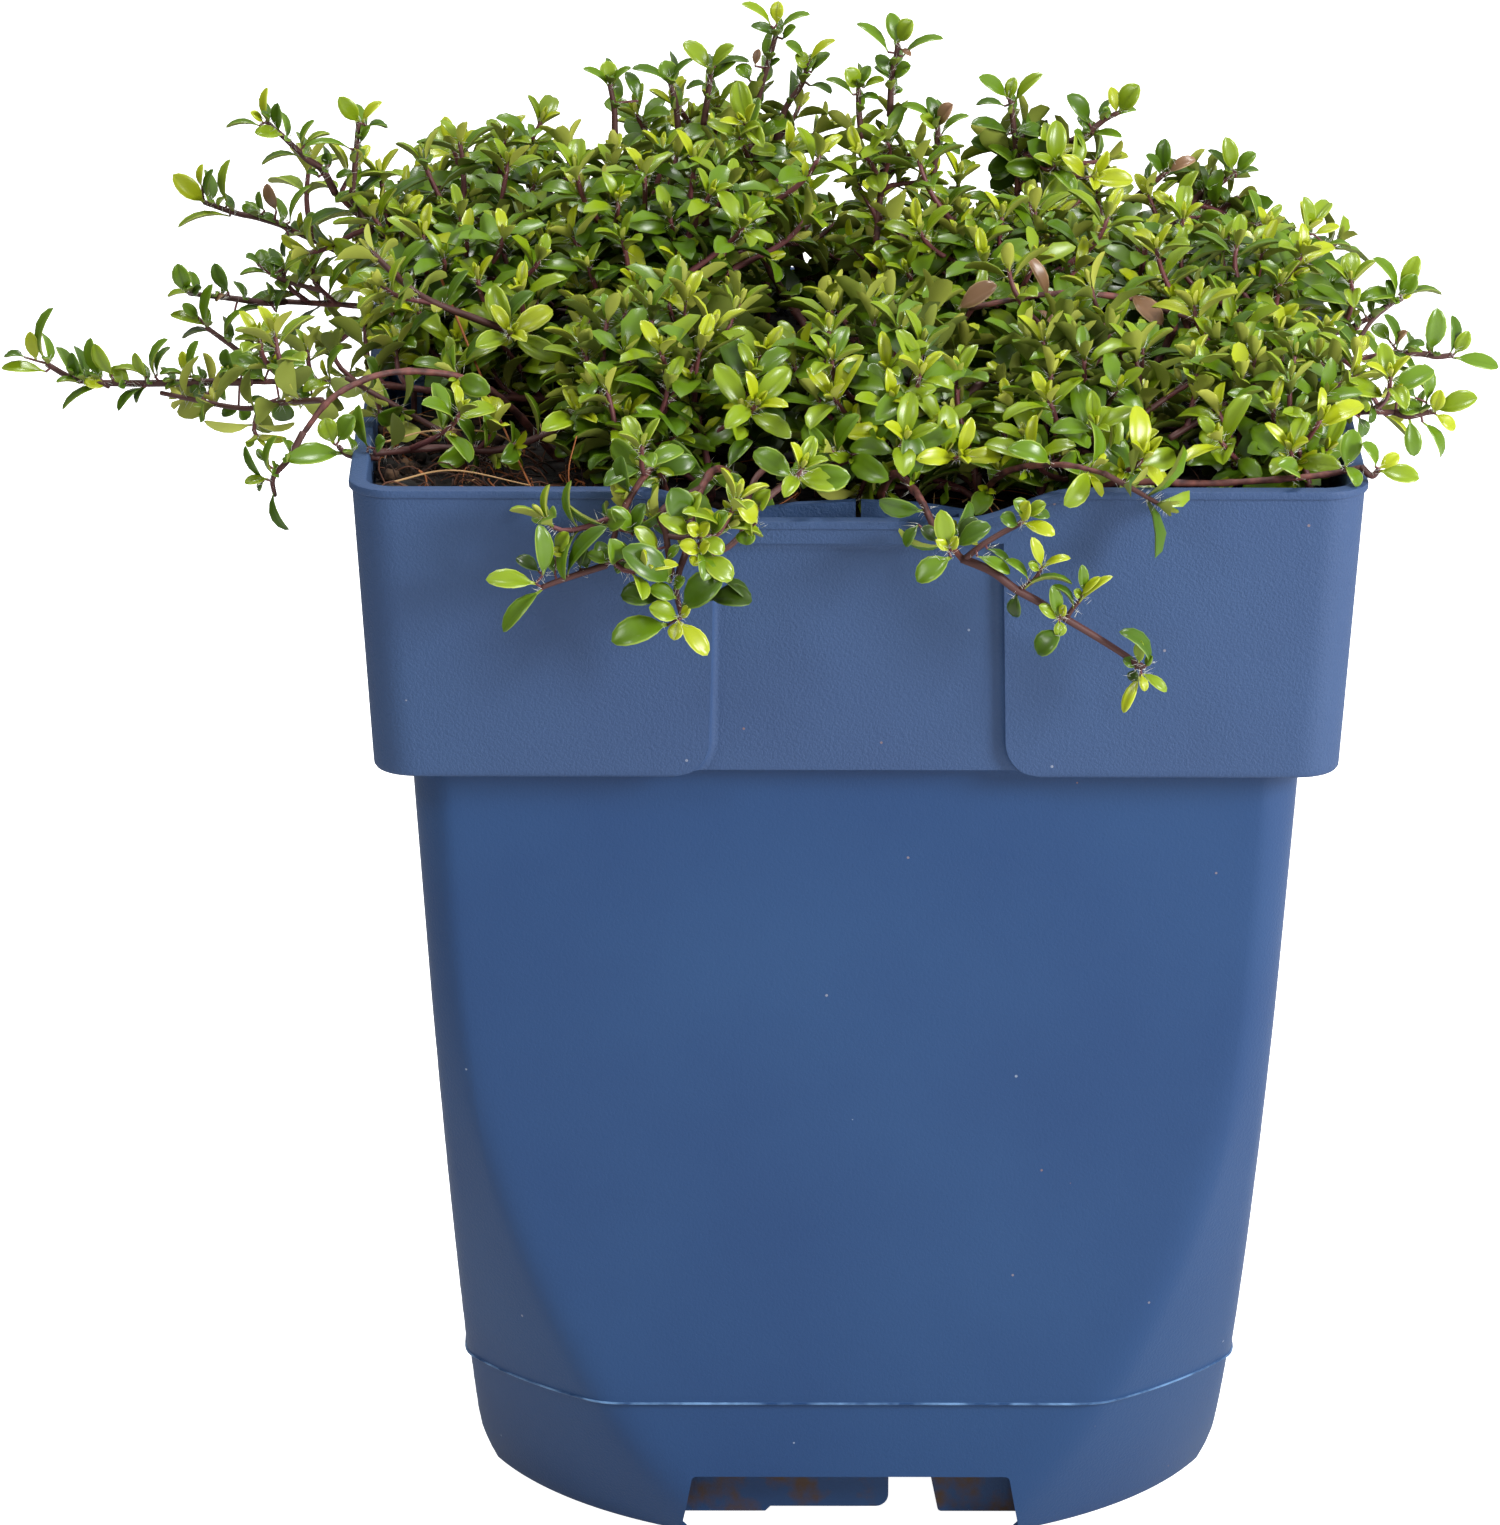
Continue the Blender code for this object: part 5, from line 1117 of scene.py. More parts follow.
        (66.1, 151, 71.1, 150.3, 3, 12, 0.5, FRESH), (66.1, 151.3, 68.7, 153, 2, 12, 0.4, LIME),
        (65.6, 151.6, 63.8, 155, 2.3, 40, 1.4, MID), (61.8, 151.5, 63, 156.1, 3, 12, 0.6, MID),
        (61.7, 151.6, 63.2, 149.3, 2.5, 40, 1.4, MID), (63.1, 150.2, 62.3, 150.7, 1.2, 12, 0.4, LIME),
    ),
    ("right", 23.7): (
        (62.1, 160.6, 61.5, 166.4, 2.3, 40, 1, FRESH), (63, 160.6, 66.6, 161.6, 1.6, 12, 0.4, LIME),
        (61.1, 159.3, 64.9, 158.3, 2.5, 12, 0.6, DEEP), (64.8, 159.1, 68.3, 158.3, 1.8, 52, 1, MID),
        (59.5, 161, 56.9, 163.2, 2.1, 52, 1.4, DEEP), (56.4, 159.6, 55.9, 163.2, 1.9, 28, 0.6, MID),
        (52.1, 159.6, 51.8, 164.5, 2.4, 12, 0.6, MID), (55.9, 161.2, 54.2, 162.3, 1.5, 52, 1, MID),
    ),
    ("left", -48): (
        (-75, 146.6, -74.4, 152.2, 2.2, 55, 1.5, MID), (-76.3, 146.1, -78.6, 150.4, 1.6, 50, 1.0, DEEP),
        (-75.8, 146.1, -78.8, 145.8, 1.7, 14, 0.5, FRESH), (-76.4, 145.7, -76.9, 144.2, 1.2, 14, 0.5, DEEP),
        (-75, 144.4, -73.1, 139.7, 2.2, 55, 1.5, DEEP), (-76.1, 148.3, -77.1, 150, 1.1, 14, 0.5, MID),
    ),
    ("left", -47): (
        (-66.1, 149.2, -73.4, 148.9, 3.6, 12, 0.5, MID), (-67.3, 150.5, -68.4, 153.8, 2.9, 10, 0.6, FRESH),
        (-66.7, 150.8, -64.5, 154.4, 3.2, 10, 0.6, MID), (-62.9, 150.1, -64, 155.4, 2.4, 42, 0.9, MID),
        (-61.9, 149.8, -60.6, 151.4, 2.6, 10, 0.5, DEEP),
    ),
    ("left", 2): (
        (-65.7, 181.2, -68.1, 185.1, 2.4, 12, 0.7, FRESH), (-65.2, 181, -62.5, 183.8, 2.1, 30, 0.9, LIME),
        (-65.5, 178.3, -64, 180.9, 1.4, 20, 0.5, MID), (-64.5, 180.6, -62, 180, 2.2, 42, 1.3, DEEP),
        (-66.9, 177.6, -72.8, 178.3, 1.8, 42, 1, MID), (-66.2, 174.4, -68.8, 173.5, 1.6, 20, 0.6, DEEP),
    ),
    ("top", 20): (
        (-32.7, 181.8, -36.2, 184.7, 1.9, 40, 1, MID), (-32.5, 182, -32.9, 185.3, 2.6, 12, 0.5, FRESH),
        (-32.1, 182.1, -29.6, 184.6, 1.9, 40, 1, MID), (-28.7, 179.9, -30.3, 183.6, 2.2, 28, 0.8, DEEP),
        (-24.6, 182.3, -29.6, 184.7, 2.5, 40, 1, DEEP), (-24.4, 182.1, -25.1, 185.4, 2.8, 12, 0.6, MID),
        (-24.1, 182.6, -21.2, 185.8, 1.8, 40, 1, DEEP), (-19.1, 184.1, -22.5, 187.8, 2.8, 16, 0.8, FRESH),
        (-18.8, 184.5, -15.7, 187.8, 2.6, 20, 0.8, FRESH), (-18.9, 182.7, -15.2, 185.7, 2.8, 24, 0.8, MID),
        (-18.3, 184.6, -13.7, 185.4, 2.2, 45, 1, DEEP), (-19.5, 182.1, -22.1, 181.2, 2.2, 40, 1, DEEP),
    ),
    ("top", 18): (
        (-10.9, 190.8, -14.9, 194.1, 2.2, 38, 1, FRESH), (-10.1, 190.9, -9.8, 194, 2.1, 10, 0.5, LIME),
        (-9.6, 190.3, -5.6, 192.4, 2.3, 42, 1, MID), (-10.1, 189.2, -13.5, 190.5, 2.3, 30, 0.8, DEEP),
        (-9.3, 188.9, -7.5, 190.9, 2, 20, 0.6, MID), (-13, 185.2, -12.4, 187.4, 1.3, 14, 0.4, PINKISH),
        (-11, 185.1, -9.6, 186.3, 1.2, 20, 0.6, DEEP), (-13.7, 183.2, -15.2, 185.1, 2.4, 16, 0.6, MID),
        (-6.5, 186.2, -9, 188.8, 2.2, 32, 0.9, MID), (-5.6, 185.9, -2.1, 188.6, 2.1, 34, 1, LIME),
        (-5.8, 185, -7.6, 187, 2.4, 12, 0.5, FRESH), (-5.4, 184.3, -2.9, 186.7, 2.4, 28, 0.8, MID),
        (-5.6, 182.5, -2.8, 181.7, 2.2, 42, 1.2, DEEP), (-6.5, 183.8, -4.7, 186.9, 1.6, 14, 0.5, MID),
    ),
    ("top", 10): (
        (0.8, 184.1, -1, 187.1, 2.8, 10, 0.5, FRESH), (1.1, 184.4, 2.4, 187, 1.9, 16, 0.5, MID),
        (1.5, 184.1, 4.3, 185.3, 2.1, 34, 0.9, FRESH), (-0, 183.2, -3.6, 184.9, 2, 42, 1, MID),
        (0.8, 182.6, 3.4, 182.9, 2, 40, 1, DEEP), (5.9, 190, 5, 194.3, 2.4, 14, 0.6, MID),
        (6.1, 190.3, 8, 193.5, 3, 10, 0.6, FRESH), (4.7, 189, 0.5, 192.6, 2.2, 38, 1, MID),
        (6.7, 188.4, 12.1, 191.1, 2.5, 42, 1.1, MID), (5.1, 185.7, 3.2, 188.5, 2.2, 14, 0.6, DEEP),
        (5.4, 185.4, 7.8, 187.3, 2.8, 20, 0.7, MID), (5.3, 185, 3, 186.7, 2, 34, 0.8, DEEP),
        (6.5, 189.4, 7.7, 188.8, 1, 20, 0.5, PINKISH), (5.7, 183.2, 6.6, 184, 1.4, 14, 0.4, MID),
    ),
    ("top", 8): (
        (11.5, 179.4, 13.4, 182.7, 2.6, 16, 0.7, PINKISH), (11.3, 179.7, 10.1, 183.3, 2, 20, 0.6, DEEP),
        (10.9, 180, 6.5, 182.4, 2.2, 38, 1, MID), (11.9, 178.2, 15.7, 180.4, 2.3, 42, 1.1, MID),
        (11.1, 178.9, 8.9, 181.2, 2.2, 18, 0.6, FRESH), (11.8, 176.8, 14.4, 175.4, 2.3, 30, 0.9, DEEP),
        (11.4, 177.7, 13.4, 177.2, 1.8, 30, 0.8, FRESH),
    ),
    ("top", 27): (
        (21.2, 178.8, 17.3, 182.1, 2.6, 18, 0.7, MID), (21.5, 178.3, 22.3, 181.5, 2, 12, 0.5, FRESH),
        (22.3, 178.1, 26.1, 182.2, 2.6, 30, 0.8, FRESH), (20.9, 177.6, 17.1, 177.4, 2.3, 42, 1, DEEP),
        (21.5, 173.7, 16.3, 175.6, 2.8, 32, 0.9, DEEP), (22.3, 174.2, 26.4, 173.6, 2.8, 18, 0.7, DEEP),
        (22.4, 169.9, 19.2, 167.8, 3.4, 12, 0.5, DEEP), (22.7, 170.6, 25.5, 169.7, 2.2, 30, 0.8, DEEP),
        (32.4, 175.2, 29.3, 179.6, 3, 20, 0.9, DEEP), (36.1, 176.7, 35.4, 180.2, 1.8, 14, 0.5, LIME),
        (36.5, 176.7, 39.2, 180.7, 3.4, 8, 0.6, FRESH), (36, 176.2, 38.9, 176.7, 2, 34, 0.9, MID),
        (35.1, 176, 34.2, 177.8, 1.6, 16, 0.5, MID), (33, 173.8, 30.9, 176.1, 2, 20, 0.6, DEEP),
        (32.7, 173.6, 36.9, 173.4, 2.2, 36, 0.9, MID),
    ),
    ("top", 25): (
        (42.1, 168.5, 40, 171.8, 2.1, 34, 0.9, DEEP), (42.7, 168.8, 42.8, 173.5, 2.5, 18, 0.7, DEEP),
        (43.2, 168.8, 46.9, 170.8, 2.4, 24, 0.8, PINKISH), (42.6, 168.2, 47.4, 168.5, 2.2, 42, 1, DEEP),
        (51.8, 169.2, 50.8, 174.3, 2.5, 18, 0.8, FRESH), (51.5, 168.9, 48.5, 171.9, 1.9, 40, 1, DEEP),
        (52.4, 168.9, 55.1, 171.7, 2.5, 16, 0.7, MID), (52.3, 168.2, 55.6, 168.8, 2, 40, 1, DEEP),
        (50.3, 167.1, 51.1, 165.2, 1.6, 20, 0.6, DEEP), (47.9, 166.1, 47, 167.7, 1.5, 20, 0.6, DEEP),
    ),
}
SIDE_STEMS = (
    ("left", [(-71.2, -47, 152), (-73.1, -48, 148.7), (-75.1, -48, 146.2), (-74.9, -48, 143.8)], 0.52, 0.3),
    ("left", [(-61.5, -47, 148.7), (-63.8, -47, 148.8), (-65.6, -47, 149.1), (-66.7, -47, 150.2)], 0.5, 0.36),
    ("left", [(-64, 2, 166), (-66.5, 2, 170.4), (-66.3, 2, 174.4), (-66, 2, 177.9), (-65.7, 2, 181.1)], 0.5, 0.34),
    ("left", [(-79, -22, 152), (-84.4, -22.5, 152.1), (-94.3, -22.5, 151.9), (-101.6, -22.5, 152.3), (-105.9, -22.5, 154.5)], 0.62, 0.4),
    ("left", [(-97.7, -23, 151.5), (-99.5, -23, 152.3), (-100.9, -23, 152.3)], 0.3, 0.26),
    ("left", [(-76, 8, 155), (-78.4, 5, 155.6), (-82.9, 5, 156.2), (-85.5, 5, 156.5), (-88.8, 5, 156.9)], 0.55, 0.34),
    ("left", [(-74.2, 2, 146.8), (-77.4, 2, 147.8), (-81.3, 2, 149.3), (-83.5, 2, 150.9), (-86.3, 2, 153)], 0.5, 0.36),
    ("left", [(-70.8, 2, 158.1), (-72.7, 2, 158.6), (-75.3, 2, 159.3), (-77.6, 2, 160.3)], 0.4, 0.32),
    ("left", [(-76, 20, 162), (-76.9, 17, 163.4), (-80.2, 17, 164.4), (-83.1, 17, 165), (-87.3, 17, 166.5)], 0.55, 0.36),
    ("left", [(-69, 4, 171), (-70.6, 3, 174.4), (-72.5, 3, 175.8), (-73.5, 3, 176.7), (-75.9, 3, 179.1), (-78, 3, 181)], 0.55, 0.34),
    ("right", [(69, -3, 156), (70.2, -3.5, 157), (71.9, -3.5, 158.3), (73, -3.5, 158.7)], 0.55, 0.4),
    ("right", [(67.4, -8, 154.7), (69, -6, 156.4), (71.9, -3.5, 158.3)], 0.34, 0.3),
    ("right", [(70, -16.5, 154.5), (72.4, -18, 155), (74.7, -18, 155), (76.7, -18, 154.6), (78.7, -18, 154.8)], 0.55, 0.38),
    ("right", [(70, -35.5, 151.8), (71.7, -36, 151.4), (74, -36, 151.9), (75.1, -36, 152)], 0.55, 0.38),
    ("right", [(64, -59, 151), (65.2, -60.3, 150.2), (66.1, -60.3, 151)], 0.5, 0.4),
    ("right", [(59.2, 24, 158.1), (61.1, 24, 159.3), (62.2, 24, 160.5)], 0.5, 0.38),
    ("right", [(54.2, 24, 158.1), (56.4, 24, 159.5), (57.7, 24, 160.2), (59.5, 24, 160.9)], 0.45, 0.32),
    ("top", [(-31.9, 20, 175.3), (-32, 20, 179), (-32.6, 20, 182.1)], 0.5, 0.36),
    ("top", [(-23.3, 20, 175.3), (-23.7, 20, 179.6), (-24.4, 20, 182.2)], 0.5, 0.36),
    ("top", [(-19.9, 20, 176.6), (-19.2, 20, 181.5), (-18.9, 20, 184.1)], 0.5, 0.36),
    ("top", [(-13.4, 18, 175.8), (-12.3, 18, 181.7), (-11, 18, 186.3), (-10.1, 18, 189.9)], 0.5, 0.36),
    ("top", [(-10.5, 18, 173.4), (-8.9, 18, 179.2), (-6.7, 18, 182.6), (-5.8, 18, 185.7)], 0.5, 0.36),
    ("top", [(1.2, 10, 177.2), (0.8, 10, 181.5), (0.8, 10, 184)], 0.5, 0.36),
    ("top", [(5, 10, 180.2), (5.2, 10, 185.1), (5.8, 10, 188.5), (6, 10, 190.1)], 0.5, 0.36),
    ("top", [(10.8, 8, 172.2), (11.3, 8, 176.5), (11.4, 8, 179.5)], 0.5, 0.36),
    ("top", [(23.1, 27, 166.3), (22.5, 27, 171.9), (21.8, 27, 177.5), (21.6, 27, 178.4)], 0.5, 0.36),
    ("top", [(28.5, 27, 171.9), (32.4, 27, 174.1), (34.6, 27, 175.8), (36.3, 27, 176.7)], 0.5, 0.36),
    ("top", [(38.2, 25, 164.9), (41.4, 25, 167.6), (42.7, 25, 168.8)], 0.5, 0.36),
    ("top", [(45.8, 25, 164), (47.9, 25, 166.2), (50.3, 25, 167.4), (52, 25, 169.1)], 0.5, 0.36),
)
LEANS = (-1.6, 0.6, -0.8, 1.4)
SET_FOLD = 15
DEPTH_GAP = 3.4
STALK = 0.17
OUTWARD = {"left": (-0.8, 0, 0.6), "right": (0.8, 0, 0.6), "top": (0, 0, 1)}
TO_CAMERA = unit(np.array((-0.1, -0.8, 0.6)))


def set_leaf(zone, root, tip, wide, roll, bend, shade, toward=(0, 0, 1)):
    """A leaf from its root to its tip, facing the camera, or rolled from there towards its shoot's tip."""
    chord = np.subtract(tip, root)
    far = np.linalg.norm(chord)
    chord = chord / far
    face = unit(TO_CAMERA - chord * (TO_CAMERA @ chord))
    other = np.cross(chord, face)
    other = other if other @ np.array(toward) > 0 else -other
    face = face * math.cos(math.radians(roll)) + other * math.sin(math.radians(roll))
    along = chord * math.cos(bend / 2) + face * math.sin(bend / 2)
    up = face * math.cos(bend / 2) - chord * math.sin(bend / 2)
    long = far * bend / (2 * math.sin(bend / 2))
    row = [*root, *along, *np.cross(up, along), *up, long, wide, bend, math.radians(SET_FOLD), 0.02, shade]
    zone["fine"].append(np.array(row))
    zone["nodes"].append((np.array(root, float), along, face, 0.4))


def add_stalk(zone, root):
    """A short stalk from the nearest wood to a leaf's root."""
    wood = np.vstack([stem for stem, _, _ in zone["stems"]] + [path for path, _ in LIMB_PATHS.values()])
    base = wood[np.argmin(np.linalg.norm(wood - root, axis=1))]
    zone["stems"].append((np.linspace(base, root, 3), np.full(3, STALK), 0))


def leaves_in_depth(zone, stem, rng):
    """Leaves that point away from the camera and towards it, so that the shoot is full from its other sides."""
    arc = np.hstack([0, np.cumsum(np.linalg.norm(np.diff(stem, axis=0), axis=1))])
    for at in np.arange(DEPTH_GAP, arc[-1] + 0.1, DEPTH_GAP):
        place, axis = point_on(stem, arc, min(at, arc[-1]))
        for back, far in ((1, rng.uniform(4, 6.5)), (-1, rng.uniform(2.5, 4))):
            out = unit(np.array((0.0, back, 0.0)) + axis * rng.uniform(0, 0.5) + (0, 0, rng.uniform(0.1, 0.7)))
            set_leaf(zone, place, place + out * far, far * 0.42, rng.uniform(40, 70), 0.6, int(rng.integers(MID, DARK)))


for points, thick, thin in FRONT_STEMS:
    stem = smooth_path([np.array(point, float) for point in points], 6)
    grown["front_hanging"]["stems"].append((stem, np.linspace(thick, thin, len(stem)), 1))
for root, *form in FRONT_LEAVES:
    set_leaf(grown["front_hanging"], root, *form)
    add_stalk(grown["front_hanging"], np.array(root, float))
rng = np.random.default_rng(71)
for zone_name, points, thick, thin in SIDE_STEMS:
    stem = smooth_path([np.array(point, float) for point in points], 6)
    grown[zone_name]["stems"].append((stem, np.linspace(thick, thin, len(stem)), 1))
    leaves_in_depth(grown[zone_name], stem, rng)
for (zone_name, depth), rows in SIDE_LEAVES.items():
    zone = grown[zone_name]
    for number, (x, z, tip_x, tip_z, *form) in enumerate(rows):
        root = np.array((x, depth, z), float)
        set_leaf(zone, root, (tip_x, depth + LEANS[number % 4], tip_z), *form, OUTWARD[zone_name])
        add_stalk(zone, root)
print("leaves set one by one:", len(FRONT_LEAVES) + len(ARCH_LEAVES) + sum(map(len, SIDE_LEAVES.values())))

# %% [markdown]
# The limbs carry leaves and small tufts of their own, fewer where the photograph shows bare stem.

# %% Leaves on the limbs
BARE = {
    "limb_rim_runner": 0.7, "limb_left_long": 0.75, "limb_left_mid": 0.6, "limb_left_up": 0.5, "limb_left_top": 0.4,
    "limb_left_droop": 0.85, "limb_right_mid": 0.4, "limb_right_far": 0.4, "limb_right_low": 0.4,
}
SIDE_SHOOT_GAP = 5.0
SIDE_SHOOTS_FROM = {"limb_left_long": 0.5}
FEW_SIDE_SHOOTS = ("limb_arch", "limb_rim_runner", "limb_front_hop", "limb_left_droop")
RUNNERS = (
    ([(17, -38, 157), (12, -43, 154.4), (3, -50, 151), (-4, -58, 150.6), (-9.5, -65.5, 150.4), (-14, -69.5, 147.4)], 0.62, 0.42),
    ([(-62, -48, 149.6), (-54, -42, 148.6), (-46, -43.6, 148.8), (-37, -43, 152)], 0.5, 0.5),
    ([(-66, -38.6, 157), (-59, -37, 152.4), (-53.3, -38, 149.4), (-47, -42, 147.4)], 0.34, 0.5),
    ([(24, -57, 150.4), (32.3, -50, 152.6), (39.6, -44, 155.9), (44.4, -38, 158)], 0.5, 0.36),
    ([(40, -50, 152.3), (45.3, -46, 154.5), (51.3, -42, 157.4)], 0.48, 0.34),
    ([(52, -50, 151.2), (57, -44, 154), (61.3, -38, 156.3)], 0.48, 0.34),
    ([(-69, -42, 155), (-74.7, -34, 152.4), (-80.1, -30, 150.6), (-90.9, -24, 151)], 0.45, 0.34),
    ([(-39, -24, 157), (-49, -28, 162), (-55.5, -30, 165.2), (-59.3, -28, 167.4), (-63.1, -25, 170.4)], 0.6, 0.4),
    ([(40.2, -12.6, 159.6), (44.5, -12.6, 158.4), (50, -12, 156)], 0.5, 0.4),
)


def side_shoots(path, rng, zone, start, gap, scale):
    """Short leafy shoots along a limb, from a share of its length to its tip."""
    arc = np.hstack([0, np.cumsum(np.linalg.norm(np.diff(path, axis=0), axis=1))])
    at = arc[-1] * start
    while at < arc[-1] - 1:
        place, axis = point_on(path, arc, at)
        out = unit(np.cross(axis, rng.normal(size=3)) + (0, 0, 0.35))
        reach = rng.uniform(4, 11)
        tip = place + unit(out + axis * rng.uniform(0.2, 0.9)) * reach
        shoot = curve_between(place, unit(axis + out), tip, unit(out + (0, 0, 0.7)))
        if (clear_of_pot(shoot, 0.4)).all() and clear_of_limbs(shoot[-2:], 1.5).all():
            radii = twig_radii(shoot, 0.42)
            zone["stems"].append((shoot, radii, 0))
            dress_shoot(None, shoot, radii, rng, zone, scale=scale)
        at += gap * rng.uniform(0.6, 1.4)


limb_zone = {"fine": [], "plain": [], "nodes": [], "stems": []}
for number, (name, (path, radii)) in enumerate(LIMB_PATHS.items()):
    rng = np.random.default_rng(40 + number)
    if name == "limb_arch":
        for row in ARCH_LEAVES:
            set_leaf(limb_zone, *row)
        continue
    dress_shoot(None, path, radii, rng, limb_zone, whole=False, sparse=BARE.get(name, 0.1))
    if name not in FEW_SIDE_SHOOTS:
        side_shoots(path, rng, limb_zone, SIDE_SHOOTS_FROM.get(name, 0.45), SIDE_SHOOT_GAP, 1.0)
for number, (points, start, end) in enumerate(RUNNERS):
    rng = np.random.default_rng(80 + number)
    path = smooth_path(points, 7)
    radii = np.linspace(start, end, len(path))
    limb_zone["stems"].append((path, radii, 1))
    dress_shoot(None, path, radii, rng, limb_zone, whole=number in (0, 1, 2, 7), sparse=0.3)
    if number != 8:
        side_shoots(path, rng, limb_zone, 0.2, 13, 1.0)
grown["limbs"] = limb_zone
print("leaves on limbs:", len(limb_zone["fine"]) + len(limb_zone["plain"]))

# %% [markdown]
# Leaf colours are dealt out leaf by leaf from six shades. Each shade is three plain finishes: the waxy blade, the
# thin pale margin, which also serves as a painted highlight along the rim, and the dull paler underside. A waxy
# cuticle gives a clear, slightly blurred gloss.

# %% Leaf finishes
SHADES = (
    ("lime", "#A3AF18", "#C2CB55", "#B0B348"),
    ("fresh", "#7C9414", "#A0B13C", "#9DA440"),
    ("mid", "#5C7C10", "#859D37", "#889337"),
    ("deep", "#46650E", "#6C8730", "#758130"),
    ("dark", "#334A0C", "#516A26", "#5E6A28"),
    ("pinkish", "#8C6A4E", "#AE9068", "#A0805F"),
)


def leaf_finishes():
    made = []
    for shade, blade, margin, underside in SHADES:
        made.append(new_material(f"waxy thyme leaf {shade}", Base_Color=linear(blade), Roughness=0.3, IOR=1.48)[0])
        # The margin finish is the leaf's pale edge and also a painted highlight where the rim catches light.
        made.append(new_material(f"leaf margin and painted rim highlight {shade}", Base_Color=linear(margin), Roughness=0.5)[0])
        made.append(new_material(f"leaf underside {shade}", Base_Color=linear(underside), Roughness=0.7)[0])
    return made


LEAF_LOOKS = leaf_finishes()


SEEN_SINGLY = ("left", "top", "right", "front_hanging", "limbs")


def leaf_heap(zone, best):
    heap = Heap()
    for name in ("fine", "plain"):
        if not zone[name]:
            continue
        rows = np.array(zone[name])
        kind = "best" if best and name == "fine" else name
        _, triangles, parts, rim = TEMPLATES[kind]
        corners = leaf_corners(rows, kind)
        count, each = corners.shape[:2]
        many = (triangles[None] + np.arange(count)[:, None, None] * each).reshape(-1, 3)
        looks = (rows[:, 17].astype(int)[:, None] * 3 + parts[None]).ravel()
        rims = (np.arange(count)[:, None] * each + np.array(rim)[None]).ravel()
        heap.add(corners.reshape(-1, 3), many, looks, rims)
    return heap


for zone_name, zone in grown.items():
    joined(f"leaves_{zone_name}", leaf_heap(zone, zone_name in SEEN_SINGLY), LEAF_LOOKS, ZONES.get(zone_name, ()))
print({name: count for name, count in PIECES.items()})

# %% [markdown]
# Twigs are reddish brown, brighter and pinker near their tips. They are plain colours too, on five-sided stems.

# %% Twigs
young_stem, _, _ = new_material("young thyme stem", Base_Color=linear("#6B3A3C"), Roughness=0.5)
old_stem, _, _ = new_material("older thyme stem", Base_Color=linear("#4E2B27"), Roughness=0.6)
for zone_name, zone in grown.items():
    if not zone["stems"]:
        continue
    heap = Heap()
    for path, radii, look in zone["stems"]:
        corners, triangles = stem_rings(path, radii, 5)
        heap.add(corners, triangles, look)
    joined(f"twigs_{zone_name}", heap, [young_stem, old_stem], ZONES.get(zone_name, ()))
print({name: count for name, count in PIECES.items() if name.startswith("twigs")})

# %% [markdown]
# Fine white hairs stand at the leaf nodes and catch the light. Each is a spike of four triangles. Real ones are
# a fiftieth of a millimetre thick, and these are drawn three times as thick so that they show at all.

# %% Hairs
HAIR_RADIUS = 0.036
HAIRS_A_NODE = {"hairs_outer": 5, "hairs_crown": 3}


def hair_heap(nodes, each, seed):
    rng = np.random.default_rng(seed)
    place, axis, side, radius = (np.array([n[i] for n in nodes]) for i in range(4))
    count = len(nodes) * each
    place, axis, side = (np.repeat(v, each, 0) for v in (place, axis, side))
    radius = np.repeat(radius, each)[:, None]
    out = unit(side + np.cross(axis, side) * rng.normal(0, 0.9, (count, 1)))
    head = unit(out + axis * rng.normal(0.25, 0.45, (count, 1)))
    root = place + out * radius * 0.8 + axis * rng.normal(0, 0.6, (count, 1))
    long = rng.uniform(0.8, 1.8, (count, 1))
    first = unit(np.cross(head, axis + 0.01)) * HAIR_RADIUS
    second = np.cross(head, first)
    three = [root + first * math.cos(a) + second * math.sin(a) for a in (0, 2.094, 4.189)]
    corners = np.stack(three + [root + head * long], 1)
    spike = np.array([(0, 1, 3), (1, 2, 3), (2, 0, 3), (0, 2, 1)])
    heap = Heap()
    many = (spike[None] + np.arange(count)[:, None, None] * 4).reshape(-1, 3)
    heap.add(corners.reshape(-1, 3), many, 0)
    return heap


hair_look, _, _ = new_material("plant hair", Base_Color=linear("#E9E9DF"), Roughness=0.6)
halves = {"hairs_outer": ("left", "top", "right", "front_hanging", "back_hanging", "limbs"), "hairs_crown": ("back", "middle", "front")}
for number, (name, zone_names) in enumerate(halves.items()):
    nodes = [node for zone_name in zone_names for node in grown[zone_name]["nodes"]]
    owners = [member for zone_name in zone_names for member in ZONES.get(zone_name, ())]
    joined(name, hair_heap(nodes, HAIRS_A_NODE[name], 90 + number), [hair_look], owners)
print({name: count for name, count in PIECES.items() if name.startswith("hairs")})

# %% [markdown]
# The limbs are older wood. Their bark is drawn as real relief: low ridges along the stem, a swelling at each leaf
# node and small rough flakes.

# %% Limbs with bark
def bark_relief(path, sides, rng):
    arc = np.hstack([0, np.cumsum(np.linalg.norm(np.diff(path, axis=0), axis=1))])
    turn = np.arange(sides) * 2 * np.pi / sides
    ridges = 0.06 * np.cos(4 * turn[None, :] + 0.12 * arc[:, None])
    knots = 0.22 * np.exp(-((arc[:, None] % 6.3 - 3.1) / 0.7) ** 2)
    return 1 + ridges + knots + rng.normal(0, 0.045, (len(path), sides))


def thyme_bark():
    made, tree, shader = new_material("thyme bark", Roughness=0.62)
    place = add_node(tree, "ShaderNodeTexCoord")
    streaks = add_node(tree, "ShaderNodeTexNoise", Vector=place.outputs["Object"], Scale=650.0, Detail=3.0)
    tint = add_node(tree, "ShaderNodeValToRGB", Fac=streaks.outputs["Fac"])
    tint.color_ramp.elements[0].position = 0.35
    tint.color_ramp.elements[0].color = linear("#38191A")
    tint.color_ramp.elements[1].position = 0.68
    tint.color_ramp.elements[1].color = linear("#7A473F")
    tree.links.new(tint.outputs["Color"], shader.inputs["Base Color"])
    return made


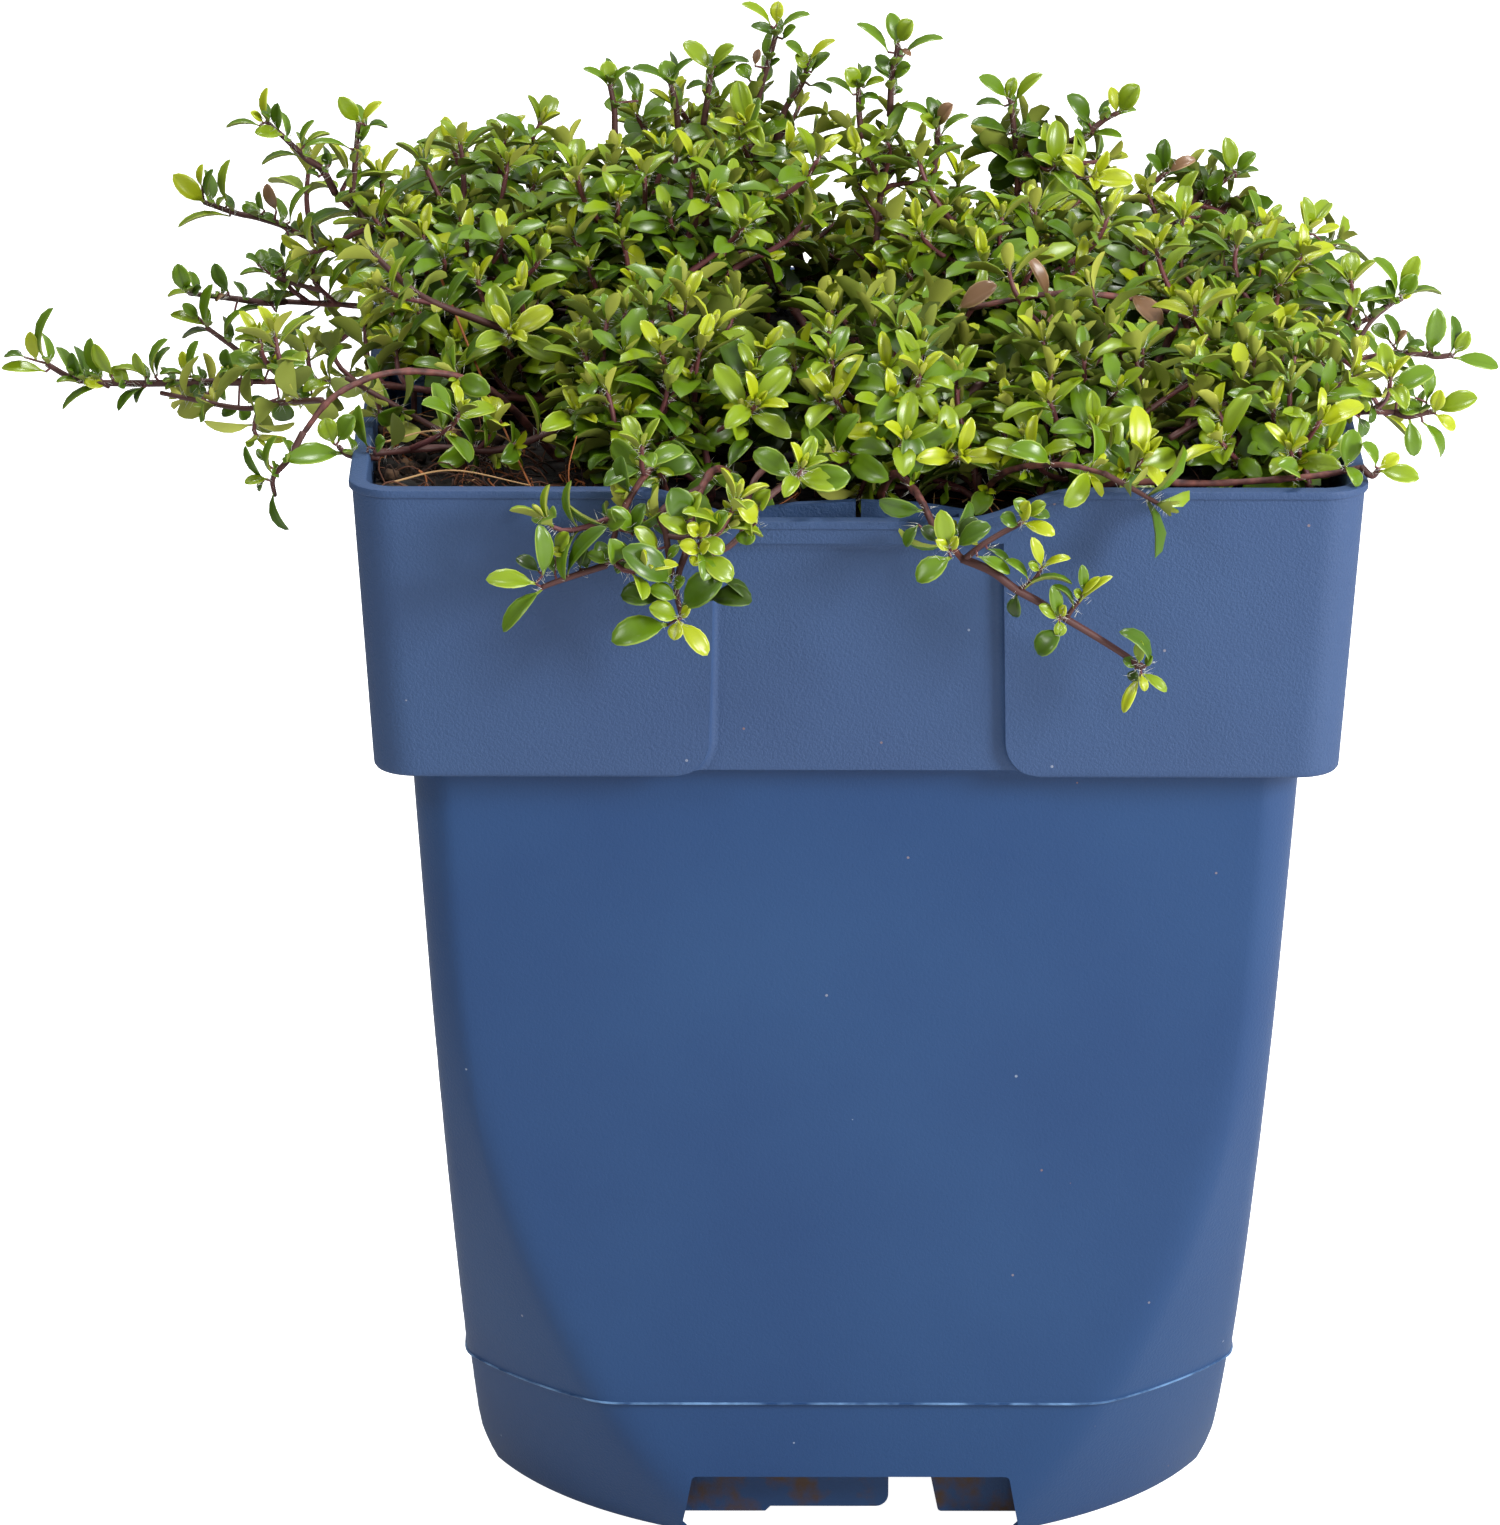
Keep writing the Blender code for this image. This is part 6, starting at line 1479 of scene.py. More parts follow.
bark = thyme_bark()
limb_heap = Heap()
rng = np.random.default_rng(11)
for name, (path, radii) in LIMB_PATHS.items():
    fine_path = smooth_path(path[::3], 6)
    fine_radii = np.linspace(radii[0], radii[-1], len(fine_path)) * 0.58
    limb_heap.add(*stem_rings(fine_path, fine_radii, 10, bark_relief(fine_path, 10, rng)), 0)
joined("limbs_bark", limb_heap, [bark], list(LIMB_PATHS))

base_heap = Heap()
foot = np.array((0, 2, soil_height(0, 2) + 1.2))
for name in BASE_LIMBS:
    tip = LIMB_PATHS[name][0][0]
    stub = smooth_path([foot, (foot + tip) / 2 + (0, 0, 0.8), tip], 6)
    base_heap.add(*stem_rings(stub, np.linspace(2.0, 1.0, len(stub)), 10, bark_relief(stub, 10, rng)), 0)
joined("woody_base_bark", base_heap, [bark], ["woody_base"])
cut_wood, _, _ = new_material("cut thyme wood", Base_Color=linear("#C9A77C"), Roughness=0.8)
stub_heap = Heap()
stub_foot = soil_height(-52, -38)
stub = smooth_path([(-52, -38, stub_foot - 0.5), (-51.6, -38.6, stub_foot + 2.9), (-52.4, -39.6, stub_foot + 5.0)], 6)
stub_heap.add(*stem_rings(stub, np.linspace(1.35, 1.1, len(stub)), 10, bark_relief(stub, 10, rng)), 0)
end = stub[-1]
ahead = unit(stub[-1] - stub[-2])
stub_heap.add(*stem_rings(np.array([end, end + ahead * 0.75]), np.array([0.85, 0.8]), 10), 1)
joined("cut_stub_bark", stub_heap, [bark, cut_wood], ["cut_stub"])
print({name: PIECES[name] for name in ("limbs_bark", "woody_base_bark", "cut_stub_bark")})

# %% [markdown]
# The compost is coarse dark coir. Its solid stays, and crumbs and fibres lie all over it. A crumb is a small
# rough lump, and a fibre is a thin bent stem that lies on the crumbs.

# %% Compost
def coir(name, dark, light):
    made, tree, shader = new_material(name, Roughness=0.95)
    place = add_node(tree, "ShaderNodeTexCoord")
    crumbs = add_node(tree, "ShaderNodeTexNoise", Vector=place.outputs["Object"], Scale=520.0, Detail=6.0)
    tint = add_node(tree, "ShaderNodeValToRGB", Fac=crumbs.outputs["Fac"])
    tint.color_ramp.elements[0].position = 0.38
    tint.color_ramp.elements[0].color = linear(dark)
    tint.color_ramp.elements[1].position = 0.7
    tint.color_ramp.elements[1].color = linear(light)
    tree.links.new(tint.outputs["Color"], shader.inputs["Base Color"])
    bump = add_node(tree, "ShaderNodeBump", Height=crumbs.outputs["Fac"], Strength=0.8, Distance=0.6 * MM)
    tree.links.new(bump.outputs["Normal"], shader.inputs["Normal"])
    return made


def dress(node, look):
    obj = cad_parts[node]
    obj.data.materials.clear()
    obj.data.materials.append(look)


def soil_spots(count, rng, edge):
    spots = rng.uniform(-edge, edge, (count, 2))
    pocket = (abs(spots).max(1) > POCKET_BACK - 1.5) & (abs(spots).min(1) < POCKET_HALF + 1.5)
    corner = (abs(spots) - (edge - 4)).clip(0)
    return spots[~pocket & (np.linalg.norm(corner, axis=1) < 4)]


LUMPS = 70
TANGLE = 190


def crumb_heap(count, seed):
    rng = np.random.default_rng(seed)
    bpy.ops.mesh.primitive_ico_sphere_add(subdivisions=1, radius=1)
    lump = bpy.context.object
    shape = np.array([v.co for v in lump.data.vertices])
    faces = np.array([p.vertices[:] for p in lump.data.polygons])
    bpy.data.objects.remove(lump, do_unlink=True)
    spots = soil_spots(count, rng, 61.2)
    lumps = rng.uniform((-61.4, -61), (-57.5, -24), (LUMPS, 2))
    spots = np.vstack([spots, lumps])
    size = rng.gamma(2.2, 0.26, len(spots))[:, None, None].clip(0.22, 1.9)
    size[-LUMPS:] = rng.uniform(0.9, 1.9, (LUMPS, 1, 1))
    squash = rng.uniform(0.5, 1.25, (len(spots), 1, 3)) * (1, 1, 0.75)
    rough = 1 + rng.normal(0, 0.17, (len(spots), len(shape), 1))
    height = soil_height(spots[:, 0], spots[:, 1]) + size[:, 0, 0] * rng.uniform(-0.25, 0.5, len(spots))
    corners = shape[None] * size * squash * rough + np.c_[spots, height][:, None]
    heap = Heap()
    many = (faces[None] + np.arange(len(spots))[:, None, None] * len(shape)).reshape(-1, 3)
    looks = rng.integers(0, 3, len(spots))
    looks[-LUMPS:] = rng.integers(1, 4, LUMPS)
    heap.add(corners.reshape(-1, 3), many, np.repeat(looks, len(faces)))
    return heap


def fibre_heap(count, seed):
    rng = np.random.default_rng(seed)
    heap = Heap()
    for spot in soil_spots(count, rng, 58):
        long = rng.uniform(4, 17)
        head = rng.uniform(0, 2 * np.pi)
        curl = rng.normal(0, 0.09)
        t = np.linspace(0, 1, 9)
        turn = head + curl * long * t
        flat = np.cumsum(np.c_[np.cos(turn), np.sin(turn)] * long / 9, axis=0) + spot
        flat = np.clip(flat, -61.5, 61.5)
        rise = 0.5 + rng.uniform(0, 1.6) * np.sin(np.pi * t) + rng.uniform(0, 0.6)
        path = np.c_[flat, soil_height(flat[:, 0], flat[:, 1]) + rise]
        thick = rng.uniform(0.07, 0.16)
        heap.add(*stem_rings(path, np.linspace(thick, thick * 0.5, 9), 4), int(rng.integers(0, 3)))
    for spot in rng.uniform((-61, -61), (-33, -30), (TANGLE, 2)):
        t = np.linspace(0, 1, 7)
        turn = rng.uniform(0, 2 * np.pi) + rng.normal(0, 1.6) * t
        long = rng.uniform(2, 7)
        flat = np.cumsum(np.c_[np.cos(turn), np.sin(turn)] * long / 7, axis=0) + spot
        flat = np.clip(flat, -61.5, 61.5)
        rise = 0.3 + rng.uniform(0.3, 2.4) * np.sin(np.pi * t * rng.uniform(0.6, 1))
        path = np.c_[flat, soil_height(flat[:, 0], flat[:, 1]) + rise]
        heap.add(*stem_rings(path, np.full(7, rng.uniform(0.06, 0.13)), 4), int(rng.choice((0, 2, 2, 3, 3))))
    long_ones = (
        ([(-55, -8, 163.5), (-50, -24, 156), (-44, -42, 147.6), (-41, -55, 145.4)], 0.2, 0),
        ([(-61, -46, 150.4), (-55, -44, 151.4), (-47, -42, 150.6), (-43, -40, 147.4)], 0.14, 1),
        ([(-60, -53, 147), (-52, -52, 148.4), (-42, -54, 147)], 0.15, 1),
        ([(-36.5, -55.5, 145), (-37, -54, 149), (-36, -52, 153)], 0.13, 0),
        ([(-30, -40, 147), (-27, -36, 152), (-21, -33, 156)], 0.13, 1),
    )
    for points, thick, look in long_ones:
        path = smooth_path(points, 8)
        heap.add(*stem_rings(path, np.linspace(thick, thick * 0.6, len(path)), 5), look)
    return heap


dress("compost", coir("coir compost", "#050302", "#1E130C"))
crumb_looks = [coir("dark coir crumb", "#070403", "#24170C"), coir("brown coir crumb", "#0E0805", "#38230F"), coir("peat crumb", "#040302", "#17100A"), coir("grey brown lump", "#1C130C", "#6A4E37")]
joined("compost_crumbs", crumb_heap(3600, 21), crumb_looks, [])
fibre_looks = [
    new_material("orange coir fibre", Base_Color=linear("#9C5A2B"), Roughness=0.7)[0],
    new_material("pale coir fibre", Base_Color=linear("#B89263"), Roughness=0.75)[0],
    new_material("brown coir fibre", Base_Color=linear("#5A3420"), Roughness=0.8)[0],
    new_material("dark coir fibre", Base_Color=linear("#2E1A0F"), Roughness=0.85)[0],
]
joined("compost_fibres", fibre_heap(260, 22), fibre_looks, [])
print({name: count for name, count in PIECES.items() if name.startswith("compost")})

# %% [markdown]
# The pot is one thin moulding: a round foot that turns square as it rises, a ledge, and a wider square collar.
# Its wall is one skin that runs from under the floor up the outside, over the rim and down the inside. So it is
# made from a cylinder that is cut into rings, and each ring is then moved out to the pot's own outline at its
# height. That outline is a square with round corners, cut by the round foot with a soft edge between the two.
# The sizes are the solids' own; what is finer here is the round corners, the rolled rim and the soft edges.

# %% Pot outline
SIDE_STEPS = 72
CORNER_STEPS = 8
RING_POINTS = 4 * (SIDE_STEPS + CORNER_STEPS)
LEDGE_Z = 111.0
TAB_FOOT = 110.3
SEAM_Z = 19.9
BODY_HALF_FOOT = 50.2
BODY_HALF_LEDGE = 57.5
BODY_FILLET = 5.1
FOOT_RADIUS = 52.8
FOOT_FLARE = 0.456
FOOT_CURVE = 0.002
FOOT_TOP = 113
SOFT_EDGE = 1.6
BAND_STEP = 0.35
WALL = 1.4
FLOOR_TOP = 10.8
FLOOR_UNDER = 9.4
COLLAR_HALF_FOOT = 62.2
COLLAR_HALF_TOP = 64.6
COLLAR_FILLET = 5.6
COLLAR_WALL = 2.0
LIP_PROUD = 0.4
LIP_TALL = 1.1
DIP_DEPTH = 4.0
DIP_HALF_TOP = 28.0
DIP_HALF_FOOT = 13.0
DIP_FROM = 138.0


def square_ring(half, fillet):
    """Points of a square with round corners, anticlockwise from the middle of its right side."""
    straight = half - fillet
    side = np.c_[np.full(SIDE_STEPS, half), np.linspace(-straight, straight, SIDE_STEPS)]
    turn = np.linspace(0, math.pi / 2, CORNER_STEPS + 2)[1:-1]
    corner = straight + fillet * np.c_[np.cos(turn), np.sin(turn)]
    quarter = np.vstack([side, corner])
    ring = []
    for _ in range(4):
        ring.append(quarter)
        quarter = np.c_[-quarter[:, 1], quarter[:, 0]]
    return np.roll(np.vstack(ring), -SIDE_STEPS // 2, axis=0)


def body_ring(z, inset):
    """The body's outline at height z, moved in by inset and softly cut by the round foot."""
    half = BODY_HALF_FOOT + (BODY_HALF_LEDGE - BODY_HALF_FOOT) * z / LEDGE_Z - inset
    ring = square_ring(half, BODY_FILLET - min(inset, 1.5))
    low = min(max(z, 0.0), FOOT_TOP)
    limit = FOOT_RADIUS + FOOT_FLARE * low - FOOT_CURVE * low * low - inset
    far = np.linalg.norm(ring, axis=1)
    share = np.clip(0.5 + 0.5 * (limit - far) / SOFT_EDGE, 0, 1)
    near = limit * (1 - share) + far * share - SOFT_EDGE * share * (1 - share)
    return np.c_[ring * (near / far)[:, None], np.full(len(ring), z)]


def collar_ring(z, out):
    """The collar's outline at height z, moved out by out, with the rim lowered at the middle of each side."""
    share = (z - LEDGE_Z) / (POT_HEIGHT - LEDGE_Z)
    half = COLLAR_HALF_FOOT + (COLLAR_HALF_TOP - COLLAR_HALF_FOOT) * share + out
    ring = square_ring(half, COLLAR_FILLET + out)
    along = np.abs(ring).min(axis=1)
    reach = np.clip((DIP_HALF_TOP - along) / (DIP_HALF_TOP - DIP_HALF_FOOT), 0, 1)
    lift = np.clip((z - DIP_FROM) / (POT_HEIGHT - LIP_TALL - DIP_FROM), 0, 1)
    return np.c_[ring, z - DIP_DEPTH * lift * (1 - np.cos(np.pi * reach)) / 2]


UNDER_RINGS = ((FLOOR_UNDER, 1.75), (3.0, 1.75), (0.3, 1.75), (0.0, 1.45), (0.0, 0.95), (0.14, 0.55))
BAND_RINGS = [(z, BAND_STEP) for z in (0.5, 2, 5, 8, 11, 14, 17, SEAM_Z - 0.6, SEAM_Z - 0.32)]
SEAM_RINGS = [(SEAM_Z - 0.2, -0.08), (SEAM_Z - 0.05, -0.28), (SEAM_Z + 0.07, -0.28), (SEAM_Z + 0.18, -0.06)]
BODY_RINGS = [(SEAM_Z + 0.3, 0), (SEAM_Z + 0.7, 0)] + [(z, 0) for z in range(23, 110, 4)] + [(TAB_FOOT, 0)]
COLLAR_RINGS = [(TAB_FOOT, -0.7), (TAB_FOOT + 0.12, -0.28), (TAB_FOOT + 0.5, -0.02), (TAB_FOOT + 1.2, 0), (125, 0)]
COLLAR_RINGS += [(z, 0) for z in (138, 140, 142, 144, 146, 147.4, POT_HEIGHT - LIP_TALL - 0.12)]
LIP_RINGS = [
    (POT_HEIGHT - LIP_TALL, LIP_PROUD * 0.7), (POT_HEIGHT - LIP_TALL + 0.15, LIP_PROUD), (POT_HEIGHT - 0.4, LIP_PROUD),
    (POT_HEIGHT - 0.12, LIP_PROUD - 0.12), (POT_HEIGHT, LIP_PROUD - 0.42), (POT_HEIGHT, 0.4 - COLLAR_WALL),
    (POT_HEIGHT - 0.12, 0.12 - COLLAR_WALL), (POT_HEIGHT - 0.5, -COLLAR_WALL),
]
INNER_RINGS = [(z, -COLLAR_WALL) for z in (147, 143, 140, 138, 125, LEDGE_Z + WALL)]
DEEP_RINGS = [(z, WALL) for z in (LEDGE_Z + WALL, 90, 70, 50, 35, 20, FLOOR_TOP)]
skin_rings = [body_ring(z, inset) for z, inset in [*UNDER_RINGS, *BAND_RINGS, *SEAM_RINGS, *BODY_RINGS]]
skin_rings += [collar_ring(z, out) for z, out in COLLAR_RINGS + LIP_RINGS + INNER_RINGS]
skin_rings += [body_ring(z, inset) for z, inset in DEEP_RINGS]
print("pot rings:", len(skin_rings), "of", RING_POINTS, "points")

# %% [markdown]
# A few small functions work as a hand does in edit mode: they select faces or edges by their place, extrude,
# bevel, and join or cut whole pieces with the Boolean modifier.

# %% Modelling by hand
def only(obj):
    bpy.ops.object.select_all(action="DESELECT")
    obj.select_set(True)
    bpy.context.view_layer.objects.active = obj


def pick(obj, kind, wanted):
    """In edit mode, selects only the items of one kind for which wanted(item) is true."""
    bpy.ops.mesh.select_mode(type=kind)
    bpy.ops.mesh.select_all(action="DESELECT")
    shape = bmesh.from_edit_mesh(obj.data)
    for item in {"VERT": shape.verts, "EDGE": shape.edges, "FACE": shape.faces}[kind]:
        if wanted(item):
            item.select_set(True)
    shape.select_flush_mode()
    bmesh.update_edit_mesh(obj.data)


def slab(name, outline, y0, y1):
    """A plate whose outline is a list of (x, z) points, from y0 to y1."""
    mesh = bpy.data.meshes.new(name)
    mesh.from_pydata([(x * MM, y0 * MM, z * MM) for x, z in outline], [], [range(len(outline))])
    plate = bpy.data.objects.new(name, mesh)
    bpy.context.scene.collection.objects.link(plate)
    only(plate)
    bpy.ops.object.mode_set(mode="EDIT")
    bpy.ops.mesh.select_all(action="SELECT")
    bpy.ops.mesh.extrude_region_move(TRANSFORM_OT_translate={"value": (0, (y1 - y0) * MM, 0)})
    bpy.ops.mesh.select_all(action="SELECT")
    bpy.ops.mesh.normals_make_consistent(inside=False)
    bpy.ops.object.mode_set(mode="OBJECT")
    return plate


def arc(cx, cz, radius, start, end, steps=6):
    """(x, z) points of an arc, angles in degrees."""
    turn = np.radians(np.linspace(start, end, steps + 1))
    return list(zip(cx + radius * np.cos(turn), cz + radius * np.sin(turn)))


def four_times(piece):
    """The piece and its copies on the pot's other three sides."""
    made = [piece]
    for side in (1, 2, 3):
        copy = piece.copy()
        copy.data = piece.data.copy()
        copy.data.transform(Matrix.Rotation(side * math.pi / 2, 4, "Z"))
        bpy.context.scene.collection.objects.link(copy)
        made.append(copy)
    return made


def combine(base, others, operation):
    group = bpy.data.collections.new(operation)
    bpy.context.scene.collection.children.link(group)
    for other in others:
        for owner in list(other.users_collection):
            owner.objects.unlink(other)
        group.objects.link(other)
    change = base.modifiers.new(operation, "BOOLEAN")
    change.operand_type = "COLLECTION"
    change.collection = group
    change.operation = operation
    only(base)
    bpy.ops.object.modifier_apply(modifier=change.name)
    for other in others:
        bpy.data.objects.remove(other)
    bpy.data.collections.remove(group)


print("modelling helpers ready")

# %% [markdown]
# The skin is the cylinder with its rings in place. Then come the details that a mould's slides leave: on each
# side a sunk panel between two raised tabs with round lower corners, a pocket for a label behind the lowered rim,
# and a notch in the foot with an inner rib, so that water runs out under the pot.

# %% Pot
PANEL_HALF = 18.4
PANEL_CORNER = 5.0
PANEL_TOP = 142.3
PANEL_FLARE = 0.6
PANEL_DEEP = 1.45
PANEL_FILLET = 1.3
POCKET_FOOT = 132.0
POCKET_TOP = 146.2
POCKET_WALL = 1.2
NOTCH_HALF_TOP = 21.2
NOTCH_HALF_FOOT = 22.8
NOTCH_TALL = 9.0
NOTCH_Y = -46.4
NOTCH_CORNER = 0.7
RIB_Y = -42.1
RIB_LOW = 0.7
RIB_HALF_FOOT = 31.1
RIB_HALF_TOP = 37.6
RIB_MIDDLE_LOW = 1.4
SLOT_TOP = 8.0
DRAIN_RADIUS = 3.2
DRAIN_RING = 33.0
DRAINS = 8


def pot_skin():
    """A cylinder cut into rings, each moved to its place in the list of rings."""
    bpy.ops.mesh.primitive_cylinder_add(vertices=RING_POINTS, radius=1, depth=1, location=(0, 0, 0))
    skin = bpy.context.object
    skin.name = "pot_moulding"
    bpy.ops.object.mode_set(mode="EDIT")
    pick(skin, "EDGE", lambda edge: abs(edge.verts[0].co.z - edge.verts[1].co.z) > 0.5)
    bpy.ops.mesh.subdivide(number_cuts=len(skin_rings) - 2)
    bpy.ops.object.mode_set(mode="OBJECT")
    place = np.empty(len(skin.data.vertices) * 3)
    skin.data.vertices.foreach_get("co", place)
    x, y, z = place.reshape(-1, 3).T
    level = np.rint((z + 0.5) * (len(skin_rings) - 1)).astype(int)
    step = np.rint(np.arctan2(y, x) / (2 * np.pi) * RING_POINTS).astype(int) % RING_POINTS
    skin.data.vertices.foreach_set("co", (np.array(skin_rings)[level, step] * MM).ravel())
    skin.data.update()
    return skin


def sunk_panel():
    """The cutter of the panel between two tabs: it leans with the collar, and its inner edge is rounded."""
    corner = PANEL_HALF + PANEL_FLARE
    right = arc(corner + PANEL_CORNER, TAB_FOOT + PANEL_CORNER, PANEL_CORNER, 270, 180, 10)
    outline = [(-x, z) for x, z in right] + [(-PANEL_HALF, PANEL_TOP), (PANEL_HALF, PANEL_TOP)] + right[::-1]
    outline += [(corner + PANEL_CORNER, TAB_FOOT - 2), (-corner - PANEL_CORNER, TAB_FOOT - 2)]
    plate = slab("panel", outline, -70, -50)
    lean = (COLLAR_HALF_TOP - COLLAR_HALF_FOOT) / (POT_HEIGHT - LEDGE_Z)
    for vert in plate.data.vertices:
        if vert.co.y > -60 * MM:
            vert.co.y = -(COLLAR_HALF_FOOT - PANEL_DEEP + lean * (vert.co.z / MM - LEDGE_Z)) * MM
    only(plate)
    bpy.ops.object.mode_set(mode="EDIT")
    pick(plate, "EDGE", lambda edge: all(v.co.y > -66 * MM and v.co.z > (TAB_FOOT - 1) * MM for v in edge.verts))
    bpy.ops.mesh.bevel(offset=PANEL_FILLET * MM, segments=4, affect="EDGES")
    bpy.ops.object.mode_set(mode="OBJECT")
    return plate


def panel_foot():
    """The cutter that lifts the foot of the panel above the feet of the tabs."""
    corner = PANEL_HALF + PANEL_FLARE + PANEL_CORNER
    rise = PANEL_CORNER - LEDGE_Z + TAB_FOOT
    upper = corner - math.sqrt(PANEL_CORNER ** 2 - rise ** 2)
    right = [(corner, TAB_FOOT - 1), (corner, TAB_FOOT), (upper, LEDGE_Z)]
    return slab("panel_foot", right + [(-x, z) for x, z in reversed(right)], -70, -BODY_HALF_LEDGE - 0.2)


def label_pocket():
    """The wall behind the lowered rim, with its two ends."""
    left = [(-POCKET_HALF, POCKET_TOP - 1.4), (-8, POCKET_TOP - 0.4)]
    top = left + [(0, POCKET_TOP)] + [(-x, z) for x, z in reversed(left)]
    outline = [(-POCKET_HALF, POCKET_FOOT)] + top + [(POCKET_HALF, POCKET_FOOT)]
    made = [slab("pocket", outline, -POCKET_BACK - 1.6, -POCKET_BACK - 1.6 + POCKET_WALL)]
    for x0, x1 in ((-POCKET_HALF, POCKET_WALL - POCKET_HALF), (POCKET_HALF - POCKET_WALL, POCKET_HALF)):
        end = [(x0, POCKET_FOOT), (x0, POCKET_TOP - 1.5), (x1, POCKET_TOP - 1.5), (x1, POCKET_FOOT)]
        made.append(slab("pocket_end", end, -63.2, -POCKET_BACK - 1.0))
    return made


def foot_notch():
    """The cutter of the notch: its sides lean and its two upper corners are round."""
    corner = arc(NOTCH_HALF_TOP - NOTCH_CORNER, NOTCH_TALL - NOTCH_CORNER, NOTCH_CORNER, 5, 90)
    right = [(NOTCH_HALF_FOOT, -1)] + corner
    return slab("notch", right + [(-x, z) for x, z in reversed(right)], -56, NOTCH_Y)


def foot_rib():
    """The inner wall that shows in the notch: two feet, a shorter middle piece and an open slot."""
    high = FLOOR_UNDER + 0.5
    outline = [(-RIB_HALF_FOOT, RIB_LOW), (-RIB_HALF_TOP, high), (RIB_HALF_TOP, high), (RIB_HALF_FOOT, RIB_LOW)]
    outline += arc(12.3, 1.2, 0.5, 270, 190, 3)
    outline += [(10.4, SLOT_TOP), (5.2, SLOT_TOP)] + arc(3.5, RIB_MIDDLE_LOW + 1.7, 1.7, 360, 270)
    outline += [(-10.6, RIB_MIDDLE_LOW), (-11.3, RIB_LOW)]
    return slab("rib", outline, RIB_Y, RIB_Y + WALL)


def drain_holes():
    made = []
    for turn in (np.arange(DRAINS) + 0.5) * 2 * np.pi / DRAINS:
        middle = (FLOOR_UNDER + FLOOR_TOP) / 2
        where = (DRAIN_RING * math.cos(turn) * MM, DRAIN_RING * math.sin(turn) * MM, middle * MM)
        bpy.ops.mesh.primitive_cylinder_add(vertices=24, radius=DRAIN_RADIUS * MM, depth=4 * MM, location=where)
        made.append(bpy.context.object)
    return made


pot = pot_skin()
added = four_times(foot_rib())
for wall in label_pocket():
    added += four_times(wall)
pad_tall = FLOOR_UNDER + 0.6
bpy.ops.mesh.primitive_cone_add(
    vertices=48, radius1=11.4 * MM, radius2=12 * MM, depth=pad_tall * MM, location=(0, 0, pad_tall / 2 * MM)
)
combine(pot, added + [bpy.context.object], "UNION")
slit = slab("slit", [(-0.35, POCKET_TOP - 5), (-0.35, 150), (0.35, 150), (0.35, POCKET_TOP - 5)], -59.4, -55.4)
cutters = four_times(sunk_panel()) + four_times(panel_foot()) + four_times(foot_notch()) + four_times(slit)
cutters += drain_holes()
combine(pot, cutters, "DIFFERENCE")
only(pot)
bpy.ops.object.shade_smooth_by_angle(angle=math.radians(40))
weights = pot.modifiers.new("weights", "WEIGHTED_NORMAL")
weights.keep_sharp = True
bpy.ops.object.modifier_apply(modifier=weights.name)
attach(pot, "root")
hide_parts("pot")
PIECES["pot_moulding"] = sum(len(face.vertices) - 2 for face in pot.data.polygons)
print("pot triangles:", PIECES["pot_moulding"])

# %% [markdown]
# The plastic is polypropylene, coloured blue in the mass, satin and a little cloudy. The mould was spark eroded,
# which leaves a fine pebbled grain: coarse on the collar and finer on the body. The thin line where the mould
# closed has a pale painted highlight, broken up by noise, compost dust has settled in specks, and the notch in
# the foot is brown with old wet soil.

# %% Pot plastic
COLLAR_GRAIN = 0.36 * MM
SPECK_STEP = 3.6 * MM
SOIL_RADIUS = 49.6


def maths(tree, operation, first, second=0.0):
    return add_node(tree, "ShaderNodeMath", {"operation": operation}, _0=first, _1=second).outputs[0]


def noise(tree, place, scale, detail=2.0):
    return add_node(tree, "ShaderNodeTexNoise", Vector=place, Scale=scale, Detail=detail).outputs["Fac"]


def blend_colour(tree, share, first, second):
    return add_node(tree, "ShaderNodeMix", {"data_type": "RGBA"}, _0=share, _6=first, _7=second).outputs[2]


def above(tree, value, low, high):
    """0 under the low value, 1 over the high one."""
    return add_node(tree, "ShaderNodeMapRange", _0=value, _1=low, _2=high).outputs[0]


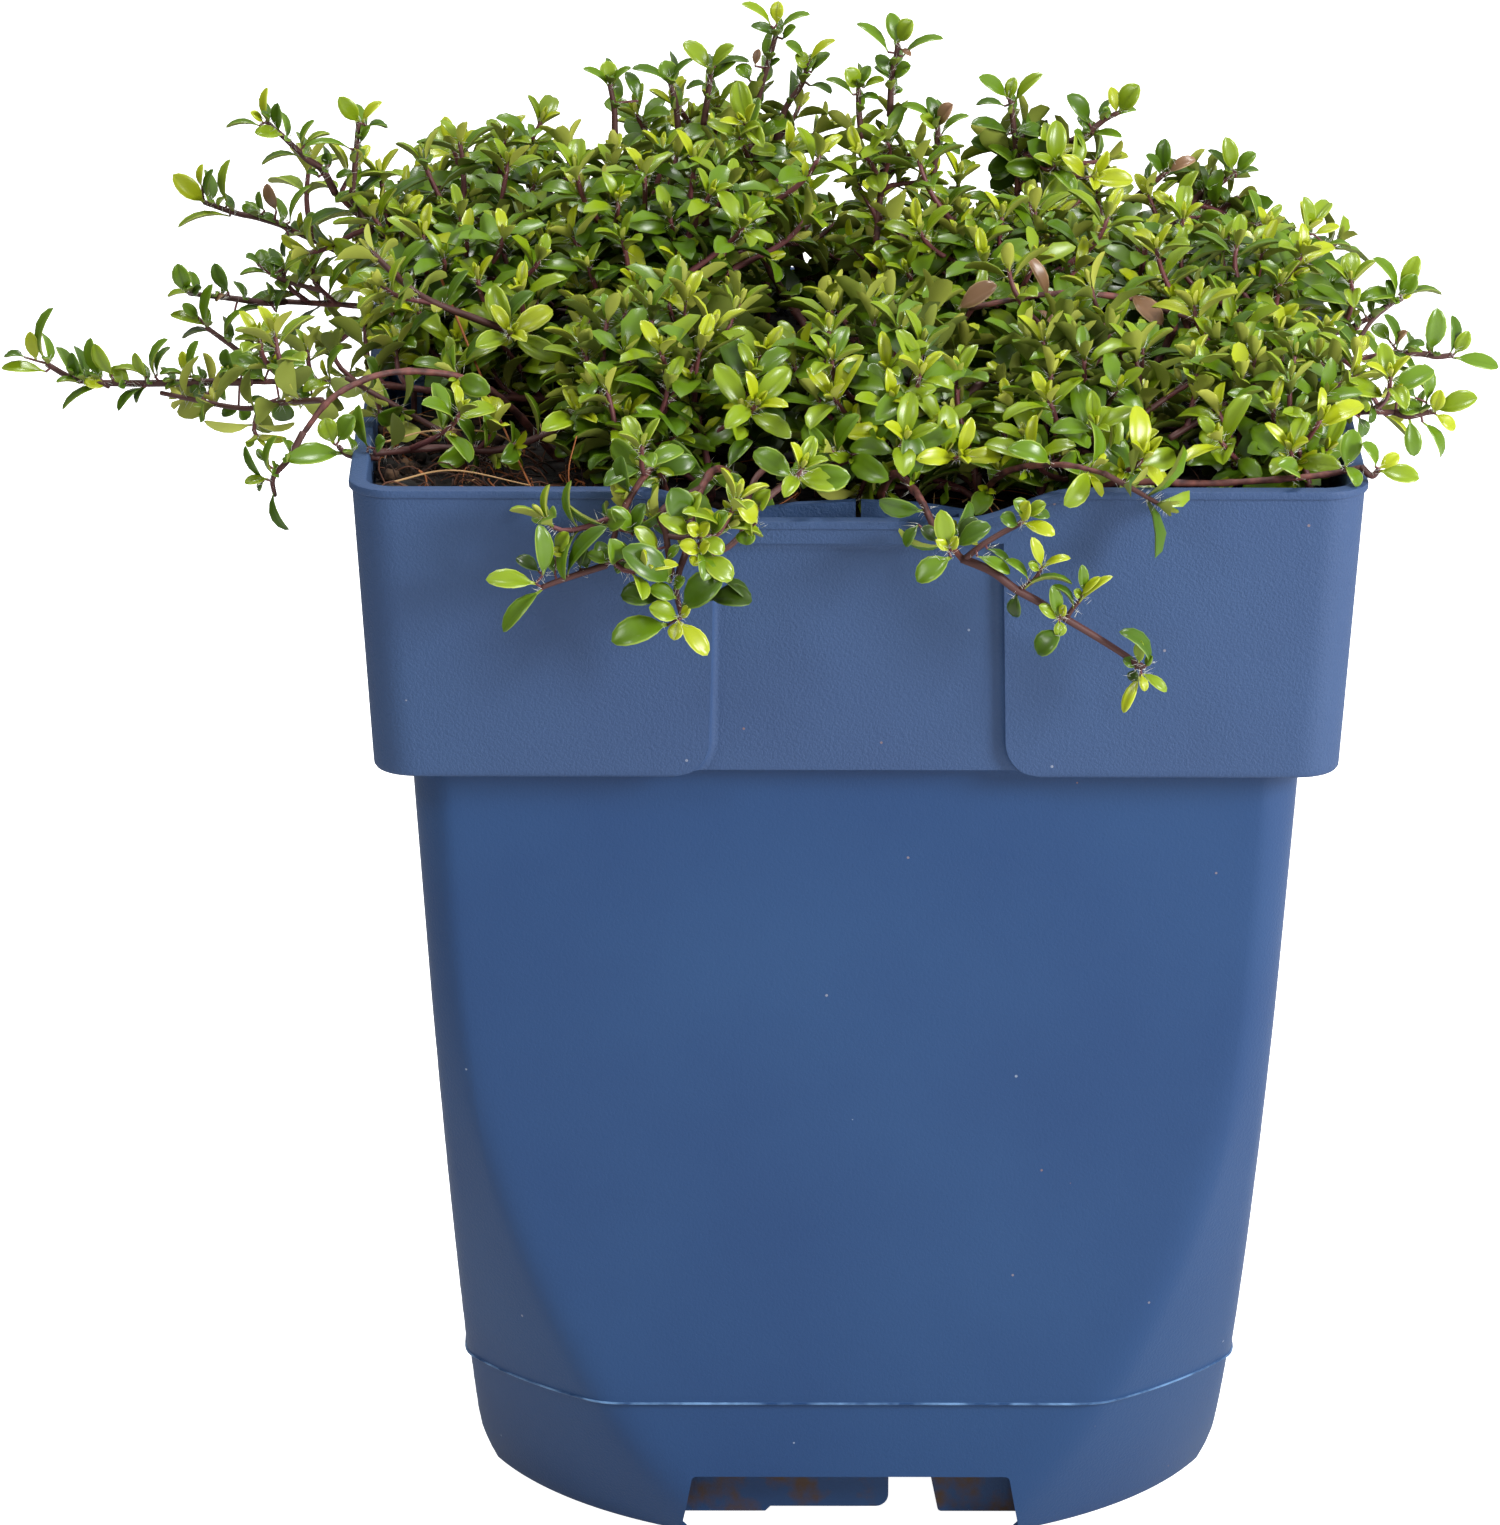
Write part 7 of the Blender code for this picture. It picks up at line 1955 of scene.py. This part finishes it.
def moulded_polypropylene():
    made, tree, shader = new_material("moulded polypropylene", Roughness=0.46, IOR=1.49)
    place = add_node(tree, "ShaderNodeTexCoord").outputs["Object"]
    parts = add_node(tree, "ShaderNodeSeparateXYZ", Vector=place)
    height = parts.outputs["Z"]
    cloud = above(tree, noise(tree, place, 24.0, 4.0), 0.32, 0.68)
    colour = blend_colour(tree, cloud, linear("#1A3C69"), linear("#20436F"))
    # The pale line along the seam is a painted highlight on its ridge, broken up by noise.
    from_seam = maths(tree, "ABSOLUTE", maths(tree, "SUBTRACT", height, SEAM_Z * MM))
    seam_highlight = maths(tree, "LESS_THAN", from_seam, 0.17 * MM)
    seam_highlight = maths(tree, "MULTIPLY", seam_highlight, above(tree, noise(tree, place, 260.0, 3.0), 0.38, 0.66))
    colour = blend_colour(tree, seam_highlight, colour, linear("#6F95C0"))
    flat = add_node(tree, "ShaderNodeVectorMath", {"operation": "MULTIPLY"}, _0=place, _1=(1, 1, 0)).outputs[0]
    from_axis = add_node(tree, "ShaderNodeVectorMath", {"operation": "LENGTH"}, _0=flat).outputs["Value"]
    under = maths(tree, "LESS_THAN", from_axis, SOIL_RADIUS * MM)
    under = maths(tree, "MULTIPLY", under, maths(tree, "LESS_THAN", height, (FLOOR_UNDER + 0.1) * MM))
    soiled = maths(tree, "MULTIPLY", under, above(tree, noise(tree, place, 300.0, 4.0), 0.46, 0.68))
    colour = blend_colour(tree, soiled, colour, linear("#4B3526"))
    cells = add_node(tree, "ShaderNodeTexVoronoi", Vector=place, Scale=1 / SPECK_STEP)
    near = maths(tree, "LESS_THAN", cells.outputs["Distance"], 0.052)
    chosen = add_node(tree, "ShaderNodeSeparateColor", Color=cells.outputs["Color"])
    few = maths(tree, "GREATER_THAN", chosen.outputs["Red"], 0.86)
    speck = maths(tree, "MULTIPLY", maths(tree, "MULTIPLY", near, few), 0.6)
    speck_colour = blend_colour(tree, chosen.outputs["Green"], linear("#8A6248"), linear("#9FB0C4"))
    colour = blend_colour(tree, speck, colour, speck_colour)
    tree.links.new(colour, shader.inputs["Base Color"])
    coarse = above(tree, height, (TAB_FOOT - 0.2) * MM, (TAB_FOOT + 0.2) * MM)
    strong = add_node(tree, "ShaderNodeMapRange", _0=coarse, _3=0.36, _4=0.95).outputs[0]
    grain = noise(tree, place, 1 / COLLAR_GRAIN, 1.5)
    fine = noise(tree, place, 2.2 / COLLAR_GRAIN, 1.0)
    both = maths(tree, "ADD", grain, maths(tree, "MULTIPLY", fine, 0.4))
    bump = add_node(tree, "ShaderNodeBump", Height=both, Strength=strong, Distance=0.11 * MM)
    tree.links.new(bump.outputs["Normal"], shader.inputs["Normal"])
    frosted = add_node(tree, "ShaderNodeMapRange", _0=coarse, _3=0.36, _4=0.8).outputs[0]
    tree.links.new(frosted, shader.inputs["Specular IOR Level"])
    satin = add_node(tree, "ShaderNodeMapRange", _0=fine, _3=0.4, _4=0.54).outputs[0]
    tree.links.new(maths(tree, "ADD", satin, maths(tree, "MULTIPLY", coarse, 0.22)), shader.inputs["Roughness"])
    return made


pot.data.materials.clear()
pot.data.materials.append(moulded_polypropylene())
print("pot finished")

# %% [markdown]
# The triangles of all the new pieces are counted at the end.

# %% Triangle count
print("triangles in new pieces:", sum(PIECES.values()))
